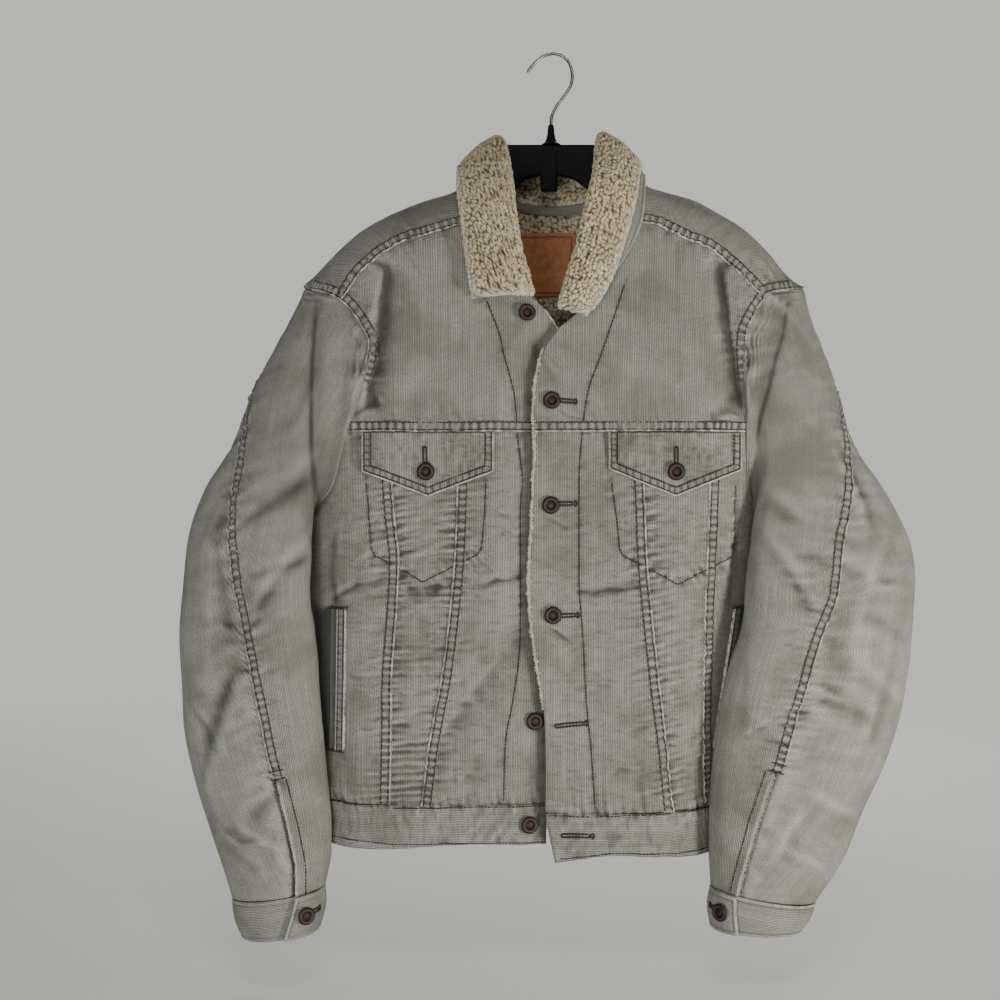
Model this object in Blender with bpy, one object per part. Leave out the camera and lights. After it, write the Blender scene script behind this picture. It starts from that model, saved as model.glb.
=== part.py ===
"""Sherpa lined corduroy jacket, hanging half buttoned on a moulded clothes hanger.

Sizes are millimetres until meshes are made. X runs to the viewer's right, Y away from the viewer and Z up.
The origin is the top of the hook's inside, where the rod or nail bears. "drop" is the distance below it.
"left" and "right" are the viewer's, so the right front, at +X, is the one that lies on top.
"""
import math

import bpy
from mathutils import Vector

for leftover in list(bpy.data.objects):
    bpy.data.objects.remove(leftover, do_unlink=True)

MM = 0.001
SEAM_GAP = 0.3          # between two pieces that are sewn together
LAYER_GAP = 0.8         # between a piece and the cloth it lies on
BODY_WALL = 4.0         # corduroy and its sherpa lining, pressed together
SLEEVE_WALL = 3.0       # corduroy and quilted lining
TRIM_WALL = 2.2         # flaps and welts, two layers of corduroy

# ---------------------------------------------------------------- body form
# Shoulder line, seen from the front: x, drop.
SHOULDER = [
    (-250, 236), (-229, 212), (-210, 193), (-191, 177), (-162, 161), (-130, 148), (-99, 138), (-77, 122),
    (-66, 107), (64, 105), (75, 119), (93, 132), (114, 139), (141, 147), (162, 158), (191, 176), (213, 197),
    (231, 218), (252, 236),
]
# Side of the body: drop, x at the left, x at the right.
SIDE = [
    (236, -250, 252), (330, -250, 234), (400, -250, 218), (470, -249, 205), (547, -247, 195),
    (647, -242, 178), (761, -234, 168), (800, -234, 168),
]
# Section of the body: drop, y of the middle, depth of the front, depth of the back.
SECTION = [
    (100, 0, 34, 24), (180, -1, 42, 30), (260, -6, 50, 37), (400, -13, 58, 43), (600, -14, 56, 44),
    (740, -14, 50, 42), (800, -14, 47, 41),
]
TOP_ROUND_FRONT = 62.0  # drop over which the front rounds over the shoulder
TOP_ROUND_BACK = 55.0
SIDE_ROUND = 85.0       # width over which front and back round into the side
SIDE_POWER = 1.3        # above 1 the side is pinched like a lens

# ---------------------------------------------------------------- seams of the body
YOKE_DROP = 382.0       # chest seam under the front yokes
BACK_YOKE_DROP = 300.0
SEAM_COLUMNS = 7        # columns of cells along each forward shoulder seam
UNDERARM_DROP = 470.0
# Forward shoulder seam, where the back yoke meets the front yokes: x, drop.
FORWARD_SEAM_LEFT = [
    (-207, 252), (-199, 240), (-187, 224), (-166, 206), (-147, 195), (-127, 189), (-112, 184), (-90, 178),
    (-66, 172),
]
FORWARD_SEAM_RIGHT = [
    (64, 172), (88, 177), (102, 180), (127, 193), (149, 202), (171, 220), (189, 238), (200, 250),
]
# Armhole seam: drop, x on the front, x on the back.
ARMHOLE_LEFT = [
    (236, -249, -249), (244, -226, -238), (254, -208, -229), (268, -195, -221), (282, -186, -216),
    (296, -180, -212), (326, -186, -208), (360, -196, -208), (386, -205, -211), (424, -215, -221),
    (445, -224, -231), (460, -235, -240), (470, -249, -249),
]
ARMHOLE_RIGHT = [
    (236, 251, 251), (244, 213, 240), (254, 202, 231), (268, 193, 223), (282, 186, 217), (296, 184, 212),
    (326, 185, 207), (360, 187, 204), (386, 188, 202), (424, 190, 200), (445, 192, 200), (460, 196, 202),
    (470, 205, 205),
]
# Neck seam, from the forward seam to the front edge: drop, x.
NECK_LEFT = [(172, -66), (195, -62), (218, -56), (236, -45), (246, -24)]
NECK_RIGHT = [(172, 64), (190, 64), (220, 55), (245, 41), (265, 23), (282, 3)]
# Back neck seam: x, drop.
NECK_BACK = [(-66, 128), (-40, 146), (0, 152), (40, 146), (64, 126)]
# Free edge of each front: drop, x. The left front passes under the right one.
EDGE_LEFT = [
    (246, -24), (282, 1), (320, 12), (353, 15), (558, 15), (610, 9), (660, 1), (740, -8), (800, -9),
]
EDGE_RIGHT = [
    (282, 3), (307, -13), (357, -21), (409, -20), (526, -25), (567, -23), (609, -17), (643, -12), (686, -10),
    (746, -10), (800, 0),
]
# Upright seams of the front: drop, outer left, inner left, inner right, outer right.
FRONT_SEAMS = [
    (382, -157, -94, 82, 148), (436, -157, -94, 84, 147), (508, -150, -97, 87, 145),
    (561, -153, -102, 92, 143), (616, -157, -109, 98, 143), (680, -158, -121, 106, 144),
    (750, -160, -130, 114, 146),
]
# Hem band: x, drop of its seam, drop of its lower edge.
HEM_LEFT = [(-234, 738, 779), (-143, 742, 785), (-50, 740, 779), (-8, 741, 780)]
HEM_RIGHT = [(-10, 749, 797), (30, 750, 790), (94, 748, 793), (168, 745, 788)]
HEM_BACK = [(-234, 738, 779), (0, 744, 786), (168, 745, 788)]

# The left front sinks behind the right one: over this width, to this depth.
UNDERLAP_START = 34.0
UNDERLAP_DEPTH = BODY_WALL + 2.6

# Main folds of the body's front: x, drop, x, drop, width, height (a trough is below 0).
FRONT_FOLDS = [
    (-165, 222, -173, 318, 11, -4.0),
    (163, 222, 176, 345, 11, -4.0),
    (-41, 585, -112, 690, 15, -4.0),
    (-70, 560, -135, 640, 18, 3.0),
    (-206, 546, -96, 533, 9, -2.6),
    (-150, 300, -60, 352, 26, 2.6),
    (60, 330, 150, 290, 24, 2.6),
    (24, 536, 80, 529, 8, -2.0),
    (60, 620, 66, 720, 15, 2.6),
    (-180, 610, -186, 720, 15, 3.0),
    (-128, 470, -124, 520, 20, 2.2),
    (118, 470, 116, 520, 20, 2.2),
]
# Main folds of the back, in the same columns.
BACK_FOLDS = [
    (-168, 330, -150, 450, 14, -3.5),
    (150, 330, 128, 450, 14, -3.5),
    (-90, 420, -70, 640, 20, 3.0),
    (40, 470, 62, 700, 22, 3.2),
    (-175, 560, -120, 640, 14, -3.0),
    (120, 560, 70, 655, 14, -3.0),
    (-30, 600, -10, 730, 16, -2.6),
]


def read(table, at, column=1):
    """Value of a table's column at a place in its rising first column, on a smooth curve."""
    rows = len(table)
    if at <= table[0][0]:
        return float(table[0][column])
    if at >= table[-1][0]:
        return float(table[-1][column])
    low = 0
    while table[low + 1][0] < at:
        low += 1

    def slope(row):
        before = max(row - 1, 0)
        after = min(row + 1, rows - 1)
        return (table[after][column] - table[before][column]) / (table[after][0] - table[before][0])

    span = table[low + 1][0] - table[low][0]
    t = (at - table[low][0]) / span
    a, b = table[low][column], table[low + 1][column]
    steep = 3 * (b - a) / span
    s0, s1 = slope(low), slope(low + 1)
    if steep >= 0:
        s0, s1 = min(max(s0, 0), steep), min(max(s1, 0), steep)
    else:
        s0, s1 = max(min(s0, 0), steep), max(min(s1, 0), steep)
    return (
        a * (2 * t**3 - 3 * t**2 + 1) + b * (3 * t**2 - 2 * t**3)
        + span * (s0 * (t**3 - 2 * t**2 + t) + s1 * (t**3 - t**2))
    )


def rounded(share):
    """Height of a quarter circle at a share of its width; 1 past it."""
    return math.sqrt(max(0.0, 1 - (1 - min(max(share, 0.0), 1.0)) ** 2))


def folded(folds, x, drop):
    """How far the folds of a table lift the cloth at a place seen from the front."""
    lift = 0.0
    for x0, drop0, x1, drop1, width, height in folds:
        along = Vector((x1 - x0, drop1 - drop0))
        place = Vector((x - x0, drop - drop0))
        share = place.dot(along) / along.length_squared
        nearest = along * min(max(share, 0.0), 1.0)
        away = (place - nearest).length / width
        if away < 3:
            lift += height * math.exp(-away * away)
    return lift


def body_y(x, drop, front):
    """y of the body's outer surface at a place seen from the front."""
    middle = read(SECTION, drop, 1)
    depth = read(SECTION, drop, 2 if front else 3)
    over = (drop - read(SHOULDER, x)) / (TOP_ROUND_FRONT if front else TOP_ROUND_BACK)
    aside = min(x - read(SIDE, drop, 1), read(SIDE, drop, 2) - x) / SIDE_ROUND
    form = rounded(over) * rounded(aside) ** SIDE_POWER
    relief = folded(FRONT_FOLDS if front else BACK_FOLDS, x, drop) * form
    out = depth * form + relief + SEAM_GAP * 0.6
    return middle - out if front else middle + out


def body_point(x, drop, front, lift=0.0):
    """A point of the body's outer surface, moved out along its normal by lift."""
    point = Vector((x, body_y(x, drop, front), -drop))
    return point + body_normal(x, drop, front) * lift if lift else point


def body_normal(x, drop, front):
    """Outward normal of the body, read a hair inside its outline, where the slope is finite."""
    hair = 1.0
    left, right = read(SIDE, drop, 1), read(SIDE, drop, 2)
    if x - left < 0.3:
        return Vector((-1, 0, 0))
    if right - x < 0.3:
        return Vector((1, 0, 0))
    x = min(max(x, left + 2 * hair), right - 2 * hair)
    drop = max(drop, read(SHOULDER, x) + 2 * hair)
    across = body_y(x + hair, drop, front) - body_y(x - hair, drop, front)
    up = body_y(x, drop - hair, front) - body_y(x, drop + hair, front)
    way = -1 if front else 1
    return Vector((-way * across, 2 * hair * way, -way * up)).normalized()


# ---------------------------------------------------------------- making meshes
def finish(colour, roughness, metallic=0.0):
    """Describes a material: colour, roughness and metallic value."""
    return colour, roughness, metallic


CORDUROY = finish((0.26, 0.25, 0.20), 0.9)
SHERPA = finish((0.66, 0.60, 0.46), 1.0)
LABEL = finish((0.45, 0.20, 0.10), 0.7)
BUTTON = finish((0.16, 0.09, 0.06), 0.4, 0.9)
PLASTIC = finish((0.02, 0.02, 0.02), 0.35)
STEEL = finish((0.55, 0.55, 0.53), 0.3, 1.0)


def add_object(name, points, faces, look):
    """Makes one named object with its own material from points in millimetres."""
    mesh = bpy.data.meshes.new(name)
    mesh.from_pydata([point * MM for point in points], [], faces)
    mesh.update()
    mesh.shade_smooth()
    mesh.set_sharp_from_angle(angle=math.radians(50))
    colour, roughness, metallic = look
    material = bpy.data.materials.new(name)
    material.use_nodes = True
    shader = material.node_tree.nodes["Principled BSDF"]
    shader.inputs["Base Color"].default_value = (*colour, 1)
    shader.inputs["Roughness"].default_value = roughness
    shader.inputs["Metallic"].default_value = metallic
    mesh.materials.append(material)
    made = bpy.data.objects.new(name, mesh)
    bpy.context.scene.collection.objects.link(made)
    return made


def triangles(a, b, c, d, points):
    """Two triangles for the corners of a cell, split along the shorter diagonal."""
    if (points[a] - points[c]).length <= (points[b] - points[d]).length:
        return [(a, b, c), (a, c, d)]
    return [(a, b, d), (b, c, d)]


def wall(name, outer, normals, thickness, look, keep=None):
    """Closes a grid of outer points into a wall of cloth.

    Rows run down and columns to the right, seen from outside. keep(row, column) says which cells are cloth.
    """
    rows, columns = len(outer), len(outer[0])
    points = []
    index = {}
    for row in range(rows):
        for column in range(columns):
            index[row, column] = len(points)
            points.append(outer[row][column])
            points.append(outer[row][column] - normals[row][column] * thickness)
    cells = [
        (row, column)
        for row in range(rows - 1)
        for column in range(columns - 1)
        if keep is None or keep(row, column)
    ]
    faces = []
    borders = {}
    for row, column in cells:
        corners = [
            index[row, column], index[row + 1, column], index[row + 1, column + 1], index[row, column + 1],
        ]
        for first, second, third in triangles(*corners, points):
            faces.append((first, second, third))
            faces.append((third + 1, second + 1, first + 1))
        for start, end in zip(corners, corners[1:] + corners[:1]):
            if (end, start) in borders:
                del borders[end, start]
            else:
                borders[start, end] = True
    # Both walls at a seam split their side faces the same way: higher outer corner to lower inner one.
    for start, end in borders:
        if tuple(points[start].zxy) > tuple(points[end].zxy):
            faces += [(start, start + 1, end + 1), (start, end + 1, end)]
        else:
            faces += [(start, start + 1, end), (start + 1, end + 1, end)]
    used = sorted({corner for face in faces for corner in face})
    renumber = {old: new for new, old in enumerate(used)}
    kept_points = [points[old] for old in used]
    kept_faces = [tuple(renumber[corner] for corner in face) for face in faces]
    return add_object(name, kept_points, kept_faces, look)


def grid_normals(grid):
    """Normals of a grid worked out from its own points, with rows down and columns to the right."""
    rows, columns = len(grid), len(grid[0])
    result = []
    for row in range(rows):
        line = []
        for column in range(columns):
            across = grid[row][min(column + 1, columns - 1)] - grid[row][max(column - 1, 0)]
            down = grid[min(row + 1, rows - 1)][column] - grid[max(row - 1, 0)][column]
            line.append(down.cross(across).normalized())
        result.append(line)
    return result


def closed_rings(name, rings, look):
    """Skins rings of equal size, in order, and closes both ends with a fan."""
    count = len(rings[0])
    points = [point for ring in rings for point in ring]
    faces = []
    for ring in range(len(rings) - 1):
        for place in range(count):
            a = ring * count + place
            b = ring * count + (place + 1) % count
            faces += triangles(a, b, b + count, a + count, points)
    for ring, order in ((0, -1), (len(rings) - 1, 1)):
        centre = len(points)
        points.append(sum(rings[ring], Vector()) / count)
        for place in range(count):
            pair = (ring * count + place, ring * count + (place + 1) % count)
            faces.append((centre, *pair[::order]))
    return add_object(name, points, faces, look)


def steps(start, end, count):
    """Evenly spaced numbers from start to end, both kept."""
    return [start + (end - start) * step / count for step in range(count + 1)]


# ---------------------------------------------------------------- flat pieces of the body
def underlap(x, drop):
    """How far the left front has sunk behind the right one at a place."""
    share = (x - read(EDGE_RIGHT, drop) + UNDERLAP_START) / (UNDERLAP_START - 6)
    share = min(max(share, 0.0), 1.0)
    return UNDERLAP_DEPTH * share * share * (3 - 2 * share)


def plain(x, drop):
    """No sinking, for every piece but the left front."""
    return 0.0


def crowded(share, ease):
    """Share of the width at which a column stands; ease names the side on which the columns crowd."""
    if ease == "left":
        return 1 - math.cos(share * math.pi / 2)
    if ease == "right":
        return math.sin(share * math.pi / 2)
    if ease == "both":
        return (1 - math.cos(share * math.pi)) / 2 * 0.6 + share * 0.4
    return share


def panel(
    name, drops, left, right, columns, front=True, sink=plain, ease=None, thickness=BODY_WALL, lift=0.0,
):
    """A piece of the body between two edges.

    left and right give x at a drop. drops is a list, or a function of the share of the width.
    """
    rows = drops(0.5) if callable(drops) else drops
    outer, normals = [], []
    for row in range(len(rows)):
        line, line_normals = [], []
        for column in range(columns + 1):
            share = crowded(column / columns, ease)
            drop = (drops(share) if callable(drops) else drops)[row]
            x0, x1 = left(drop), right(drop)
            x = x0 + (x1 - x0) * share
            normal = body_normal(x, drop, front)
            line.append(body_point(x, drop, front) + normal * (lift - sink(x, drop)))
            line_normals.append(normal)
        outer.append(line if front else line[::-1])
        normals.append(line_normals if front else line_normals[::-1])
    return wall(name, outer, normals, thickness, CORDUROY)


def seam(table, column=1, shift=0.0):
    """An edge for panel(): x at a drop, moved by shift."""
    return lambda drop: read(table, drop, column) + shift


def forward_seam_columns(forward_seam):
    """The x at which both pieces have a point on the forward shoulder seam."""
    return steps(forward_seam[0][0], forward_seam[-1][0], SEAM_COLUMNS)


def front_outer_edge(armhole, forward_seam, side_column, shift):
    """Outer edge of a front: forward seam, then armhole, then side seam, as x at a drop."""
    by_drop = sorted((read(forward_seam, x), x) for x in forward_seam_columns(forward_seam))
    corner = by_drop[-1][0]

    def edge(drop):
        if drop <= corner:
            return read(by_drop, drop)
        if drop < UNDERARM_DROP:
            return read(armhole, drop, 1) + shift
        return read(SIDE, drop, side_column)

    return edge


def yoke_rows(forward_seam):
    """Drops of a front yoke's rows, from the neck down to the chest seam."""
    seam_rows = sorted(read(forward_seam, x) for x in forward_seam_columns(forward_seam))[1:]
    corner = seam_rows[-1]
    rest = steps(corner, YOKE_DROP - SEAM_GAP / 2, 8)[1:]
    return seam_rows + rest


def front_free_edge(neck, edge, shift):
    """Inner edge of a front: neck seam, then the free edge, as x at a drop."""
    corner = neck[-1][0]
    return lambda drop: (read(neck, drop) if drop < corner else read(edge, drop)) + shift


def make_fronts():
    """Six lower front panels and two front yokes."""
    half = SEAM_GAP / 2
    left_edge = front_outer_edge(ARMHOLE_LEFT, FORWARD_SEAM_LEFT, 1, half)
    right_edge = front_outer_edge(ARMHOLE_RIGHT, FORWARD_SEAM_RIGHT, 2, -half)
    panel("front_yoke_left", yoke_rows(FORWARD_SEAM_LEFT), left_edge,
          front_free_edge(NECK_LEFT, EDGE_LEFT, -half), 11, sink=underlap)
    panel("front_yoke_right", yoke_rows(FORWARD_SEAM_RIGHT),
          front_free_edge(NECK_RIGHT, EDGE_RIGHT, half), right_edge, 11)

    upper = steps(YOKE_DROP + half, 420, 2) + [440, 451, 461, UNDERARM_DROP]

    def rows(hem, start, end):
        """Rows from the chest seam to the hem seam, which is not level between x start and x end."""
        def at(share):
            bottom = read(hem, start + (end - start) * share) - half
            return upper + steps(UNDERARM_DROP, bottom, 11)[1:]
        return at

    def upright(column, shift):
        return seam(FRONT_SEAMS, column, shift)

    panel("front_side_left", rows(HEM_LEFT, -234, -160), left_edge, upright(1, -half), 6, ease="left")
    panel("front_middle_left", rows(HEM_LEFT, -160, -130), upright(1, half), upright(2, -half), 3)
    panel("front_center_left", rows(HEM_LEFT, -130, -8), upright(2, half), seam(EDGE_LEFT), 7, sink=underlap)
    panel("front_center_right", rows(HEM_RIGHT, -10, 114), seam(EDGE_RIGHT), upright(3, -half), 6)
    panel("front_middle_right", rows(HEM_RIGHT, 114, 146), upright(3, half), upright(4, -half), 3)
    panel("front_side_right", rows(HEM_RIGHT, 146, 168), upright(4, half), right_edge, 5, ease="right")


def make_back():
    """The back panel under the back yoke."""
    half = SEAM_GAP / 2

    def left(drop):
        return read(ARMHOLE_LEFT, drop, 2) + half if drop < UNDERARM_DROP else read(SIDE, drop, 1)

    def right(drop):
        return read(ARMHOLE_RIGHT, drop, 2) - half if drop < UNDERARM_DROP else read(SIDE, drop, 2)

    def rows(share):
        bottom = read(HEM_BACK, -234 + 402 * share) - half
        return steps(BACK_YOKE_DROP + half, 442, 5) + [458] + steps(UNDERARM_DROP, bottom, 10)

    panel("back_panel", rows, left, right, 18, front=False, ease="both")


def make_hems():
    """Hem bands of the two fronts and the back."""
    half = SEAM_GAP / 2

    def rows(hem, start, end):
        def at(share):
            x = start + (end - start) * share
            return steps(read(hem, x, 1) + half, read(hem, x, 2), 2)
        return at

    left, right = seam(SIDE, 1), seam(SIDE, 2)
    panel("hem_left", rows(HEM_LEFT, -234, -8), left, seam(EDGE_LEFT), 13, sink=underlap, ease="left")
    panel("hem_right", rows(HEM_RIGHT, -10, 168), seam(EDGE_RIGHT), right, 11, ease="right")
    panel("hem_back", rows(HEM_BACK, -234, 168), left, right, 18, front=False, ease="both")


def wrap_place(x, turn):
    """Drop and side of the body at an angle over the shoulder: below 0 in front, above 0 behind."""
    front = turn < 0
    round_drop = TOP_ROUND_FRONT if front else TOP_ROUND_BACK
    angle = abs(turn)
    below = round_drop * (1 - math.cos(min(angle, math.pi / 2))) + max(angle - math.pi / 2, 0) * round_drop
    return read(SHOULDER, x) + below, front


def wrap_turn(x, drop, front):
    """The angle over the shoulder at which a drop lies; the inverse of wrap_place."""
    round_drop = TOP_ROUND_FRONT if front else TOP_ROUND_BACK
    below = max(drop - read(SHOULDER, x), 0.0)
    angle = math.acos(1 - min(below / round_drop, 1.0)) + max(below / round_drop - 1, 0)
    return -angle if front else angle


def make_back_yoke():
    """The yoke: across the back, over both shoulders and down to the forward seams."""
    over_rows, back_rows = 6, 7
    neck_left, neck_right = NECK_BACK[0][0], NECK_BACK[-1][0]
    tip_left, tip_right = ARMHOLE_LEFT[0][1] + 6, ARMHOLE_RIGHT[0][1] - 6
    across = (
        [tip_left, -233, -220] + forward_seam_columns(FORWARD_SEAM_LEFT)
        + steps(neck_left, neck_right, 6)[1:-1]
        + forward_seam_columns(FORWARD_SEAM_RIGHT) + [206, 214, 230, tip_right]
    )
    front_left = sorted((x, drop) for drop, x, _ in ARMHOLE_LEFT[:4] if x < -207) + FORWARD_SEAM_LEFT
    front_right = FORWARD_SEAM_RIGHT + sorted((x, drop) for drop, x, _ in ARMHOLE_RIGHT[:3])
    back_left = sorted((x, drop) for drop, _, x in ARMHOLE_LEFT[:7])
    back_right = sorted((x, drop) for drop, _, x in ARMHOLE_RIGHT[:7])

    def front_drop(x):
        return (read(front_left, x) if x < 0 else read(front_right, x)) - SEAM_GAP * 1.5

    def back_drop(x):
        return min(read(back_left, x) if x < 0 else read(back_right, x), BACK_YOKE_DROP - SEAM_GAP / 2)

    def neck_share():
        start = wrap_turn(neck_left, front_drop(neck_left), True)
        end = wrap_turn(neck_left, BACK_YOKE_DROP, False)
        return (wrap_turn(neck_left, read(NECK_BACK, neck_left), False) - start) / (end - start)

    def point_at(x, turn):
        drop, front = wrap_place(x, turn)
        return body_point(x, drop, front)

    def normal_at(x, turn):
        across_x = point_at(x + 1, turn) - point_at(x - 1, turn)
        around = point_at(x, turn + 0.03) - point_at(x, turn - 0.03)
        return across_x.cross(around).normalized()

    share = neck_share()
    grid, normals = [], []
    for row in range(over_rows + back_rows + 1):
        line, line_normals = [], []
        for x in across:
            start = wrap_turn(x, front_drop(x), True)
            end = wrap_turn(x, back_drop(x), False)
            middle = start + (end - start) * share
            if neck_left < x < neck_right:
                middle = wrap_turn(x, read(NECK_BACK, x), False)
            if row <= over_rows:
                turn = start + (middle - start) * row / over_rows
            else:
                turn = middle + (end - middle) * (row - over_rows) / back_rows
            line.append(point_at(x, turn))
            line_normals.append(normal_at(x, turn))
        grid.append(line[::-1])
        normals.append(line_normals[::-1])
    first = across.index(neck_left)
    last = across.index(neck_right)

    def keep(row, column):
        return row >= over_rows or not first <= column < last

    # Seen from above and behind, the rows run away from the front, so the columns are turned round.
    flip = len(across) - 2
    wall("back_yoke", grid, normals, BODY_WALL, CORDUROY, keep=lambda row, column: keep(row, flip - column))


# ---------------------------------------------------------------- sleeves and cuffs
# Rings of a sleeve: outer x, drop, y; inner x, drop, y; depth to the front and to the back; share of the
# armhole's shape; how far its front laps over the body.
SLEEVE_LEFT = [
    (-250, 236, -4, -250, 471, -14, 40, 40, 1.00, 0),
    (-261, 264, -7, -262, 484, -15, 43, 40, 0.72, 6),
    (-276, 296, -11, -264, 499, -19, 44, 40, 0.44, 14),
    (-294, 328, -14, -260, 516, -28, 44, 39, 0.24, 22),
    (-309, 362, -17, -251, 532, -40, 43, 38, 0.10, 23),
    (-321, 398, -19, -241, 547, -50, 42, 36, 0.02, 15),
    (-344, 434, -20, -234, 563, -56, 42, 34, 0.00, 7),
    (-361, 480, -20, -231, 582, -58, 42, 33, 0.00, 2),
    (-367, 535, -22, -229, 603, -57, 42, 33, 0.00, 0),
    (-370, 580, -24, -228, 626, -56, 42, 33, 0.00, 0),
    (-367, 630, -26, -226, 654, -55, 41, 33, 0.00, 0),
    (-364, 676, -28, -223, 686, -54, 40, 32, 0.00, 0),
    (-353, 724, -30, -220, 722, -52, 39, 32, 0.00, 0),
    (-338, 770, -32, -217, 758, -50, 38, 31, 0.00, 0),
    (-325, 808, -33, -217, 790, -48, 36, 30, 0.00, 0),
    (-316, 836, -34, -223, 821, -46, 35, 29, 0.00, 0),
]
SLEEVE_RIGHT = [
    (252, 236, -4, 206, 471, -14, 40, 40, 1.00, 0),
    (258, 270, -7, 219, 484, -15, 43, 40, 0.72, 8),
    (267, 302, -11, 221, 499, -19, 44, 40, 0.44, 18),
    (282, 335, -14, 216, 516, -28, 44, 39, 0.24, 27),
    (289, 368, -17, 206, 532, -42, 43, 38, 0.10, 25),
    (302, 402, -19, 194, 547, -53, 42, 36, 0.02, 16),
    (326, 436, -20, 184, 563, -60, 42, 34, 0.00, 7),
    (350, 482, -20, 176, 582, -63, 42, 33, 0.00, 2),
    (357, 520, -22, 168, 603, -63, 42, 33, 0.00, 0),
    (354, 572, -24, 162, 626, -62, 42, 33, 0.00, 0),
    (349, 616, -26, 157, 654, -60, 41, 33, 0.00, 0),
    (340, 662, -28, 153, 686, -58, 40, 32, 0.00, 0),
    (325, 706, -30, 150, 718, -56, 39, 32, 0.00, 0),
    (303, 752, -32, 149, 752, -53, 38, 31, 0.00, 0),
    (283, 800, -33, 149, 786, -50, 36, 30, 0.00, 0),
    (256, 840, -34, 151, 821, -48, 35, 29, 0.00, 0),
]
# Back seam of a sleeve, which runs from behind to the front: ring, angle in degrees.
SEAM_TURN_LEFT = [(0, -62), (3, -20), (4.5, 28), (6, 62), (7, 80), (8, 92), (10, 103), (12, 110), (15, 117)]
SEAM_TURN_RIGHT = [(0, -62), (3, -15), (4, 12), (5, 43), (6, 76), (8, 99), (10, 107), (12, 113), (15, 125)]
# Inside seam of a sleeve, hidden behind its inner edge, in the same columns.
UNDER_SEAM_TURN = [(0, 245), (4, 245), (8, 220), (15, 206)]
# Turns of the front piece's columns at the armhole; they crowd where the armhole bends most.
FRONT_COLUMNS = [-62, -42, -22, -5, 9, 20, 31, 44, 59, 77, 97, 120, 144, 169, 194, 220, 245]
BACK_COLUMNS = 9
# Main folds of the sleeves' fronts: x, drop, x, drop, width, height.
SLEEVE_FRONT_FOLDS = [
    (-242, 256, -244, 330, 9, -7.0),
    (-244, 330, -240, 466, 9, -7.5),
    (-262, 290, -268, 420, 16, 4.0),
    (-300, 600, -334, 690, 12, -5.0),
    (-262, 720, -284, 745, 9, -3.5),
    (-335, 500, -342, 620, 18, 3.5),
    (-262, 560, -246, 690, 14, 3.5),
    (236, 246, 226, 330, 9, -6.5),
    (226, 330, 200, 390, 9, -6.5),
    (262, 320, 236, 450, 16, 4.0),
    (258, 640, 292, 652, 11, -4.5),
    (184, 690, 232, 652, 12, -4.5),
    (300, 520, 284, 640, 20, 3.5),
    (330, 500, 356, 506, 11, -3.5),
    (200, 560, 190, 640, 14, 3.5),
]
SLEEVE_BACK_FOLDS = [
    (-300, 470, -250, 520, 12, -4.0),
    (-345, 560, -280, 600, 13, -4.0),
    (-330, 660, -262, 640, 14, 3.5),
    (-300, 740, -270, 800, 12, -3.5),
    (292, 470, 232, 520, 12, -4.0),
    (332, 560, 255, 604, 13, -4.0),
    (310, 660, 232, 642, 14, 3.5),
    (262, 740, 226, 800, 12, -3.5),
]
ARMHOLE_CLEAR = 1.8     # from the body's edge to the sleeve's
LAP_SHAPE = 0.77        # makes the lap reach its full width at 120 degrees
RINGS_BETWEEN = 1.5     # rings of points for each row of the table


def armhole_point(armhole, angle):
    """Point of an armhole at an angle: 0 at the shoulder, 90 in front, 180 under the arm, 270 behind."""
    front = angle <= 180
    around = angle if front else 360 - angle
    top, bottom = armhole[0][0], armhole[-1][0]
    drop = (top + bottom) / 2 - (bottom - top) / 2 * math.cos(math.radians(around))
    x = read(armhole, drop, 1 if front else 2)
    way = -1 if x < 0 else 1
    x_clear = x + way * ARMHOLE_CLEAR * math.sin(math.radians(around))
    side = read(SIDE, drop, 1 if x < 0 else 2)
    inside = min(x_clear, side, key=abs)
    point = body_point(inside, drop, front)
    point.z -= ARMHOLE_CLEAR * math.cos(math.radians(around))
    point.x += way * ARMHOLE_CLEAR * 0.5
    return point


def sleeve_point(rings, armhole, ring, angle):
    """Point of a sleeve's tube. ring counts the table's rows.

    The angle is 0 on the outside, 90 in front and 180 on the inside.
    """
    numbered = [(row, *values) for row, values in enumerate(rings)]
    outer = Vector([read(numbered, ring, column) for column in (1, 3, 2)])
    inner = Vector([read(numbered, ring, column) for column in (4, 6, 5)])
    front_depth, back_depth = read(numbered, ring, 7), read(numbered, ring, 8)
    share = read(numbered, ring, 9)
    lap = read(numbered, ring, 10) * (1 if outer.x < 0 else -1)
    turn = math.radians(angle)
    place = outer + (inner - outer) * (1 - math.cos(turn)) / 2
    x, y, drop = place
    bulge = math.sin(turn)
    if bulge > 0:
        y -= front_depth * bulge + folded(SLEEVE_FRONT_FOLDS, x, drop) * bulge * min(ring / 2, 1)
    else:
        y -= back_depth * bulge + folded(SLEEVE_BACK_FOLDS, x, drop) * bulge * min(ring / 2, 1)
    tube = Vector((x, y, -drop))
    if share > 0:
        tube = armhole_point(armhole, angle % 360) * share + tube * (1 - share)
    tube.x += lap * LAP_SHAPE * max(bulge, 0) * (1 - math.cos(turn))
    return tube


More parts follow.
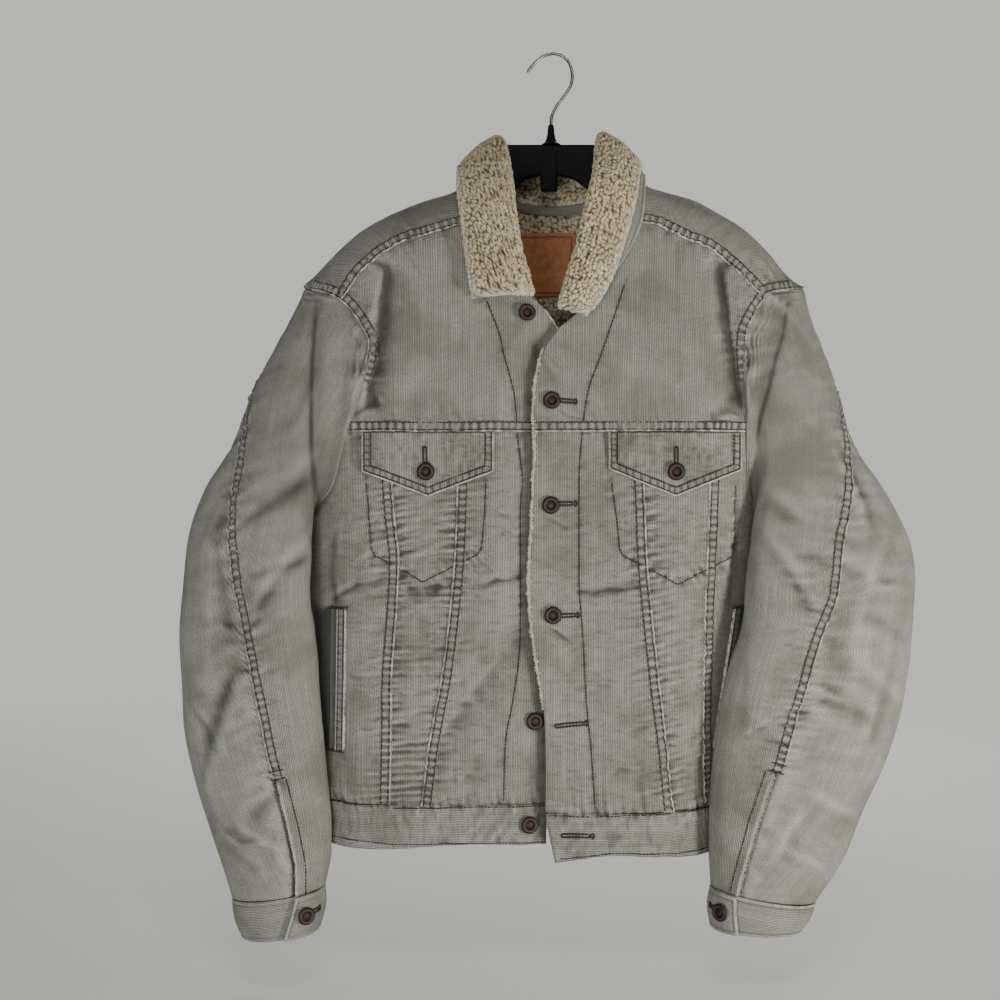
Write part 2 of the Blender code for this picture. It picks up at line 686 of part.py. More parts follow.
def sleeve_piece(name, rings, armhole, start, end, shares, mirrored):
    """One cut piece of a sleeve, between the angles start(ring) and end(ring)."""
    last = len(rings) - 1
    count = round(last * RINGS_BETWEEN)
    hair_ring, hair_angle = 0.05, 2.0
    outer, normals = [], []
    for row in range(count + 1):
        ring = last * row / count
        line, line_normals = [], []
        for share in shares:
            angle = start(ring) + (end(ring) - start(ring)) * share
            low, high = max(ring - hair_ring, 0), min(ring + hair_ring, last)
            down = sleeve_point(rings, armhole, high, angle) - sleeve_point(rings, armhole, low, angle)
            ahead = sleeve_point(rings, armhole, ring, angle + hair_angle)
            behind = sleeve_point(rings, armhole, ring, angle - hair_angle)
            normal = down.cross(ahead - behind).normalized()
            line.append(sleeve_point(rings, armhole, ring, angle))
            line_normals.append(-normal if mirrored else normal)
        outer.append(line[::-1] if mirrored else line)
        normals.append(line_normals[::-1] if mirrored else line_normals)
    wall(name, outer, normals, SLEEVE_WALL, CORDUROY)


def make_sleeve(side, rings, armhole, seam_turn, mirrored):
    """Front and back pieces of a sleeve."""
    slack = 0.25        # degrees kept free on each side of a seam
    first, last = FRONT_COLUMNS[0], FRONT_COLUMNS[-1]
    front_shares = [(turn - first) / (last - first) for turn in FRONT_COLUMNS]

    def back_seam(shift):
        return lambda ring: read(seam_turn, ring) + shift

    def under_seam(shift):
        return lambda ring: read(UNDER_SEAM_TURN, ring) + shift

    sleeve_piece(f"sleeve_{side}_front", rings, armhole, back_seam(slack), under_seam(-slack),
                 front_shares, mirrored)
    sleeve_piece(f"sleeve_{side}_back", rings, armhole, under_seam(slack - 360), back_seam(-slack),
                 steps(0, 1, BACK_COLUMNS), mirrored)


# ---------------------------------------------------------------- cuffs
CUFF_WALL = 2.6
CUFF_GAP = 0.5          # from the sleeve's end
CUFF_LIFT = 4.8         # how far the buttoned end stands off the end under it
CUFF_LIFT_TURN = 75.0   # degrees over which it comes back
CUFF_UNDERLAP = 22.0    # degrees that the lower end runs on
# Rings of a cuff: outer x, drop, y; inner x, drop, y; depth to the front and to the back.
CUFF_LEFT = [(-316, 837, -34, -223, 821, -46, 35, 29), (-306, 874, -36, -228, 862, -46, 33, 28)]
CUFF_RIGHT = [(256, 841, -34, 151, 821, -48, 35, 29), (241, 868, -36, 151, 860, -48, 33, 28)]
CUFF_EDGE_TURN_LEFT = 112.0     # angle of the buttoned end's edge
CUFF_EDGE_TURN_RIGHT = 124.0
CUFF_BELLY = 2.5        # how far a cuff swells half way down
CUFF_ROWS = 3
CUFF_COLUMNS = 20


def cuff_point(rings, down, angle):
    """Point of a cuff before its end is lifted; down goes from 0 at the seam to 1 at the edge."""
    top, bottom = rings
    outer_x, outer_drop, outer_y, inner_x, inner_drop, inner_y, front_depth, back_depth = (
        a + (b - a) * down for a, b in zip(top, bottom)
    )
    turn = math.radians(angle)
    share = (1 - math.cos(turn)) / 2
    bulge = math.sin(turn)
    depth = front_depth if bulge > 0 else back_depth
    belly = CUFF_BELLY * math.sin(math.pi * down)
    outward = -1 if outer_x < 0 else 1
    return Vector((
        outer_x + (inner_x - outer_x) * share + outward * belly * math.cos(turn),
        outer_y + (inner_y - outer_y) * share - (depth + belly) * bulge,
        -(outer_drop + (inner_drop - outer_drop) * share) - CUFF_GAP,
    ))


def cuff_normal(rings, down, angle):
    """Outward normal of a cuff."""
    around = cuff_point(rings, down, angle + 2) - cuff_point(rings, down, angle - 2)
    normal = Vector((0, 0, -1)).cross(around).normalized()
    return normal if rings[0][0] < 0 else -normal


def make_cuff(name, rings, edge_turn):
    """A band round the sleeve's end, whose buttoned end laps over the other."""
    mirrored = rings[0][0] > 0
    outer, normals = [], []
    for down in steps(0, 1, CUFF_ROWS):
        line, line_normals = [], []
        for angle in steps(edge_turn, edge_turn + 360 + CUFF_UNDERLAP, CUFF_COLUMNS):
            back = min((angle - edge_turn) / CUFF_LIFT_TURN, 1)
            lift = CUFF_LIFT * (1 - back * back * (3 - 2 * back))
            normal = cuff_normal(rings, down, angle)
            line.append(cuff_point(rings, down, angle) + normal * lift)
            line_normals.append(normal)
        outer.append(line[::-1] if mirrored else line)
        normals.append(line_normals[::-1] if mirrored else line_normals)
    wall(name, outer, normals, CUFF_WALL, CORDUROY)


# ---------------------------------------------------------------- collar
COLLAR_WALL = 4.5
COLLAR_FOLD = 5.5       # radius of the fold's outside
UNDER_COLLAR_WALL = 1.4
LEAF_BOW = 4.2          # how far the leaf arches over the shoulder
# Sections along the collar, from the left front end round the back to the right front end:
# fold x, y, drop; leaf's edge x, y, drop; foot of the stand x, y, drop.
COLLAR = [
    (-20, -68, 251, -82, -66, 254, -42, -60, 250),
    (-25, -67, 231, -84, -64, 236, -46, -58, 232),
    (-32, -64, 207, -88, -59, 210, -52, -54, 208),
    (-37, -59, 173, -93, -49, 172, -55, -44, 174),
    (-41, -52, 136, -97, -37, 143, -55, -32, 140),
    (-48, -21, 92, -97, -17, 117, -55.5, -15, 120),
    (-55, 2, 84.5, -98, 7, 122, -55.5, 3, 114),
    (-50, 18, 89, -90, 35, 144, -53, 14, 122),
    (-32, 27, 96, -62, 42, 160, -34, 21, 143),
    (0, 29, 99, 0, 42, 171, 0, 22.5, 149),
    (32, 27, 96, 62, 42, 160, 34, 21, 143),
    (49, 18, 87, 89, 35, 143, 51, 14, 121),
    (48, 2, 81, 91, 5, 115, 53.5, 3, 112),
    (42, -21, 89, 88, -20, 114, 53.5, -15, 118),
    (36, -54, 131, 82, -46, 146, 52.5, -32, 140),
    (28, -61, 164, 76, -54, 173, 48, -45, 168),
    (21, -63, 197, 66, -59, 206, 41, -53, 201),
    (12, -66, 225, 57, -64, 231, 32, -58, 228),
    (6, -69, 245, 45, -68, 254, 26, -61, 249),
    (1, -70, 263, 32, -70, 273, 19, -63, 268),
]
COLLAR_RINGS = 28
# How far the under collar shows beyond the leaf's edge: section, width.
UNDER_COLLAR_PEEK = [(0, 0.6), (11, 0.6), (12, 4), (13, 8), (15, 9), (16, 5), (17, 1), (19, 0.6)]


def collar_section(place):
    """Fold, edge, foot, direction from fold to edge and outward direction at a place on the collar."""
    numbered = [(row, *values) for row, values in enumerate(COLLAR)]

    def corner(at, first):
        x, y, drop = (read(numbered, at, first + offset) for offset in range(3))
        return Vector((x, y, -drop))

    fold, edge, foot = corner(place, 1), corner(place, 4), corner(place, 7)
    low, high = max(place - 0.5, 0), min(place + 0.5, len(COLLAR) - 1)
    along = corner(high, 1) - corner(low, 1)
    leaf = (edge - fold).normalized()
    out = along.cross(leaf).normalized()
    return fold, edge, foot, leaf, out


def collar_profile(place):
    """Visible surface of the collar at a place, from the leaf's edge over the fold to the stand's foot."""
    fold, edge, foot, leaf, out = collar_section(place)
    centre = fold + leaf * COLLAR_FOLD
    top = centre + out * COLLAR_FOLD
    bottom = centre - out * COLLAR_FOLD
    profile = [
        edge,
        edge.lerp(top, 0.3) + out * LEAF_BOW * 0.8,
        edge.lerp(top, 0.65) + out * LEAF_BOW,
        top,
    ]
    for degrees in (135, 180, 225):
        turn = math.radians(degrees)
        profile.append(centre + (leaf * math.cos(turn) + out * math.sin(turn)) * COLLAR_FOLD)
    profile += [bottom, bottom.lerp(foot, 0.5), foot]
    return profile


def make_collar():
    """The folded sherpa collar and, under its leaf, the corduroy under collar."""
    last = len(COLLAR) - 1
    places = steps(last, 0, COLLAR_RINGS)
    grid = [collar_profile(place) for place in places]
    normals = grid_normals(grid)
    wall("collar", grid, normals, COLLAR_WALL, SHERPA)
    under, under_normals = [], []
    for place, line, line_normals in zip(places, grid, normals):
        peek = (line[0] - line[1]).normalized() * read(UNDER_COLLAR_PEEK, place)
        middle = line_normals[0].lerp(line_normals[1], 0.5)
        under_normals.append([line_normals[0], middle, line_normals[1]])
        spots = [line[0] + peek, line[0].lerp(line[1], 0.5), line[1]]
        depth = COLLAR_WALL + LAYER_GAP
        under.append([spot - normal * depth for spot, normal in zip(spots, under_normals[-1])])
    wall("under_collar", under, under_normals, UNDER_COLLAR_WALL, CORDUROY)


# ---------------------------------------------------------------- what lies on the panels
# Pocket flaps: left x, right x, drop of the top, drop of the corners, drop of the point.
FLAPS = {"left": (-185, -59, 386, 421, 445), "right": (50, 178, 386, 419, 445)}
# Welts of the side pockets: drop, left x, right x.
WELTS = {
    "left": [(552, -215, -200), (620, -216, -201), (691, -218, -203)],
    "right": [(552, 173, 186), (620, 163, 176), (691, 153, 166)],
}


def make_flap(side):
    """A pointed flap, made from the panel's points moved out."""
    x0, x1, top, corner, point = FLAPS[side]
    columns, rows = 8, 3
    middle = (x0 + x1) / 2

    def drops(share):
        x = x0 + (x1 - x0) * share
        bottom = point + (corner - point) * abs(x - middle) / (middle - x0)
        return steps(top, bottom, rows)

    panel(f"flap_{side}", drops, lambda drop: x0, lambda drop: x1, columns,
          thickness=TRIM_WALL, lift=LAYER_GAP + TRIM_WALL)


def make_welt(side):
    """The narrow welt of a side pocket."""
    rows = WELTS[side]
    panel(f"welt_{side}", steps(rows[0][0], rows[-1][0], 5), seam(rows, 1), seam(rows, 2), 2,
          thickness=TRIM_WALL, lift=LAYER_GAP + TRIM_WALL)


# ---------------------------------------------------------------- inside the back of the neck
LINING_WALL = 2.5
LINING_DEPTH = BODY_WALL + LAYER_GAP            # in from the body's outer surface
ON_LINING = LINING_DEPTH + LINING_WALL + 0.5
LINING_HALF = 60.0
LINING_TOP = 2.0                                # below the neck seam
LINING_BOTTOM = 330.0
TAPE_WALL = 1.0
TAPE_HALF = 48.0
TAPE_TOP, TAPE_BOTTOM = -5.0, 5.0               # below the neck seam
LABEL_LEFT, LABEL_RIGHT = -36, 24
LABEL_TOP, LABEL_BOTTOM = 175, 240


def neck_piece(name, left, right, drops, columns, depth, thickness):
    """A piece on the inside of the back, between two x and with drops given as a function of x."""
    def rows(share):
        return drops(left + (right - left) * share)

    panel(name, rows, lambda drop: left, lambda drop: right, columns, front=False,
          thickness=thickness, lift=-depth)


def make_neck_inside():
    """Sherpa lining, neck tape and a plain label patch, where they show through the neck."""
    def lining_drops(x):
        return steps(read(NECK_BACK, x) + LINING_TOP, LINING_BOTTOM, 7)

    def tape_drops(x):
        return [read(NECK_BACK, x) + TAPE_TOP, read(NECK_BACK, x) + TAPE_BOTTOM]

    def label_drops(x):
        return steps(LABEL_TOP, LABEL_BOTTOM, 3)

    neck_piece("neck_lining", -LINING_HALF, LINING_HALF, lining_drops, 6, LINING_DEPTH, LINING_WALL)
    neck_piece("neck_tape", -TAPE_HALF, TAPE_HALF, tape_drops, 8, ON_LINING, TAPE_WALL)
    neck_piece("neck_label", LABEL_LEFT, LABEL_RIGHT, label_drops, 3, ON_LINING, TAPE_WALL)


# ---------------------------------------------------------------- buttons
# Profile of a button: radius, height above the cloth.
BUTTON_PROFILE = [(0, 2.9), (3.4, 2.8), (5.4, 4.3), (7.6, 3.8), (8.5, 2.0), (5.5, 0.3), (0, 0.3)]
BUTTON_SIDES = 11
SHANK = 0.4             # from the cloth to a button on level cloth
SHANK_ON_SLOPE = 1.7    # and on the sloping edge of the left front
# Buttons of the fronts: x, drop, 1 where it is sewn to the left front and lies open.
FRONT_BUTTONS = [(-28, 268, 1), (-4, 353, 0), (-5, 453, 0), (-3, 558, 0), (-20.5, 660, 1), (-26, 760, 1)]
FLAP_BUTTONS = {"left": (-124, 421), "right": (114, 421)}
CUFF_BUTTON_TURN = {"left": 128.0, "right": 141.0}
CUFF_BUTTON_DOWN = 0.45


def turned(name, base, axis, profile, sides, look):
    """A turned piece: profile is (radius, height) pairs from the top of the axis round to its foot."""
    aside = axis.orthogonal().normalized()
    other = axis.cross(aside)
    points, faces = [base + axis * profile[0][1]], []
    for radius, height in profile[1:-1]:
        for side in range(sides):
            turn = 2 * math.pi * side / sides
            points.append(base + axis * height + (aside * math.cos(turn) + other * math.sin(turn)) * radius)
    points.append(base + axis * profile[-1][1])
    for side in range(sides):
        following = (side + 1) % sides
        faces.append((0, 1 + side, 1 + following))
        for ring in range(len(profile) - 3):
            a, b = 1 + ring * sides + side, 1 + ring * sides + following
            faces.append((a, a + sides, b + sides, b))
        a = 1 + (len(profile) - 3) * sides
        faces.append((a + following, a + side, len(points) - 1))
    return add_object(name, points, faces, look)


def front_at(x, drop, sink):
    """Point of the front's outer surface, sunk like the piece it belongs to."""
    return body_point(x, drop, True) - body_normal(x, drop, True) * sink(x, drop)


def make_buttons():
    """Shank buttons of the fronts, flaps and cuffs."""
    for number, (x, drop, on_left) in enumerate(FRONT_BUTTONS, start=1):
        sink = underlap if on_left else plain
        reach = BUTTON_PROFILE[3][0]
        across = front_at(x + reach, drop, sink) - front_at(x - reach, drop, sink)
        down = front_at(x, drop + reach, sink) - front_at(x, drop - reach, sink)
        normal = down.cross(across).normalized()
        base = front_at(x, drop, sink) + normal * (SHANK_ON_SLOPE if on_left else SHANK)
        turned(f"button_front_{number}", base, normal, BUTTON_PROFILE, BUTTON_SIDES, BUTTON)
    for side, (x, drop) in FLAP_BUTTONS.items():
        normal = body_normal(x, drop, True)
        base = body_point(x, drop, True, LAYER_GAP * 2 + TRIM_WALL)
        turned(f"button_flap_{side}", base, normal, BUTTON_PROFILE, BUTTON_SIDES, BUTTON)
    for side, rings in (("left", CUFF_LEFT), ("right", CUFF_RIGHT)):
        angle = CUFF_BUTTON_TURN[side]
        normal = cuff_normal(rings, CUFF_BUTTON_DOWN, angle)
        base = cuff_point(rings, CUFF_BUTTON_DOWN, angle) + normal * (CUFF_LIFT + SHANK * 2)
        turned(f"button_cuff_{side}", base, normal, BUTTON_PROFILE, BUTTON_SIDES, BUTTON)


# ---------------------------------------------------------------- hanger
HANGER_HALF = 6.0       # half its thickness
HANGER_BEVEL = 2.5
# Outline of the moulded body: x, drop of the top, drop of the underside.
HANGER = [
    (-187, 188, 196), (-183, 184, 199), (-162, 170, 193), (-130, 157, 183), (-99, 147, 172),
    (-77, 134, 164), (-60, 129, 155), (-54, 125, 150), (-50, 108, 146), (-48, 91, 143), (-41, 91, 137),
    (-28, 91, 125), (-13, 91, 121), (-12, 91, 137), (4, 91, 137), (5, 91, 121), (22, 91, 125),
    (35, 91, 135), (43, 91, 143), (45, 108, 146), (50, 125, 150), (57, 128, 155), (75, 132, 164),
    (93, 141, 170), (130, 152, 182), (160, 167, 192), (180, 180, 199), (186, 185, 196),
]
# Neck between the body and the wire: place, sides, and profile as radius and height above its foot.
NECK_X, NECK_DROP = -2.0, 91.0
NECK_SIDES = 16
NECK_PROFILE = [(0, 20.5), (3.0, 20.5), (3.6, 12.0), (5.5, 5.5), (10.0, 0.3), (0, 0.3)]
WIRE_RADIUS = 1.6
WIRE_SIDES = 7
HOOK_RINGS = 22
# Middle line of the hook's wire: x, drop.
HOOK = [
    (-2, 69.8), (-1.5, 62), (4, 51), (12, 40), (17.5, 31), (19.5, 21), (17, 9), (10, 1.2), (0, -1.6),
    (-10, 1.2), (-19, 8.5), (-26, 17.5),
]


def make_hanger():
    """Moulded body, the neck that holds the wire, and the wire hook."""
    rings = []
    for x, top, bottom in HANGER:
        bevel = min(HANGER_BEVEL, (bottom - top) / 3)
        section = [
            (-HANGER_HALF, top + bevel), (-HANGER_HALF, bottom - bevel),
            (bevel - HANGER_HALF, bottom), (HANGER_HALF - bevel, bottom),
            (HANGER_HALF, bottom - bevel), (HANGER_HALF, top + bevel),
            (HANGER_HALF - bevel, top), (bevel - HANGER_HALF, top),
        ]
        rings.append([Vector((x, y, -drop)) for y, drop in section])
    closed_rings("hanger_body", rings, PLASTIC)
    neck_foot = Vector((NECK_X, 0, -NECK_DROP))
    turned("hanger_neck", neck_foot, Vector((0, 0, 1)), NECK_PROFILE, NECK_SIDES, PLASTIC)

    numbered = [(row, x, drop) for row, (x, drop) in enumerate(HOOK)]

    def wire_at(place):
        return Vector((read(numbered, place, 1), 0, -read(numbered, place, 2)))

    last = len(HOOK) - 1
    aside = Vector((0, 1, 0))
    rings = []
    for place in steps(0, last, HOOK_RINGS):
        along = (wire_at(min(place + 0.1, last)) - wire_at(max(place - 0.1, 0))).normalized()
        other = along.cross(aside)
        turns = [2 * math.pi * side / WIRE_SIDES for side in range(WIRE_SIDES)]
        centre = wire_at(place)
        rings.append([centre + (aside * math.cos(turn) + other * math.sin(turn)) * WIRE_RADIUS for turn in turns])
    closed_rings("hanger_hook", rings, STEEL)


make_fronts()
make_back()
make_hems()
make_back_yoke()
make_sleeve("left", SLEEVE_LEFT, ARMHOLE_LEFT, SEAM_TURN_LEFT, False)
make_sleeve("right", SLEEVE_RIGHT, ARMHOLE_RIGHT, SEAM_TURN_RIGHT, True)
make_cuff("cuff_left", CUFF_LEFT, CUFF_EDGE_TURN_LEFT)
make_cuff("cuff_right", CUFF_RIGHT, CUFF_EDGE_TURN_RIGHT)
make_collar()
for flap_side in FLAPS:
    make_flap(flap_side)
    make_welt(flap_side)
make_neck_inside()
make_buttons()
make_hanger()
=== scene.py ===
"""Looks of a sherpa lined corduroy jacket that hangs half buttoned on a moulded clothes hanger.

Sizes are millimetres until a mesh is made. X runs to the viewer's right, Y away from the viewer and Z up.
The origin is the top of the hook's inside. "drop" is the distance below it. "left" and "right" are the
viewer's. Every piece of cloth is a thin shell on the same form as its solid.
"""
import math

import bpy
import numpy as np
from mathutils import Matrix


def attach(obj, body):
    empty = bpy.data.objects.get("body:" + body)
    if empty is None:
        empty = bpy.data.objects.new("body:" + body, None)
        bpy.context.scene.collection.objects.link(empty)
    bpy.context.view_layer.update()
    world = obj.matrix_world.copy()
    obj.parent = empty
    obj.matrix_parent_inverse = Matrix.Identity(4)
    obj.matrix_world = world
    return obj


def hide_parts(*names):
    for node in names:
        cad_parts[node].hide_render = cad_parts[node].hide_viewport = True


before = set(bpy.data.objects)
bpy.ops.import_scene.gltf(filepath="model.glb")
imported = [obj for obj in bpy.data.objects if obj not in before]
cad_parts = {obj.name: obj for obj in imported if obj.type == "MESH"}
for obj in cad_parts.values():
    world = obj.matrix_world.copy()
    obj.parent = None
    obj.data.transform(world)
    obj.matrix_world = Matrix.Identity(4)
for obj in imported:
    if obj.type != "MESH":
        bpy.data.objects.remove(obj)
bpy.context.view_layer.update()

MM = 0.001
SEAM_GAP = 0.3
CORD_WALL = 1.8         # thickness of the corduroy
HEM_WALL = 3.4          # corduroy folded double
BODY_WALL = 4.0         # corduroy and fleece lining, pressed together
SLEEVE_WALL = 2.6
TRIM_WALL = 2.2
TRIM_LIFT = 0.8         # between the cloth and what lies on it

# ---------------------------------------------------------------- form of the jacket
SHOULDER = [            # x, drop of the shoulder line
    (-250, 236), (-229, 212), (-210, 193), (-191, 177), (-162, 161), (-130, 148), (-99, 138), (-77, 122),
    (-66, 107), (64, 105), (75, 119), (93, 132), (114, 139), (141, 147), (162, 158), (191, 176), (213, 197),
    (231, 218), (252, 236),
]
SIDE = [                # drop, x at the left, x at the right
    (236, -250, 252), (330, -250, 234), (400, -250, 218), (470, -249, 205), (547, -247, 195),
    (647, -242, 178), (761, -234, 168), (800, -234, 168),
]
SECTION = [             # drop, y of the middle, depth of the front, depth of the back
    (100, 0, 34, 24), (180, -1, 42, 30), (260, -6, 50, 37), (400, -13, 58, 43), (600, -14, 56, 44),
    (740, -14, 50, 42), (800, -14, 47, 41),
]
TOP_ROUND_FRONT = 62.0
TOP_ROUND_BACK = 55.0
SIDE_ROUND = 85.0
SIDE_POWER = 1.3
YOKE_DROP = 382.0
BACK_YOKE_DROP = 300.0
UNDERARM_DROP = 470.0
FORWARD_SEAM_LEFT = [   # x, drop
    (-207, 252), (-199, 240), (-187, 224), (-166, 206), (-147, 195), (-127, 189), (-112, 184), (-90, 178),
    (-66, 172),
]
FORWARD_SEAM_RIGHT = [
    (64, 172), (88, 177), (102, 180), (127, 193), (149, 202), (171, 220), (189, 238), (200, 250),
]
ARMHOLE_LEFT = [        # drop, x on the front, x on the back
    (236, -249, -249), (244, -226, -238), (254, -208, -229), (268, -195, -221), (282, -186, -216),
    (296, -180, -212), (326, -186, -208), (360, -196, -208), (386, -205, -211), (424, -215, -221),
    (445, -224, -231), (460, -235, -240), (470, -249, -249),
]
ARMHOLE_RIGHT = [
    (236, 251, 251), (244, 213, 240), (254, 202, 231), (268, 193, 223), (282, 186, 217), (296, 184, 212),
    (326, 185, 207), (360, 187, 204), (386, 188, 202), (424, 190, 200), (445, 192, 200), (460, 196, 202),
    (470, 205, 205),
]
NECK_LEFT = [(172, -66), (195, -62), (218, -56), (236, -45), (246, -24)]                # drop, x
NECK_RIGHT = [(172, 64), (190, 64), (220, 55), (245, 41), (265, 23), (282, 3)]
NECK_BACK = [(-66, 128), (-40, 146), (0, 152), (40, 146), (64, 126)]                    # x, drop
EDGE_LEFT = [           # drop, x
    (246, -24), (282, 1), (320, 12), (353, 15), (558, 15), (610, 9), (660, 1), (740, -8), (800, -9),
]
EDGE_RIGHT = [
    (282, 3), (307, -13), (357, -21), (409, -20), (526, -25), (567, -23), (609, -17), (643, -12), (686, -10),
    (746, -10), (800, 0),
]
FRONT_SEAMS = [         # drop, outer left, inner left, inner right, outer right
    (382, -157, -94, 82, 148), (436, -157, -94, 84, 147), (508, -150, -97, 87, 145),
    (561, -153, -102, 92, 143), (616, -157, -109, 98, 143), (680, -158, -121, 106, 144),
    (750, -160, -130, 114, 146),
]
HEM_LEFT = [(-234, 738, 779), (-143, 742, 785), (-50, 740, 779), (-8, 741, 780)]        # x, seam, lower edge
HEM_RIGHT = [(-10, 749, 797), (30, 750, 790), (94, 748, 793), (168, 745, 788)]
HEM_BACK = [(-234, 738, 779), (0, 744, 786), (168, 745, 788)]
UNDERLAP_START = 34.0
UNDERLAP_END = 6.0      # where the left front lies level under the right one
UNDERLAP_DEPTH = BODY_WALL + 2.6

# Main folds: x, drop, x, drop, width, height (a trough is below 0).
FRONT_FOLDS = [
    (-165, 222, -173, 318, 11, -4.0), (163, 222, 176, 345, 11, -4.0), (-41, 585, -112, 690, 15, -4.0),
    (-70, 560, -135, 640, 18, 3.0), (-206, 546, -96, 533, 9, -2.6), (-150, 300, -60, 352, 26, 2.6),
    (60, 330, 150, 290, 24, 2.6), (24, 536, 80, 529, 8, -2.0), (60, 620, 66, 720, 15, 2.6),
    (-180, 610, -186, 720, 15, 3.0), (-128, 470, -124, 520, 20, 2.2), (118, 470, 116, 520, 20, 2.2),
]
BACK_FOLDS = [
    (-168, 330, -150, 450, 26, -2.2), (150, 330, 128, 450, 26, -2.2), (-90, 420, -70, 640, 28, 2.6),
    (40, 470, 62, 700, 30, 2.8), (-175, 560, -120, 640, 24, -2.0), (120, 560, 70, 655, 24, -2.0),
    (-30, 600, -10, 730, 26, -1.8),
]
SLEEVE_FRONT_FOLDS = [
    (-242, 256, -244, 330, 9, -7.0), (-244, 330, -240, 466, 9, -7.5), (-262, 290, -268, 420, 16, 4.0),
    (-304, 612, -334, 694, 18, -3.4), (-262, 720, -284, 745, 9, -3.5), (-335, 500, -342, 620, 18, 3.5),
    (-262, 560, -246, 690, 14, 3.5), (236, 246, 226, 330, 9, -6.5), (226, 330, 200, 390, 9, -6.5),
    (262, 320, 236, 450, 16, 4.0), (258, 640, 292, 652, 11, -4.5), (184, 690, 232, 652, 12, -4.5),
    (300, 520, 284, 640, 20, 3.5), (330, 500, 356, 506, 11, -3.5), (200, 560, 190, 640, 14, 3.5),
]
SLEEVE_BACK_FOLDS = [
    (-300, 470, -250, 520, 12, -4.0), (-345, 560, -280, 600, 13, -4.0), (-330, 660, -262, 640, 14, 3.5),
    (-300, 740, -270, 800, 12, -3.5), (292, 470, 232, 520, 12, -4.0), (332, 560, 255, 604, 13, -4.0),
    (310, 660, 232, 642, 14, 3.5), (262, 740, 226, 800, 12, -3.5),
]
# Small creases in the same columns, sharper than the main folds.
FRONT_CREASES = [
    (-57, 524, -70, 532, 4, -1.6), (-35, 522, -57, 524, 4, -1.6), (-148, 521, -139, 532, 5, -1.8),
    (-139, 532, -116, 533, 5, -1.8), (-116, 533, -103, 524, 5, -1.6), (-218, 547, -191, 527, 5, -1.8),
    (-191, 527, -158, 517, 5, -1.4), (23, 536, 77, 530, 4, -1.5), (-84, 636, -60, 662, 6, 1.5),
    (-66, 600, -96, 628, 7, -1.2), (-180, 345, -150, 362, 6, 1.2), (-196, 366, -176, 352, 5, -1.6),
    (176, 345, 150, 368, 6, -1.4), (182, 362, 158, 374, 5, 1.2), (40, 470, 62, 500, 6, -1.0),
    (150, 470, 168, 505, 6, 1.3), (-186, 640, -178, 700, 6, -1.3), (-100, 700, -112, 730, 6, 1.3),
    (-76, 700, -82, 734, 6, -1.2), (52, 690, 50, 740, 6, 1.2), (80, 700, 84, 742, 5, -1.1),
    (128, 600, 131, 700, 7, 1.2), (-140, 560, -136, 700, 8, 1.4), (10, 640, 18, 738, 7, -1.2),
    (-20, 300, -4, 330, 6, -1.0), (-150, 208, -140, 240, 7, 1.0), (-104, 200, -96, 250, 9, -0.9),
    (120, 200, 112, 260, 9, -0.9), (98, 270, 60, 320, 14, 1.1), (-96, 300, -130, 350, 12, -1.1),
]
BACK_CREASES = [
    (-150, 470, -110, 500, 13, -0.9), (-120, 700, -126, 736, 6, 1.4), (-60, 704, -58, 738, 6, -1.3),
    (-200, 520, -160, 548, 6, 1.5), (160, 520, 110, 552, 10, -0.9), (90, 700, 96, 740, 6, 1.3),
    (30, 330, 44, 420, 10, 1.4), (-40, 330, -52, 420, 10, -1.3), (0, 520, 12, 600, 9, 1.3),
    (140, 640, 120, 720, 8, -1.4), (-180, 640, -150, 712, 8, 1.4), (60, 310, 90, 352, 6, -1.0),
]


